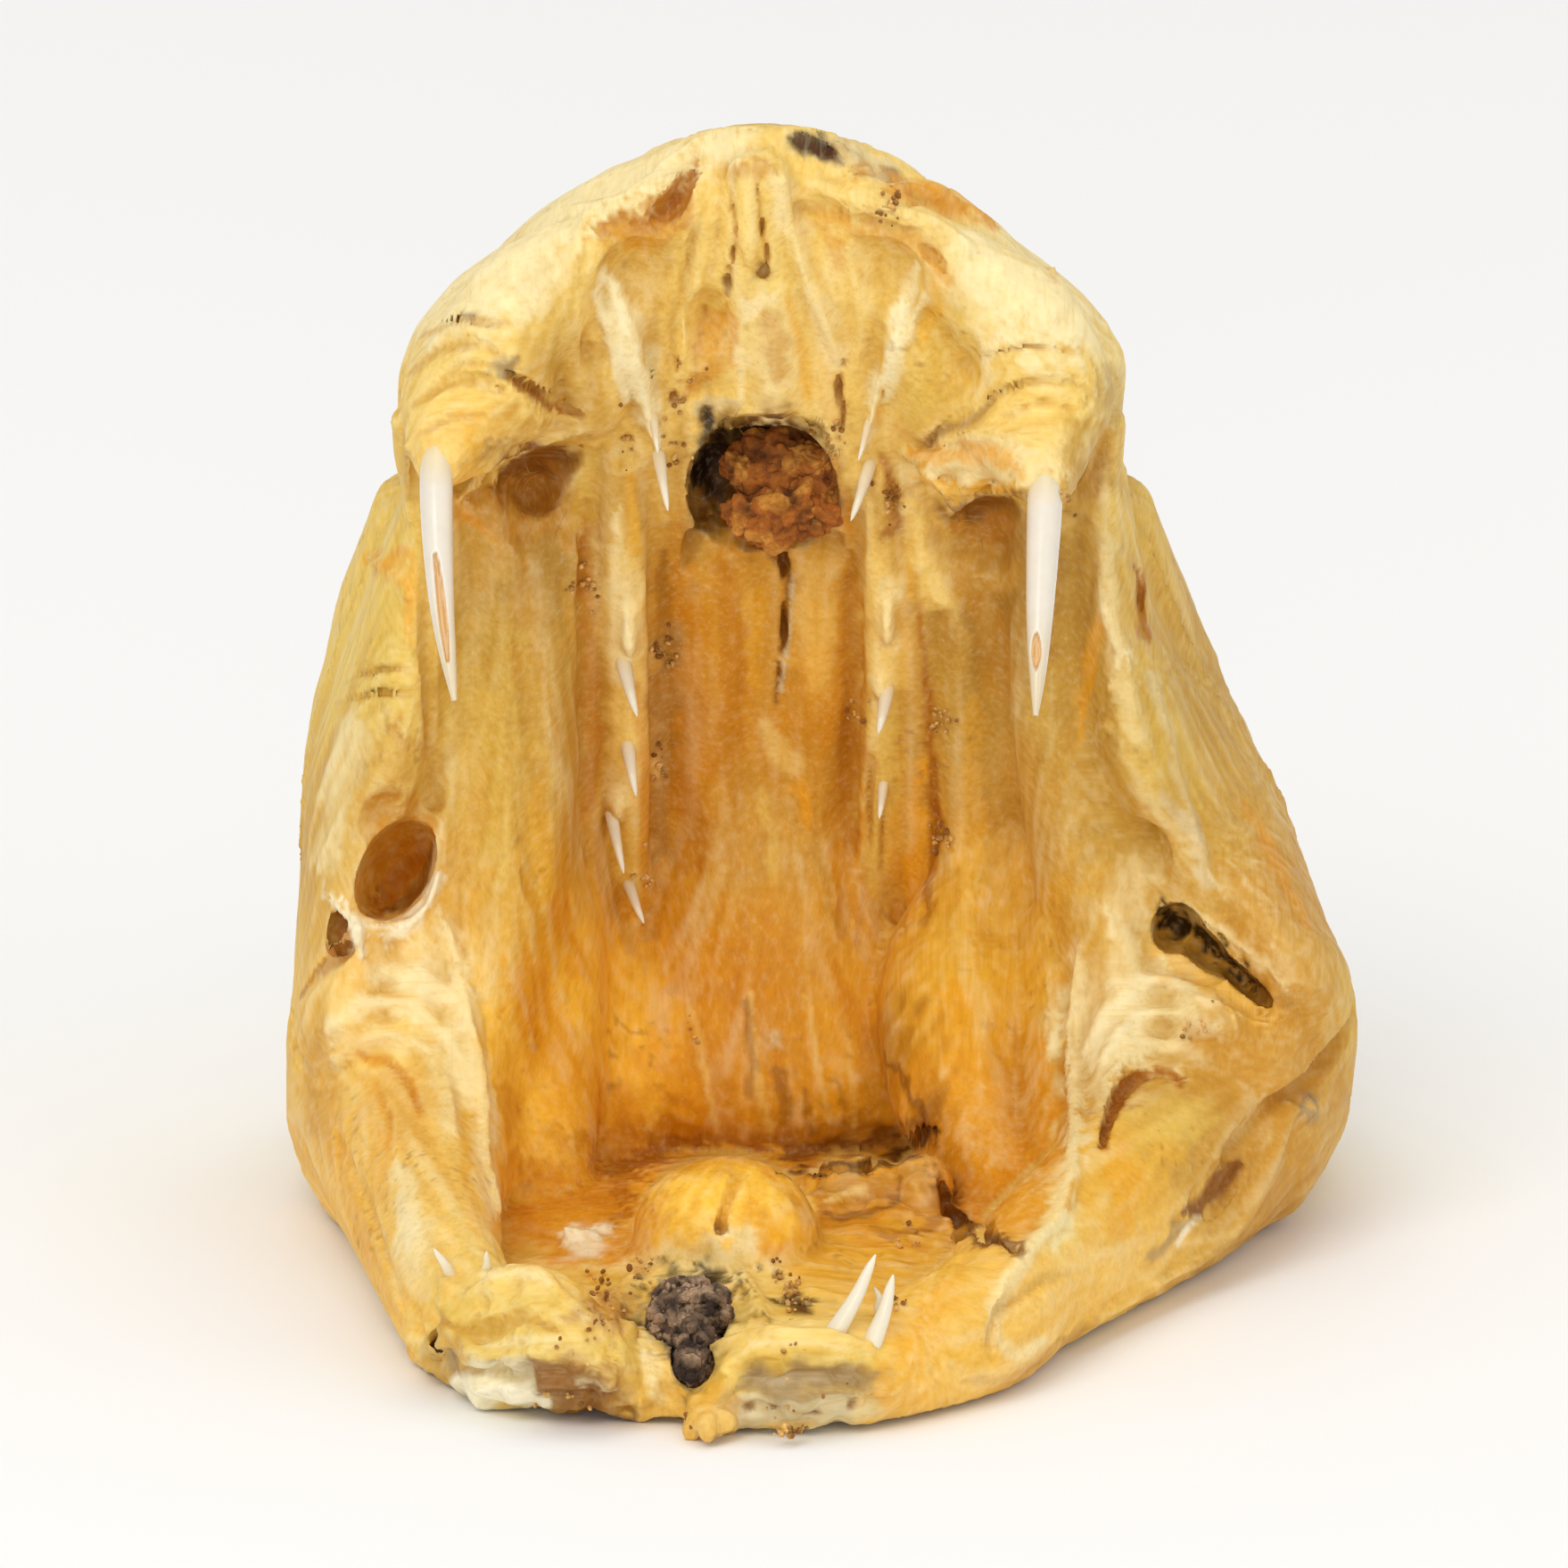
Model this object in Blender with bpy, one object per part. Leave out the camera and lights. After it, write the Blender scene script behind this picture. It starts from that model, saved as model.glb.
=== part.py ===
"""Preserved rattlesnake head, dried and skinned, lying on its lower jaw with the mouth wide open.

All shapes are given in millimetres in a viewing frame: x to the right, y away from the viewer,
z up, as the head is seen from in front and a little above. The roof of the mouth is a plane in
that frame, and positions on it are given by x, s (distance from the jaw joint towards the snout)
and h (height above the roof, into the skull). One empty turns the whole specimen level.
"""

import math

import bmesh
import bpy
from mathutils import Matrix, Vector

MM = 0.001
VIEW_PITCH = math.radians(15)  # the viewer looks down on the specimen by this much
FLOOR = 7.6  # level of the resting plane below the viewing frame's origin, in the level frame
CENTRE_SHIFT = (0.05, -6.06)  # brings the middle of the outline to the origin, level frame
GAP = 0.3  # clearance between neighbouring pieces

ROOF_JOINT_Y = 14.0  # jaw joint, depth
ROOF_JOINT_Z = 16.0  # jaw joint, height
ROOF_SLOPE = math.atan2(0.617, 0.787)  # the roof leans towards the viewer going up

BODY_VOXEL = 0.75
BODY_TRIANGLES = 6200
BODY_SIDES = 28  # points round the upper head
CUTTER_SIZE = 160.0  # larger than the specimen
BAR_ENDS = ((0.35, 0.8), (0.6, 0.45))  # rounding of a bar's end: distance past it, share of the section

# Upper head, from the snout back: s, left edge, right edge, lowest h, highest h
UPPER_HEAD = (
    (46.2, -3.6, -1.4, 0.6, 1.8),
    (45.0, -5.4, 0.4, 0.0, 2.9),
    (43.5, -7.6, 3.0, -0.4, 4.8),
    (41.5, -10.4, 5.2, -0.8, 6.6),
    (39.5, -12.4, 7.4, -1.0, 8.8),
    (37.5, -13.8, 8.8, -1.0, 10.4),
    (35.5, -15.7, 10.8, -1.0, 11.4),
    (33.5, -16.9, 12.1, -1.0, 12.0),
    (31.0, -17.2, 12.1, -0.8, 12.6),
    (28.0, -16.8, 12.0, -0.6, 13.4),
    (25.0, -17.0, 12.4, -0.4, 14.0),
    (22.0, -18.0, 13.3, 0.0, 14.4),
    (18.0, -19.3, 14.9, 0.0, 14.8),
    (14.0, -20.4, 16.6, 0.0, 15.0),
    (10.0, -21.0, 18.6, 0.0, 15.0),
    (6.0, -21.2, 19.8, 0.0, 14.6),
    (2.0, -21.4, 20.8, 0.0, 13.6),
    (-2.0, -20.6, 20.2, 0.5, 12.0),
    (-5.0, -17.0, 17.0, 2.0, 10.0),
)
WIDEST_H = 2.5  # height above the roof where the head is widest
SNOUT_RIDGE = 1.6  # how peaked the snout's top is, 1 for an ellipse
SKULL_RIDGE = 0.85
RIDGE_FADE_S = (28.0, 38.0)  # the peak fades out between these

# Swellings on the roof of the mouth: x, distance out from the roof, z, half width, half depth
SHOULDER_LEFT = (
    (-5.6, 0.4, 50.4, 1.2, 1.2),
    (-9.2, 1.2, 48.0, 1.9, 2.0),
    (-12.2, 2.2, 45.8, 2.5, 2.8),
    (-13.6, 3.2, 42.8, 2.8, 3.0),
)
SHOULDER_RIGHT = (
    (1.6, 0.4, 50.0, 1.2, 1.2),
    (5.2, 1.2, 47.4, 1.9, 2.0),
    (7.9, 2.2, 45.4, 2.4, 2.8),
    (8.9, 3.2, 42.6, 2.8, 3.0),
)
LIP_FILL_LEFT = (
    (-6.6, 0.1, 49.0, 1.0, 0.8),
    (-7.8, 0.5, 46.8, 1.5, 1.2),
    (-8.8, 1.0, 44.6, 1.7, 1.6),
    (-9.4, 1.0, 42.2, 1.5, 1.6),
)
LIP_FILL_RIGHT = (
    (1.4, 0.1, 48.6, 0.9, 0.8),
    (2.8, 0.4, 46.6, 1.4, 1.1),
    (4.0, 0.9, 44.4, 1.7, 1.5),
    (4.8, 0.8, 42.0, 1.5, 1.5),
)
INNER_WEB_LEFT = (
    (-10.4, 0.2, 36.5, 1.2, 1.3),
    (-10.3, 0.4, 30.0, 1.3, 1.6),
    (-10.2, 0.5, 24.0, 1.3, 1.7),
    (-10.4, 0.4, 18.0, 1.2, 1.6),
)
INNER_WEB_RIGHT = (
    (6.2, 0.1, 35.0, 1.6, 1.0),
    (6.9, 0.5, 29.0, 2.1, 1.8),
    (7.2, 0.8, 24.0, 2.2, 2.2),
    (7.0, 0.9, 18.0, 2.2, 2.4),
)
SNOUT_COLUMN = (
    (-2.6, 0.5, 51.6, 1.4, 1.0),
    (-2.8, 0.5, 48.4, 1.5, 1.1),
    (-2.6, 0.1, 45.0, 1.9, 1.0),
    (-2.4, -0.4, 42.6, 1.8, 0.8),
)

# Bars of tissue: x, y, z, half width, half depth across the path
MANDIBLE_LEFT = (
    (-17.0, 13.0, 15.5, 4.4, 5.0),
    (-17.2, 6.0, 14.5, 4.4, 5.2),
    (-16.6, -1.0, 12.0, 3.6, 4.6),
    (-15.8, -8.0, 9.6, 3.0, 4.0),
    (-15.0, -15.0, 7.2, 2.4, 3.6),
    (-13.4, -20.0, 5.4, 2.2, 2.9),
    (-11.0, -22.8, 4.9, 2.4, 3.0),
    (-8.8, -23.6, 3.8, 1.6, 2.0),
)
MANDIBLE_RIGHT = (
    (17.0, 13.0, 16.2, 4.4, 5.2),
    (16.6, 6.0, 15.0, 4.4, 5.6),
    (14.6, -0.5, 12.2, 3.8, 4.8),
    (11.4, -7.0, 9.8, 3.1, 4.2),
    (8.5, -13.5, 7.6, 2.6, 3.6),
    (5.9, -18.8, 5.4, 2.6, 3.1),
    (2.2, -22.6, 4.0, 2.4, 2.6),
    (-1.2, -24.2, 3.5, 2.2, 2.3),
    (-3.2, -24.4, 3.2, 1.2, 1.6),
)
CHEEK_LEFT = (
    (-15.4, -3.0, 38.5, 1.2, 3.0),
    (-16.2, -1.5, 35.0, 1.8, 4.0),
    (-17.1, 0.5, 31.0, 2.2, 5.5),
    (-18.4, 3.0, 27.0, 2.3, 6.5),
    (-18.7, 4.5, 23.0, 2.4, 7.5),
    (-18.9, 5.0, 19.0, 2.5, 8.5),
    (-18.8, 4.5, 15.5, 2.8, 8.0),
    (-17.5, 2.0, 12.5, 2.8, 6.0),
)
CHEEK_RIGHT = (
    (11.0, -3.0, 38.5, 1.0, 3.0),
    (11.5, -1.5, 35.0, 1.4, 4.0),
    (12.3, 0.5, 31.0, 2.0, 5.5),
    (14.4, 3.0, 27.0, 2.3, 6.5),
    (16.6, 4.5, 24.0, 2.4, 7.5),
    (18.0, 5.0, 20.5, 2.5, 8.5),
    (18.8, 4.5, 17.0, 2.8, 8.0),
    (17.5, 2.0, 13.5, 2.8, 6.0),
)
COLUMN_LEFT = (
    (-12.6, -3.4, 38.0, 2.0, 1.6),
    (-12.2, -0.4, 32.0, 2.3, 2.6),
    (-12.4, 2.2, 26.0, 2.5, 4.0),
    (-13.2, 3.2, 20.0, 2.6, 5.0),
    (-14.4, 1.6, 15.0, 2.6, 5.0),
    (-14.8, -3.0, 11.5, 2.2, 4.0),
)
COLUMN_RIGHT = (
    (9.6, -3.4, 38.0, 2.0, 1.6),
    (9.2, -0.4, 32.0, 2.3, 2.6),
    (10.4, 2.2, 26.0, 2.5, 4.0),
    (11.6, 3.2, 20.0, 2.6, 5.0),
    (12.0, 1.4, 15.0, 2.6, 5.0),
    (11.4, -3.6, 11.5, 2.2, 4.0),
)
WEB_LEFT = (  # joins the column to the cheek
    (-14.2, -1.0, 37.0, 1.5, 2.2),
    (-14.8, 1.4, 31.0, 1.8, 3.6),
    (-15.4, 3.4, 25.5, 2.0, 4.8),
    (-16.0, 3.8, 20.0, 2.2, 5.8),
    (-16.4, 1.8, 15.0, 2.4, 5.6),
)
WEB_RIGHT = (
    (10.4, -1.0, 37.0, 1.3, 2.2),
    (10.9, 1.4, 31.0, 1.5, 3.6),
    (12.8, 3.0, 26.0, 1.9, 4.6),
    (14.8, 3.6, 20.5, 2.3, 5.6),
    (15.6, 1.6, 15.5, 2.6, 5.8),
)
WEB_PILLAR = (
    (9.4, 5.0, 20.0, 1.8, 4.4),
    (9.2, 2.6, 15.5, 1.7, 4.2),
    (9.4, -1.4, 11.0, 1.5, 3.4),
)
STRIP_LEFT = (  # edge of tissue behind the fang
    (-16.7, -7.6, 41.4, 0.7, 0.9),
    (-16.4, -5.6, 39.6, 0.7, 1.2),
    (-16.0, -4.0, 38.0, 0.8, 1.6),
    (-16.4, -2.4, 36.2, 1.0, 2.0),
)
STRIP_RIGHT = (
    (11.4, -6.6, 41.4, 0.8, 1.0),
    (11.2, -5.0, 39.2, 0.8, 1.4),
    (11.4, -3.2, 37.0, 0.9, 1.8),
    (11.8, -1.8, 35.0, 1.0, 2.0),
)
THROAT_RAMP = (
    (-2.4, 9.4, 27.0, 3.6, 3.0),
    (-2.2, 8.7, 24.0, 4.2, 3.0),
    (-1.8, 8.4, 21.0, 4.8, 3.0),
    (-1.4, 8.0, 18.0, 5.0, 3.0),
    (-1.2, 7.2, 15.0, 5.0, 2.8),
)
THROAT_PILLAR = (
    (7.4, 8.4, 27.0, 2.2, 3.0),
    (7.4, 7.4, 23.5, 2.7, 3.6),
    (6.8, 6.0, 20.0, 3.0, 4.0),
    (6.2, 3.0, 15.5, 2.9, 4.0),
    (6.8, -0.5, 11.0, 2.2, 3.0),
)
MOUTH_FLOOR = (
    (-4.6, -22.5, 3.2, 5.0, 1.9),
    (-4.0, -16.0, 4.9, 9.8, 2.4),
    (-2.4, -9.0, 6.6, 12.6, 2.6),
    (-1.2, -2.0, 8.4, 14.4, 2.7),
    (-0.4, 5.0, 10.6, 15.4, 3.0),
    (0.0, 13.0, 13.6, 15.6, 4.0),
)
CHIN_SCRAP = (
    (-4.7, -21.5, 3.4, 1.8, 1.4),
    (-4.7, -24.5, 2.3, 1.2, 1.2),
    (-4.6, -26.9, 1.5, 0.8, 1.0),
)
NECK = (
    (-0.3, 20.5, 22.2, 10.6, 8.5),
    (-0.6, 24.0, 22.8, 10.0, 8.5),
    (-1.0, 29.0, 23.8, 9.2, 8.3),
    (-1.0, 38.0, 25.8, 8.8, 8.2),
)
GULLET = (
    (0.0, 17.0, 17.5, 10.0, 6.0),
    (0.0, 20.0, 21.0, 10.5, 8.3),
)
NECK_END = 38.0  # the cut end of the neck, in the level frame
THROAT_WALL = ((-1.0, 13.5, 15.5), (15.0, 8.5, 5.2))  # centre, radii

# Hollows cut into the body: centre, radii
THROAT_SLIT = ((1.8, 4.0, 12.2), (4.2, 4.5, 0.8))
CHOANA = ((-2.4, -3.8, 39.1), (2.9, 3.4, 2.6))
SOIL_HOLE = ((-5.4, -19.5, 5.6), (1.7, 3.2, 2.2))
LEFT_CHEEK_HOLE = ((-17.1, -2.0, 23.6), (1.3, 3.6, 1.6))
RIGHT_CHEEK_HOLE = ((15.6, -2.4, 20.4), (2.2, 3.4, 0.9))
SHEATH_RECESS_LEFT = ((-11.6, -6.0, 38.6), (1.8, 3.4, 1.7))
SHEATH_RECESS_RIGHT = ((6.4, -4.5, 36.8), (1.6, 3.0, 1.9))
LIP_RECESS_LEFT = ((-7.4, -13.0, 50.0), (1.9, 2.0, 0.8))
LIP_RECESS_RIGHT = ((2.6, -11.4, 46.6), (1.9, 1.6, 2.4))

SHEATH_LEFT = (
    (-13.2, -6.5, 43.4, 3.4, 3.0),
    (-14.0, -9.6, 42.0, 3.0, 2.6),
    (-14.9, -12.0, 40.6, 1.9, 1.9),
    (-15.3, -13.2, 39.6, 1.1, 1.1),
)
SHEATH_RIGHT = (
    (7.6, -6.5, 42.6, 3.4, 3.0),
    (8.3, -9.6, 41.4, 2.9, 2.6),
    (8.7, -12.0, 39.8, 1.8, 1.8),
    (8.8, -13.2, 38.8, 1.1, 1.1),
)
FANG_LEFT = (
    (-15.4, -13.9, 38.9, 0.66, 0.72),
    (-15.33, -15.0, 36.5, 0.60, 0.66),
    (-15.15, -16.2, 34.0, 0.48, 0.54),
    (-14.9, -17.1, 32.0, 0.32, 0.38),
    (-14.65, -17.7, 30.3, 0.12, 0.14),
)
FANG_RIGHT = (
    (8.8, -13.9, 38.2, 0.70, 0.74),
    (8.7, -15.0, 36.0, 0.64, 0.68),
    (8.58, -16.2, 33.5, 0.52, 0.56),
    (8.5, -17.1, 31.4, 0.34, 0.40),
    (8.42, -17.7, 29.7, 0.12, 0.14),
)
RIDGE_LEFT = ((-8.0, 37.5), (-7.9, 33.0), (-7.9, 28.0), (-7.8, 22.5))  # x, z along the roof
RIDGE_RIGHT = ((2.2, 37.5), (2.5, 33.0), (2.3, 28.0), (2.0, 21.5))
RIDGE_HALF_WIDTH = 1.15
RIDGE_END_SHARE = 0.8  # a ridge narrows to this at both ends
RIDGE_OUT = 0.5  # how far a ridge's middle stands out from the roof
RIDGE_DEPTH_SHARE = 1.2  # half depth of a ridge for its half width
RIDGE_TEETH_LEFT = ((-7.9, 31.3), (-7.8, 28.0), (-8.3, 25.3), (-7.7, 22.8))
RIDGE_TEETH_RIGHT = ((2.5, 30.3), (2.3, 26.5), (2.2, 23.0))
RIDGE_TOOTH_OUT = 1.6  # how far a tooth's root stands out from the roof
RIDGE_TOOTH_LEAN = 0.4  # to the right, on the way down
RIDGE_TOOTH_REACH = 1.5  # down and towards the viewer
TOOTH_RADIUS = 0.32
TOOTH_SHAPE = ((0.45, 0.8), (1.0, 0.22))  # share of the length, share of the radius
TOOTH_ROOT = 0.9  # how far each tooth starts inside its ridge or jaw
DENTARY_TEETH_LEFT = (  # root and tip
    ((-14.4, -19.5, 7.3), (-15.4, -20.6, 9.0)),
    ((-13.2, -20.6, 7.2), (-13.4, -21.6, 8.9)),
)
DENTARY_TEETH_RIGHT = (
    ((0.4, -22.6, 5.2), (2.0, -23.4, 8.2)),
    ((3.0, -21.4, 5.6), (3.6, -22.3, 7.7)),
)

GLOTTIS = ((-3.9, -10.0, 9.3), (3.5, 5.2, 2.7))
DEBRIS = ((-2.2, -3.6, 38.9), (1.9, 1.6, 1.9))
SOIL = ((-5.4, -17.6, 5.5), (1.2, 1.2, 1.5))

EYE_RADIUS = 2.3
EYES = {"eye_left": (-14.9, 28.5, 6.4), "eye_right": (9.7, 28.5, 6.4)}  # x, s, h
HEAT_PITS = ((-16.4, 35.3, 3.6), (11.3, 35.3, 3.6))
HEAT_PIT_RADIUS = 0.95
NOSTRILS = ((-8.6, 43.4, 3.6), (-0.4, 45.2, 1.4), (4.4, 43.2, 3.4))
NOSTRIL_RADIUS = 0.7

# Where the body is parted: a plane for each cut
ROOF_CUT_S = 33.0  # snout in front of this
THROAT_CUT_S = 13.0  # throat behind this
SKULL_CUT_H = 9.5  # skull roof above this
CHEEK_CUT_LEFT = -11.2
CHEEK_CUT_RIGHT = 8.6
NECK_CUT = 29.6  # in the level frame
JAW_CUT_Z = 15.8
FLOOR_CUT_LEFT = ((-12.9, 10.0), (-7.0, -25.0))  # x, y of two points on the cut
FLOOR_CUT_RIGHT = ((10.6, 10.0), (-3.4, -25.0))

# Finishes: colour and roughness, and the pieces that wear each
FINISHES = {
    "dried_hide": ((0.80, 0.60, 0.33), 0.6),
    "dried_membrane": ((0.58, 0.38, 0.14), 0.5),
    "throat_lining": ((0.42, 0.20, 0.05), 0.5),
    "waxy_jaw": ((0.78, 0.48, 0.14), 0.45),
    "fang_ivory": ((0.86, 0.82, 0.72), 0.25),
    "brown_debris": ((0.25, 0.08, 0.02), 0.85),
    "grey_soil": ((0.10, 0.07, 0.05), 0.95),
    "dried_eye": ((0.05, 0.03, 0.02), 0.3),
}
WORN_BY = {
    "dried_hide": ("snout", "cranium", "fang_sheath_left", "fang_sheath_right"),
    "dried_membrane": (
        "cheek_left", "cheek_right", "palate", "neck", "tooth_ridge_left", "tooth_ridge_right",
    ),
    "throat_lining": ("throat",),
    "waxy_jaw": ("mandible_left", "mandible_right", "mouth_floor", "glottis"),
    "fang_ivory": ("fang_left", "fang_right"),
    "brown_debris": ("choana_debris",),
    "grey_soil": ("soil_plug",),
    "dried_eye": ("eye_left", "eye_right"),
}


def roof(x, s, h):
    """A point of the viewing frame from its place on the roof of the mouth."""
    along = Vector((0, -math.sin(ROOF_SLOPE), math.cos(ROOF_SLOPE)))
    above = Vector((0, math.cos(ROOF_SLOPE), math.sin(ROOF_SLOPE)))
    return Vector((x, ROOF_JOINT_Y, ROOF_JOINT_Z)) + along * s + above * h


def roof_depth(z):
    """Depth of the roof of the mouth at a height in the viewing frame."""
    return ROOF_JOINT_Y - math.tan(ROOF_SLOPE) * (z - ROOF_JOINT_Z)


def on_roof(stations):
    """Stations given by their distance out from the roof, as places in the viewing frame."""
    return [(x, roof_depth(z) - out, z, wide, deep) for x, out, z, wide, deep in stations]


def new_object(name, bm):
    bmesh.ops.recalc_face_normals(bm, faces=bm.faces)
    for face in bm.faces:
        face.smooth = True
    mesh = bpy.data.meshes.new(name)
    bm.to_mesh(mesh)
    bm.free()
    thing = bpy.data.objects.new(name, mesh)
    bpy.context.scene.collection.objects.link(thing)
    return thing


def loft(name, rings):
    """A closed skin over rings of points, with a fan at each end."""
    bm = bmesh.new()
    made = [[bm.verts.new(p * MM) for p in ring] for ring in rings]
    count = len(rings[0])
    for a, b in zip(made, made[1:]):
        for i in range(count):
            j = (i + 1) % count
            bm.faces.new((a[i], a[j], b[j], b[i]))
    for ring in (made[0], made[-1]):
        middle = sum((v.co for v in ring), Vector()) / count
        tip = bm.verts.new(middle)
        for i in range(count):
            bm.faces.new((ring[i], ring[(i + 1) % count], tip))
    return new_object(name, bm)


def smooth_path(stations, steps):
    """Stations of numbers joined by a smooth curve, steps to each span."""
    padded = [stations[0], *stations, stations[-1]]
    result = []
    for a, b, c, d in zip(padded, padded[1:], padded[2:], padded[3:]):
        for k in range(steps):
            t = k / steps
            result.append(
                tuple(
                    0.5 * (2 * q + (r - p) * t + (2 * p - 5 * q + 4 * r - w) * t**2
                           + (3 * q - p - 3 * r + w) * t**3)
                    for p, q, r, w in zip(a, b, c, d)
                )
            )
    result.append(tuple(stations[-1]))
    return result


def bar(name, stations, sides=14, steps=3, rounded=True):
    """A bar of oval section along stations of x, y, z, half width and half depth."""
    path = smooth_path(stations, steps)
    points = [Vector(p[:3]) for p in path]
    rings = []
    for i, point in enumerate(points):
        tangent = (points[min(i + 1, len(points) - 1)] - points[max(i - 1, 0)]).normalized()
        side = Vector((1, 0, 0)) - tangent * tangent.x
        if side.length < 0.5:
            side = Vector((0, 1, 0)) - tangent * tangent.y
        side.normalize()
        across = tangent.cross(side)
        wide, deep = path[i][3:5]
        ends = []
        if rounded and i == 0:
            ends = [(-shift, shrink) for shift, shrink in reversed(BAR_ENDS)]
        elif rounded and i == len(points) - 1:
            ends = list(BAR_ENDS)
        layers = [(0.0, 1.0)] + ends if i else ends + [(0.0, 1.0)]
        for shift, shrink in layers:
            centre = point + tangent * (shift * min(wide, deep))
            rings.append([
                centre + side * (wide * shrink * math.cos(math.tau * k / sides))
                + across * (deep * shrink * math.sin(math.tau * k / sides))
                for k in range(sides)
            ])
    return loft(name, rings)


def ball(name, centre, radii, lean=0.0, detail=3):
    bm = bmesh.new()
    bmesh.ops.create_icosphere(bm, subdivisions=detail, radius=1.0)
    place = (
        Matrix.Translation(Vector(centre) * MM)
        @ Matrix.Rotation(lean, 4, "X")
        @ Matrix.Diagonal(Vector([r * MM for r in radii] + [1.0]))
    )
    bmesh.ops.transform(bm, matrix=place, verts=bm.verts)
    return new_object(name, bm)


def block(name, centre, axes, sizes):
    """A box about a centre, with its sides along three axes."""
    bm = bmesh.new()
    bmesh.ops.create_cube(bm, size=1.0)
    turn = Matrix([list(a) for a in axes]).transposed().to_4x4()
    place = Matrix.Translation(Vector(centre) * MM) @ turn @ Matrix.Diagonal(
        Vector([s * MM for s in sizes] + [1.0])
    )
    bmesh.ops.transform(bm, matrix=place, verts=bm.verts)
    return new_object(name, bm)


def discard(things):
    for thing in things:
        bpy.data.objects.remove(thing, do_unlink=True)


def copy_of(thing, name):
    other = bpy.data.objects.new(name, thing.data.copy())
    bpy.context.scene.collection.objects.link(other)
    return other


def settle(thing):
    """Applies the object's modifiers."""
    bpy.context.view_layer.update()
    evaluated = thing.evaluated_get(bpy.context.evaluated_depsgraph_get())
    mesh = bpy.data.meshes.new_from_object(evaluated)
    thing.modifiers.clear()
    thing.data = mesh
    return thing


def boolean(thing, other, operation):
    modifier = thing.modifiers.new("cut", "BOOLEAN")
    modifier.operation = operation
    modifier.solver = "EXACT"
    modifier.object = other
    return settle(thing)


def subtract(thing, cutters):
    for cutter in cutters:
        boolean(thing, cutter, "DIFFERENCE")
    discard(cutters)
    return thing


def union(name, pieces):
    """One body from closed pieces, by one union on their collection."""
    first, rest = pieces[0], pieces[1:]
    group = bpy.data.collections.new(name + "_pieces")
    for piece in rest:
        group.objects.link(piece)
    modifier = first.modifiers.new("union", "BOOLEAN")
    modifier.operation = "UNION"
    modifier.operand_type = "COLLECTION"
    modifier.collection = group
    settle(first)
    discard(rest)
    bpy.data.collections.remove(group)
    first.name = name
    return first


def fuse(name, pieces, voxel, passes):
    """One smooth body over all of the pieces."""
    bm = bmesh.new()
    for piece in pieces:
        bm.from_mesh(piece.data)
    discard(pieces)
    body = new_object(name, bm)
    remesh = body.modifiers.new("remesh", "REMESH")
    remesh.mode = "VOXEL"
    remesh.voxel_size = voxel * MM
    if passes:
        soften = body.modifiers.new("soften", "SMOOTH")
        soften.factor = 0.5
        soften.iterations = passes
    return settle(body)


def thin(thing, triangles):
    """Fewer faces, down to about a number of triangles."""
    even = thing.modifiers.new("triangles", "TRIANGULATE")
    even.quad_method = "SHORTEST_DIAGONAL"
    settle(thing)
    now = len(thing.data.polygons)
    if now > triangles:
        fewer = thing.modifiers.new("fewer", "DECIMATE")
        fewer.ratio = triangles / now
        settle(thing)
    return thing


def largest(thing):
    """Keeps the largest closed surface of a body and drops loose scraps."""
    bm = bmesh.new()
    bm.from_mesh(thing.data)
    bmesh.ops.remove_doubles(bm, verts=bm.verts, dist=1e-7)
    bm.faces.ensure_lookup_table()
    seen = set()
    groups = []
    for start in bm.faces:
        if start.index in seen:
            continue
        group, stack = [], [start]
        seen.add(start.index)
        while stack:
            face = stack.pop()
            group.append(face)
            for edge in face.edges:
                for other in edge.link_faces:
                    if other.index not in seen:
                        seen.add(other.index)
                        stack.append(other)
        groups.append(group)
    groups.sort(key=lambda g: sum(f.calc_area() for f in g), reverse=True)
    scraps = [face for group in groups[1:] for face in group]
    if scraps:
        bmesh.ops.delete(bm, geom=scraps, context="FACES")
        bmesh.ops.delete(bm, geom=[v for v in bm.verts if not v.link_faces], context="VERTS")
    bm.to_mesh(thing.data)
    bm.free()
    return thing


def grown(thing, distance, name):
    """A copy swollen along its normals, used to cut a seat with clearance."""
    other = copy_of(thing, name)
    for v in other.data.vertices:
        v.co += v.normal * (distance * MM)
    return other


def beyond(name, point, direction):
    """A large block that fills everything past a plane."""
    direction = Vector(direction).normalized()
    side = Vector((1, 0, 0)) if abs(direction.x) < 0.9 else Vector((0, 1, 0))
    side = (side - direction * side.dot(direction)).normalized()
    axes = (side, direction.cross(side), direction)
    return block(name, Vector(point) + direction * (CUTTER_SIZE / 2), axes, (CUTTER_SIZE,) * 3)


def part_off(body, name, point, direction):
    """Cuts the piece past a plane off the body and returns it, with a gap between the two."""
    direction = Vector(direction).normalized()
    piece = copy_of(body, name)
    near = Vector(point) - direction * (GAP / 2)
    far = Vector(point) + direction * (GAP / 2)
    inside = beyond("past_plane", far, direction)
    boolean(piece, inside, "INTERSECT")
    discard([inside])
    subtract(body, [beyond("past_plane", near, direction)])
    return piece


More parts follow.
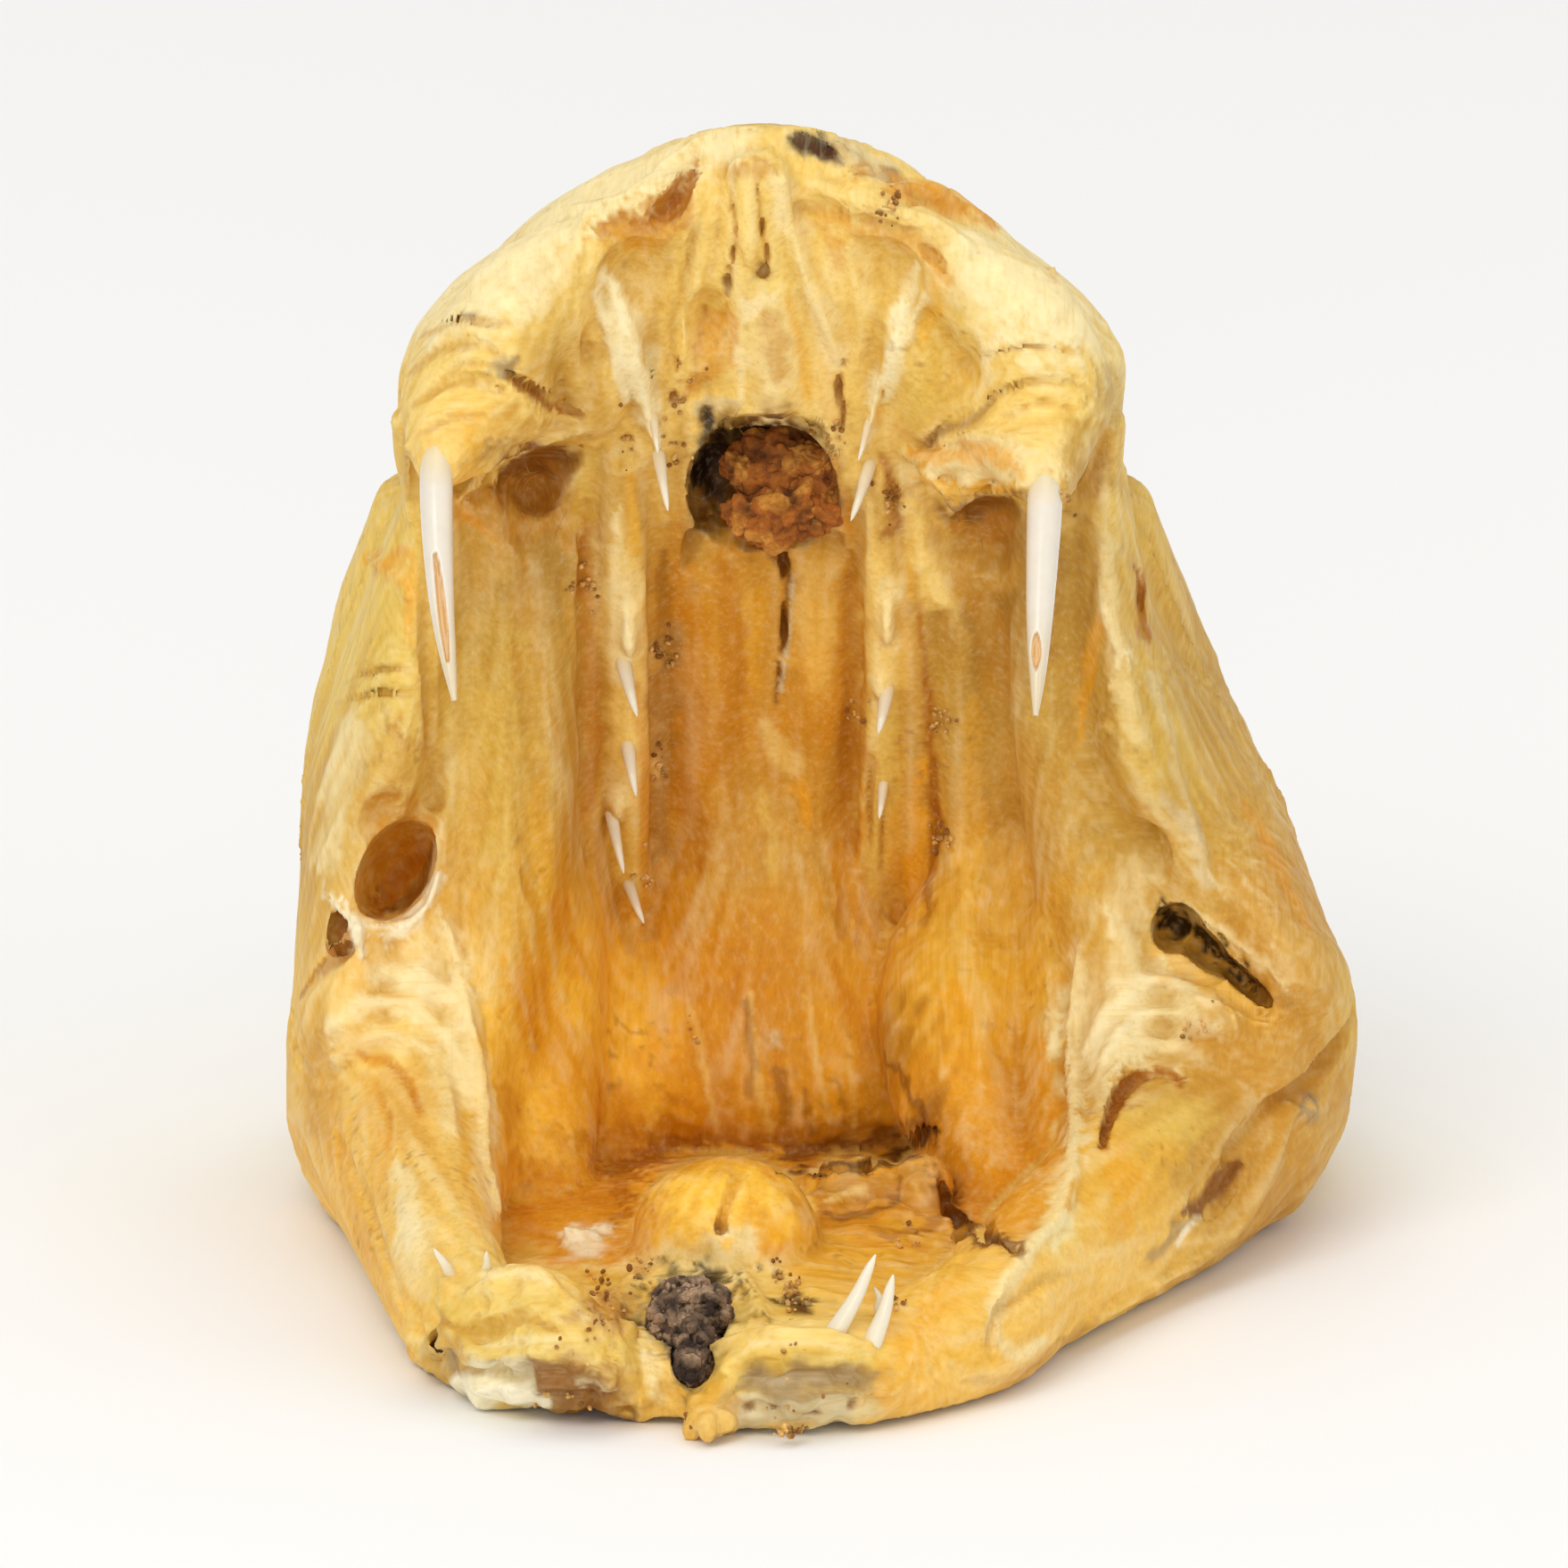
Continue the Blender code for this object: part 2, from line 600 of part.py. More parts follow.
def head_body():
    """The dried head before it is parted: upper head, jaws, cheeks, throat and neck."""
    rings = []
    for s, left, right, low, high in smooth_path(UPPER_HEAD, 2):
        middle, half = (left + right) / 2, (right - left) / 2
        level = min(max(WIDEST_H, low + 0.3), high - 0.3)
        near, far = RIDGE_FADE_S
        fade = min(max((s - near) / (far - near), 0.0), 1.0)
        peak = SKULL_RIDGE + (SNOUT_RIDGE - SKULL_RIDGE) * fade
        ring = []
        for k in range(BODY_SIDES):
            angle = math.tau * k / BODY_SIDES
            rise = math.sin(angle)
            height = (high - level) * rise if rise > 0 else (level - low) * rise
            power = peak if rise > 0 else SKULL_RIDGE
            spread = math.copysign(abs(math.cos(angle)) ** power, math.cos(angle))
            ring.append(roof(middle + half * spread, s, level + height))
        rings.append(ring)
    pieces = [
        loft("upper_head", rings),
        bar("left_shoulder", on_roof(SHOULDER_LEFT)),
        bar("right_shoulder", on_roof(SHOULDER_RIGHT)),
        bar("left_lip_fill", on_roof(LIP_FILL_LEFT)),
        bar("right_lip_fill", on_roof(LIP_FILL_RIGHT)),
        bar("left_inner_web", on_roof(INNER_WEB_LEFT)),
        bar("right_inner_web", on_roof(INNER_WEB_RIGHT)),
        bar("snout_column", on_roof(SNOUT_COLUMN)),
        bar("left_jaw", MANDIBLE_LEFT),
        bar("right_jaw", MANDIBLE_RIGHT),
        bar("left_cheek", CHEEK_LEFT),
        bar("right_cheek", CHEEK_RIGHT),
        bar("left_column", COLUMN_LEFT),
        bar("right_column", COLUMN_RIGHT),
        bar("left_web", WEB_LEFT),
        bar("right_web", WEB_RIGHT),
        bar("pillar_web", WEB_PILLAR),
        bar("left_strip", STRIP_LEFT),
        bar("right_strip", STRIP_RIGHT),
        bar("throat_ramp", THROAT_RAMP, sides=20),
        bar("throat_pillar", THROAT_PILLAR),
        bar("floor", MOUTH_FLOOR, sides=20),
        bar("chin_scrap", CHIN_SCRAP),
        bar("gullet", GULLET, sides=20),
        bar("neck_tube", NECK, sides=20),
        ball("throat_wall", *THROAT_WALL),
    ]
    body = fuse("body", pieces, BODY_VOXEL, 3)
    hollows = [
        ball("hollow", centre, radii)
        for centre, radii in (
            THROAT_SLIT, CHOANA, SOIL_HOLE, LEFT_CHEEK_HOLE, RIGHT_CHEEK_HOLE,
            SHEATH_RECESS_LEFT, SHEATH_RECESS_RIGHT, LIP_RECESS_LEFT, LIP_RECESS_RIGHT,
        )
    ]
    subtract(body, hollows)
    return thin(largest(fuse("body", [body], BODY_VOXEL, 1)), BODY_TRIANGLES)


def level_plane(height):
    """A point on the plane at a height of the level frame, and the direction down."""
    down = Vector((0, math.sin(VIEW_PITCH), -math.cos(VIEW_PITCH)))
    return down * -height, down


def tooth(name, root, tip):
    root, tip = Vector(root), Vector(tip)
    direction = (tip - root).normalized()
    start = root - direction * TOOTH_ROOT
    stations = [(*start, TOOTH_RADIUS, TOOTH_RADIUS)]
    for reach, share in TOOTH_SHAPE:
        stations.append((*root.lerp(tip, reach), TOOTH_RADIUS * share, TOOTH_RADIUS * share))
    return bar(name, stations, sides=6, steps=1, rounded=False)


def ridge(name, line):
    """A ridge along the roof of the mouth."""
    stations = []
    for i, (x, z) in enumerate(line):
        half = RIDGE_HALF_WIDTH * (RIDGE_END_SHARE if i in (0, len(line) - 1) else 1.0)
        stations.append((x, roof_depth(z) - RIDGE_OUT, z, half, half * RIDGE_DEPTH_SHARE))
    return bar(name, stations, sides=12)


def ridge_teeth(places):
    """Root and tip of each tooth of a ridge, from its x and z."""
    pairs = []
    for x, z in places:
        root = (x, roof_depth(z) - RIDGE_TOOTH_OUT, z)
        tip = (x + RIDGE_TOOTH_LEAN, root[1] - RIDGE_TOOTH_REACH, z - RIDGE_TOOTH_REACH)
        pairs.append((root, tip))
    return pairs


def material(name, colour, roughness):
    made = bpy.data.materials.new(name)
    made.use_nodes = True
    shader = made.node_tree.nodes["Principled BSDF"]
    shader.inputs["Base Color"].default_value = (*colour, 1.0)
    shader.inputs["Roughness"].default_value = roughness
    return made


def parted(body):
    """The named pieces of the body."""
    pieces = {}
    level_back = Vector((0, math.cos(VIEW_PITCH), math.sin(VIEW_PITCH)))
    pieces["neck"] = part_off(body, "neck", level_back * NECK_CUT, level_back)
    stump = beyond("stump", level_back * NECK_END, level_back)
    subtract(pieces["neck"], [stump])

    lower = part_off(body, "mouth_floor", (0, 0, JAW_CUT_Z), (0, -0.05, -1))
    for side, name, line in (
        (-1, "mandible_left", FLOOR_CUT_LEFT),
        (1, "mandible_right", FLOOR_CUT_RIGHT),
    ):
        (x0, y0), (x1, y1) = line
        across = Vector((y1 - y0, x0 - x1, 0)).normalized()
        if across.x * side < 0:
            across.negate()
        pieces[name] = part_off(lower, name, (x0, y0, 0), across)
    pieces["mouth_floor"] = lower

    along = roof(0, 1, 0) - roof(0, 0, 0)
    above = roof(0, 0, 1) - roof(0, 0, 0)
    pieces["snout"] = part_off(body, "snout", roof(0, ROOF_CUT_S, 0), along)
    pieces["cranium"] = part_off(body, "cranium", roof(0, 0, SKULL_CUT_H), above)
    pieces["cheek_left"] = part_off(body, "cheek_left", (CHEEK_CUT_LEFT, 0, 0), (-1, 0, 0))
    pieces["cheek_right"] = part_off(body, "cheek_right", (CHEEK_CUT_RIGHT, 0, 0), (1, 0, 0))
    pieces["throat"] = part_off(body, "throat", roof(0, THROAT_CUT_S, 0), -along)
    body.name = "palate"
    pieces["palate"] = body
    return pieces


def seat(pieces, names, insert):
    """Cuts room for an insert into the named pieces."""
    for name in names:
        subtract(pieces[name], [grown(insert, GAP, "seat")])


def build():
    for thing in list(bpy.data.objects):
        bpy.data.objects.remove(thing, do_unlink=True)

    body = head_body()
    subtract(body, [beyond("floor", *level_plane(FLOOR))])
    pieces = parted(body)

    inserts = [
        (bar("fang_sheath_left", SHEATH_LEFT), ("snout", "palate", "cheek_left")),
        (bar("fang_sheath_right", SHEATH_RIGHT), ("snout", "palate", "cheek_right")),
        (ridge("tooth_ridge_left", RIDGE_LEFT), ("palate", "throat")),
        (ridge("tooth_ridge_right", RIDGE_RIGHT), ("palate", "throat")),
        (ball("glottis", *GLOTTIS), ("mouth_floor",)),
        (ball("choana_debris", *DEBRIS, detail=2), ("palate", "snout")),
        (ball("soil_plug", *SOIL, detail=2), ("mouth_floor",)),
    ]
    for name, (x, s, h) in EYES.items():
        eye = ball(name, roof(x, s, h), (EYE_RADIUS,) * 3, detail=2)
        inserts.append((eye, ("cheek_left" if x < 0 else "cheek_right", "palate")))
    for insert, neighbours in inserts:
        seat(pieces, neighbours, insert)
    for insert, _ in inserts:
        pieces[insert.name] = insert

    for name, stations in (("fang_left", FANG_LEFT), ("fang_right", FANG_RIGHT)):
        fang = bar(name, stations, sides=12, rounded=False)
        seat(pieces, ("fang_sheath" + name[4:],), fang)
        pieces[name] = fang

    for name, teeth in (
        ("mandible_left", DENTARY_TEETH_LEFT),
        ("mandible_right", DENTARY_TEETH_RIGHT),
        ("tooth_ridge_left", ridge_teeth(RIDGE_TEETH_LEFT)),
        ("tooth_ridge_right", ridge_teeth(RIDGE_TEETH_RIGHT)),
    ):
        joined = [pieces[name]] + [tooth("lower_tooth", root, tip) for root, tip in teeth]
        pieces[name] = union(name, joined)

    for x, s, h in HEAT_PITS:
        subtract(pieces["snout"], [ball("pit", roof(x, s, h), (HEAT_PIT_RADIUS,) * 3, detail=2)])
    for x, s, h in NOSTRILS:
        subtract(pieces["snout"], [ball("nostril", roof(x, s, h), (NOSTRIL_RADIUS,) * 3, detail=2)])

    pose = bpy.data.objects.new("specimen_pose", None)
    bpy.context.scene.collection.objects.link(pose)
    pose.rotation_euler = (-VIEW_PITCH, 0, 0)
    pose.location = (CENTRE_SHIFT[0] * MM, CENTRE_SHIFT[1] * MM, -FLOOR * MM)
    for finish, wearers in WORN_BY.items():
        shade = material(finish, *FINISHES[finish])
        for name in wearers:
            piece = largest(pieces[name])
            piece.name = name
            piece.data.name = name
            piece.data.materials.clear()
            piece.data.materials.append(shade)
            piece.parent = pose


build()
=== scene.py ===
import math

import bmesh
import bpy
import numpy as np
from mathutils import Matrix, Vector


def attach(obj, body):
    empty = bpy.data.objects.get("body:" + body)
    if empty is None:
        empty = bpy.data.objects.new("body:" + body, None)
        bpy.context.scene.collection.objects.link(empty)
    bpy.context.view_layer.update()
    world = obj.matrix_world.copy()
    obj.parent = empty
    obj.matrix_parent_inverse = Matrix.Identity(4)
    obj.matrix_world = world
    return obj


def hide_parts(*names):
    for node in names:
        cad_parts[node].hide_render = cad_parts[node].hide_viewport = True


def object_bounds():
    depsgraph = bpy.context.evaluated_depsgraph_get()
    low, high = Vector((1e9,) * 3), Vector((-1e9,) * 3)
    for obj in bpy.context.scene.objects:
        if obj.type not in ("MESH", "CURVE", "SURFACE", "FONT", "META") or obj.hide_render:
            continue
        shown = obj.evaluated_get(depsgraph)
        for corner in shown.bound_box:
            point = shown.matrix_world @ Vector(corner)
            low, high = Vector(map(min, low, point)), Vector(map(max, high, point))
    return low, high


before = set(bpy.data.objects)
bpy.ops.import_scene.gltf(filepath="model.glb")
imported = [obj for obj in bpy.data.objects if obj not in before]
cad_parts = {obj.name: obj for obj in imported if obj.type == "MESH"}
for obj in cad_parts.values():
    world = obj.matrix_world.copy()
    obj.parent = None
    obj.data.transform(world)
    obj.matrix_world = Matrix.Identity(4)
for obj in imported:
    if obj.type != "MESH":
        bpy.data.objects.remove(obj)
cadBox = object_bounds()

# The forms below are in millimetres in a viewing frame: x right, y away from the viewer, z up.
# The roof of the mouth is a plane there, and the whole specimen is tipped level at the end.
pose = {
    "pitch": math.radians(15),  # the viewer looks down on the specimen
    "floor": 7.6,               # resting plane, as in the solids
    "shiftX": 0.05,
    "shiftY": -6.06,
}
roofPlane = {"jointY": 14.0, "jointZ": 16.0, "slope": math.atan2(0.617, 0.787)}
clayBlock = {
    "low": (-22.6, -29.4, -0.8),
    "high": (22.6, 34.6, 55.0),
    "cell": 0.2,
    "far": 4,      # distances past this are not kept
    "empty": 60,   # depth given where nothing shows
    "noise": 64,   # cells along a side of the block of noise
}
boxGap = 0.0002  # metres that loose grains and threads keep from the box of the solids


def levelled(y, z):  # depth and height once the specimen is tipped level
    c, s = math.cos(pose["pitch"]), math.sin(pose["pitch"])
    return y * c + z * s, z * c - y * s


def toWorld(points):
    x, y, z = np.asarray(points, float).T
    away, up = levelled(y, z)
    return 0.001 * np.stack([x + pose["shiftX"], away + pose["shiftY"], up - pose["floor"]], axis=1)


def inBox(points):
    world = toWorld(points)
    return ((world > np.array(cadBox[0]) + boxGap) & (world < np.array(cadBox[1]) - boxGap)).all(axis=1)


def roofY(z):
    return roofPlane["jointY"] - math.tan(roofPlane["slope"]) * (z - roofPlane["jointZ"])


def onRoof(x, s, h):  # place from the distance along the roof and the height above it
    sn, cs = math.sin(roofPlane["slope"]), math.cos(roofPlane["slope"])
    return (x, roofPlane["jointY"] - sn * s + cs * h, roofPlane["jointZ"] + cs * s + sn * h)


def alongRoof(y, z):  # distance along the roof from the jaw joint, and height above it
    sn, cs = math.sin(roofPlane["slope"]), math.cos(roofPlane["slope"])
    y, z = y - roofPlane["jointY"], z - roofPlane["jointZ"]
    return cs * z - sn * y, cs * y + sn * z


def outOfRoof(stations):  # x, distance out from the roof, z, half width, half depth
    return [(x, roofY(z) - out, z, wide, deep) for x, out, z, wide, deep in stations]


def curveThrough(stations, steps):
    a = np.array(stations, float)
    padded = np.vstack([a[:1], a, a[-1:]])
    result = []
    for i in range(len(a) - 1):
        p, q, r, w = padded[i:i + 4]
        for t in np.arange(steps) / steps:
            result.append(0.5 * (2 * q + (r - p) * t + (2 * p - 5 * q + 4 * r - w) * t ** 2
                                 + (3 * q - p - 3 * r + w) * t ** 3))
    result.append(a[-1])
    return np.array(result)


def softMin(a, b, k):
    if k <= 0:
        return np.minimum(a, b)
    h = np.maximum(k - np.abs(a - b), 0) / k
    return np.minimum(a, b) - h * h * h * k / 6


rng = np.random.default_rng(5)
noiseTable = rng.random((clayBlock["noise"],) * 3, dtype=np.float32) * 2 - 1


def betweenCorners(f, valueAt):  # mixes what valueAt gives at the eight corners of a cell
    total = np.zeros(len(f), np.float32)
    for dx in (0, 1):
        wx = f[:, 0] if dx else 1 - f[:, 0]
        for dy in (0, 1):
            wy = f[:, 1] if dy else 1 - f[:, 1]
            for dz in (0, 1):
                wz = f[:, 2] if dz else 1 - f[:, 2]
                total += wx * wy * wz * valueAt((dx, dy, dz))
    return total


def lumps(points, size, seed=0):  # smooth noise from -1 to 1 with lumps of a size in mm
    q = points / size + seed * 7.31
    base = np.floor(q).astype(np.int64)
    f = (q - base).astype(np.float32)
    f = f * f * (3 - 2 * f)
    return betweenCorners(f, lambda step: noiseTable[tuple(((base + step) % clayBlock["noise"]).T)]) * 1.5


class Clay:
    # a block of distances to the surface, negative inside, that forms are added to and cut from

    def __init__(self):
        self.low = np.array(clayBlock["low"])
        self.cell = clayBlock["cell"]
        span = np.array(clayBlock["high"]) - self.low
        self.shape = tuple((span / self.cell).astype(int) + 1)
        self.axes = [self.low[a] + self.cell * np.arange(self.shape[a]) for a in range(3)]
        self.value = np.full(self.shape, clayBlock["far"], np.float32)

    def window(self, low, high, margin):
        first = [max(0, int((low[a] - margin - self.low[a]) / self.cell)) for a in range(3)]
        last = [int((high[a] + margin - self.low[a]) / self.cell) + 2 for a in range(3)]
        last = [min(self.shape[a], last[a]) for a in range(3)]
        part = tuple(slice(f, max(f, t)) for f, t in zip(first, last))
        x = self.axes[0][part[0]].astype(np.float32)[:, None, None]
        y = self.axes[1][part[1]].astype(np.float32)[None, :, None]
        z = self.axes[2][part[2]].astype(np.float32)[None, None, :]
        return part, x, y, z

    def press(self, part, form, soft, cut):
        if cut:
            self.value[part] = -softMin(-self.value[part], form, soft)
        else:
            self.value[part] = softMin(self.value[part], form, soft)

    def bar(self, stations, soft=1.0, cut=False, steps=4):
        path = curveThrough(stations, steps)
        spots, reach = path[:, :3], path[:, 3:5].max()
        whole = self.window(spots.min(axis=0) - reach, spots.max(axis=0) + reach, soft + 1.0)[0]
        if self.value[whole].size == 0:
            return
        best = np.full(self.value[whole].shape, clayBlock["far"], np.float32)
        for a, b in zip(path, path[1:]):
            along = b[:3] - a[:3]
            length = max(float(np.linalg.norm(along)), 1e-6)
            tangent = along / length
            side = np.array([1.0, 0, 0]) - tangent * tangent[0]
            if np.linalg.norm(side) < 0.5:
                side = np.array([0, 1.0, 0]) - tangent * tangent[1]
            side = side / np.linalg.norm(side)
            across = np.cross(tangent, side)
            near = max(a[3], a[4], b[3], b[4])
            low, high = np.minimum(a[:3], b[:3]) - near, np.maximum(a[:3], b[:3]) + near
            part, x, y, z = self.window(low, high, soft + 1.0)
            x, y, z = x - np.float32(a[0]), y - np.float32(a[1]), z - np.float32(a[2])
            t = (x * np.float32(tangent[0]) + y * np.float32(tangent[1]) + z * np.float32(tangent[2]))
            t = np.clip(t / np.float32(length), 0, 1)
            wide = np.float32(a[3]) + np.float32(b[3] - a[3]) * t
            deep = np.float32(a[4]) + np.float32(b[4] - a[4]) * t
            x, y, z = [v - np.float32(along[i]) * t for i, v in enumerate((x, y, z))]
            u, v, w = [
                x * np.float32(way[0]) + y * np.float32(way[1]) + z * np.float32(way[2])
                for way in (side, across, tangent)
            ]
            thin = np.minimum(wide, deep)
            u, v, w = u / wide, v / deep, w / thin
            k0 = np.sqrt(u * u + v * v + w * w) + np.float32(1e-6)
            u, v, w = u / wide, v / deep, w / thin
            k1 = np.sqrt(u * u + v * v + w * w) + np.float32(1e-6)
            local = tuple(slice(p.start - q.start, p.stop - q.start) for p, q in zip(part, whole))
            best[local] = np.minimum(best[local], k0 * (k0 - 1) / k1)
        self.press(whole, best, soft, cut)

    def ball(self, centre, radii, soft=0.8, cut=False, turn=0.0, lean=0.0):
        # turn is about the line of sight, lean tips the top away, both in degrees
        centre, radii = np.array(centre, float), np.array(radii, float)
        reach = radii.max()
        part, x, y, z = self.window(centre - reach, centre + reach, soft + 1.0)
        if self.value[part].size == 0:
            return
        x, y, z = x - centre[0], y - centre[1], z - centre[2]
        a, b = math.radians(turn), math.radians(lean)
        x, z = x * math.cos(a) + z * math.sin(a), z * math.cos(a) - x * math.sin(a)
        y, z = y * math.cos(b) - z * math.sin(b), z * math.cos(b) + y * math.sin(b)
        k0 = np.sqrt((x / radii[0]) ** 2 + (y / radii[1]) ** 2 + (z / radii[2]) ** 2) + 1e-6
        x, y, z = x / radii[0] ** 2, y / radii[1] ** 2, z / radii[2] ** 2
        k1 = np.sqrt(x ** 2 + y ** 2 + z ** 2) + 1e-6
        self.press(part, (k0 * (k0 - 1) / k1).astype(np.float32), soft, cut)

    def upperHead(self, stations, widest, peaks, fadeS):
        table = curveThrough(stations, 4)
        table = table[np.argsort(table[:, 0])]
        s, h = alongRoof(self.axes[1][:, None], self.axes[2][None, :])
        left, right, bottom, top = [np.interp(s, table[:, 0], table[:, i]) for i in (1, 2, 3, 4)]
        level = np.clip(widest, bottom + 0.3, top - 0.3)
        fade = np.clip((s - fadeS[0]) / (fadeS[1] - fadeS[0]), 0, 1)
        power = np.where(h > level, 2 / (peaks[0] + (peaks[1] - peaks[0]) * fade), 2 / peaks[0])
        tall = np.where(h > level, top - level, level - bottom)
        middle, half = (left + right) / 2, (right - left) / 2
        past = np.maximum(s - table[-1, 0], table[0, 0] - s).astype(np.float32)
        over = (((h - level) / tall) ** 2).astype(np.float32)
        middle, half, power, tall = [v.astype(np.float32) for v in (middle, half, power, tall)]
        far = np.float32(clayBlock["far"])
        for i, x in enumerate(self.axes[0].astype(np.float32)):
            d = (np.sqrt(np.abs((x - middle) / half) ** power + over) - 1) * np.minimum(half, tall)
            d = np.clip(np.maximum(d, past), -far, far)
            self.value[i] = np.minimum(self.value[i], d)

    def levelCells(self):  # depth and height of the cells once the specimen is tipped level
        y = self.axes[1].astype(np.float32)[None, :, None]
        z = self.axes[2].astype(np.float32)[None, None, :]
        return levelled(y, z)

    def above(self, height, soft):  # flattens the underside at a height of the level frame
        up = self.levelCells()[1]
        self.value = -softMin(-self.value, up - (pose["floor"] + height), soft)

    def behind(self, limit, soft):  # cuts the neck off square
        away = self.levelCells()[0]
        self.value = -softMin(-self.value, limit - away, soft)

    def sample(self, field, points):
        q = np.clip((points - self.low) / self.cell, 0, np.array(self.shape) - 1.001)
        base = q.astype(np.int64)
        return betweenCorners((q - base).astype(np.float32), lambda step: field[tuple((base + step).T)])

    def slope(self, points, reach):
        return np.stack([
            self.sample(self.value, points + step) - self.sample(self.value, points - step)
            for step in np.eye(3) * reach
        ], axis=1) / (2 * reach)

    def fullness(self, radius):  # share of solid in a box round each point: high in hollows
        solid = np.clip(0.5 - self.value / self.cell, 0, 1).astype(np.float32)
        n = max(1, int(round(radius / self.cell)))
        for axis in range(3):
            none = np.zeros_like(np.take(solid, [0], axis))
            padded = np.concatenate([none, np.cumsum(solid, axis=axis)], axis=axis)
            count = solid.shape[axis]
            upper = np.minimum(np.arange(count) + n + 1, count)
            lower = np.maximum(np.arange(count) - n, 0)
            shape = [1, 1, 1]
            shape[axis] = count
            solid = np.take(padded, upper, axis) - np.take(padded, lower, axis)
            solid = (solid / (upper - lower).reshape(shape)).astype(np.float32)
        return solid

    def surface(self):
        v = self.value
        inside = v < 0
        nx, ny, nz = self.shape
        total = np.zeros((nx - 1, ny - 1, nz - 1), np.int8)
        corners = [(a, b, c) for a in (0, 1) for b in (0, 1) for c in (0, 1)]
        for a, b, c in corners:
            total += inside[a:nx - 1 + a, b:ny - 1 + b, c:nz - 1 + c]
        i, j, k = np.nonzero((total > 0) & (total < 8))
        ids = np.full(total.shape, -1, np.int64)
        ids[i, j, k] = np.arange(len(i))
        spot = np.zeros((len(i), 3))
        count = np.zeros(len(i))
        for a, b, c in corners:
            for axis in range(3):
                if (a, b, c)[axis]:
                    continue
                d = [a, b, c]
                d[axis] = 1
                p = v[i + a, j + b, k + c]
                q = v[i + d[0], j + d[1], k + d[2]]
                cross = (p < 0) != (q < 0)
                t = np.where(cross, p / np.where(cross, p - q, 1), 0)
                at = np.tile(np.array([a, b, c], float), (len(i), 1))
                at[:, axis] += t
                spot += at * cross[:, None]
                count += cross
        spot = spot / count[:, None] + np.stack([i, j, k], axis=1)
        points = self.low + spot * self.cell
        quads = []
        for axis, (u, w) in ((0, (1, 2)), (1, (2, 0)), (2, (0, 1))):
            near = [slice(1, n - 1) for n in self.shape]
            near[axis] = slice(0, self.shape[axis] - 1)
            next_ = list(near)
            next_[axis] = slice(1, self.shape[axis])
            a, b = inside[tuple(near)], inside[tuple(next_)]
            where = np.nonzero(a != b)
            cell = [where[n] + (0 if n == axis else 1) for n in range(3)]
            outward = a[where]
            ring = []
            for du, dw in ((-1, -1), (0, -1), (0, 0), (-1, 0)):
                spotCell = [c.copy() for c in cell]
                spotCell[u] += du
                spotCell[w] += dw
                ring.append(ids[spotCell[0], spotCell[1], spotCell[2]])
            ring = np.stack(ring, axis=1)
            ring[~outward] = ring[~outward][:, ::-1]
            quads.append(ring)
        return points, np.concatenate(quads)


def largestPart(pointCount, quads):
    label = np.arange(pointCount)
    for _ in range(200):
        low = label[quads].min(axis=1)
        new = label.copy()
        for c in range(4):
            np.minimum.at(new, quads[:, c], low)
        new = new[new]
        if (new == label).all():
            break
        label = new
    names, counts = np.unique(label, return_counts=True)
    return label == names[counts.argmax()]


class Relief:
    # where the specimen is first met looking straight at it: used to lay detail and colour on it

    def __init__(self, clay):
        self.clay = clay
        self.refresh()

    def cellsRound(self, places, axis):
        if places is None:
            return slice(0, None)
        low, cell = self.clay.low[axis], self.clay.cell
        return slice(max(0, int((min(places) - low) / cell) - 2), int((max(places) - low) / cell) + 4)

    def refresh(self, x=None, z=None):
        clay = self.clay
        rows, columns = self.cellsRound(x, 0), self.cellsRound(z, 2)
        value = clay.value[rows, :, columns]
        inside = value < 0
        first = inside.argmax(axis=1)
        i, k = np.meshgrid(np.arange(first.shape[0]), np.arange(first.shape[1]), indexing="ij")
        before = np.maximum(first - 1, 0)
        p, q = value[i, before, k], value[i, first, k]
        t = np.where(first > 0, p / np.where(np.abs(p - q) > 1e-6, p - q, 1), 0)
        depth = clay.low[1] + (before + t) * clay.cell
        if x is None:
            self.depth = np.full((clay.shape[0], clay.shape[2]), float(clayBlock["empty"]))
        self.depth[rows, columns] = np.where(inside.any(axis=1), depth, clayBlock["empty"])

    def at(self, x, z):
        clay, (rows, columns) = self.clay, self.depth.shape
        u = np.clip((np.asarray(x) - clay.low[0]) / clay.cell, 0, rows - 1.001)
        w = np.clip((np.asarray(z) - clay.low[2]) / clay.cell, 0, columns - 1.001)
        i, k = u.astype(int), w.astype(int)
        fu, fw = u - i, w - k
        near = [(a, b) for a in (0, 1) for b in (0, 1)]
        return sum(self.depth[i + a, k + b] * (abs(1 - a - fu) * abs(1 - b - fw)) for a, b in near)


def laidOn(relief, path, cut, steps=3):
    # x, z, half width, height of a ridge or depth of a groove, on whatever surface shows there
    dense = curveThrough(path, steps)
    relief.refresh(dense[:, 0], dense[:, 1])
    depth = relief.at(dense[:, 0], dense[:, 1])
    for _ in range(2):
        depth = np.concatenate([depth[:1], (depth[:-2] + depth[1:-1] * 2 + depth[2:]) / 4, depth[-1:]])
    deep = np.maximum(dense[:, 2], dense[:, 3]) * 0.9
    centre = depth + (dense[:, 3] - deep if cut else deep - dense[:, 3])
    return [(x, y, z, wide, d) for (x, z, wide, _), y, d in zip(dense, centre, deep)]


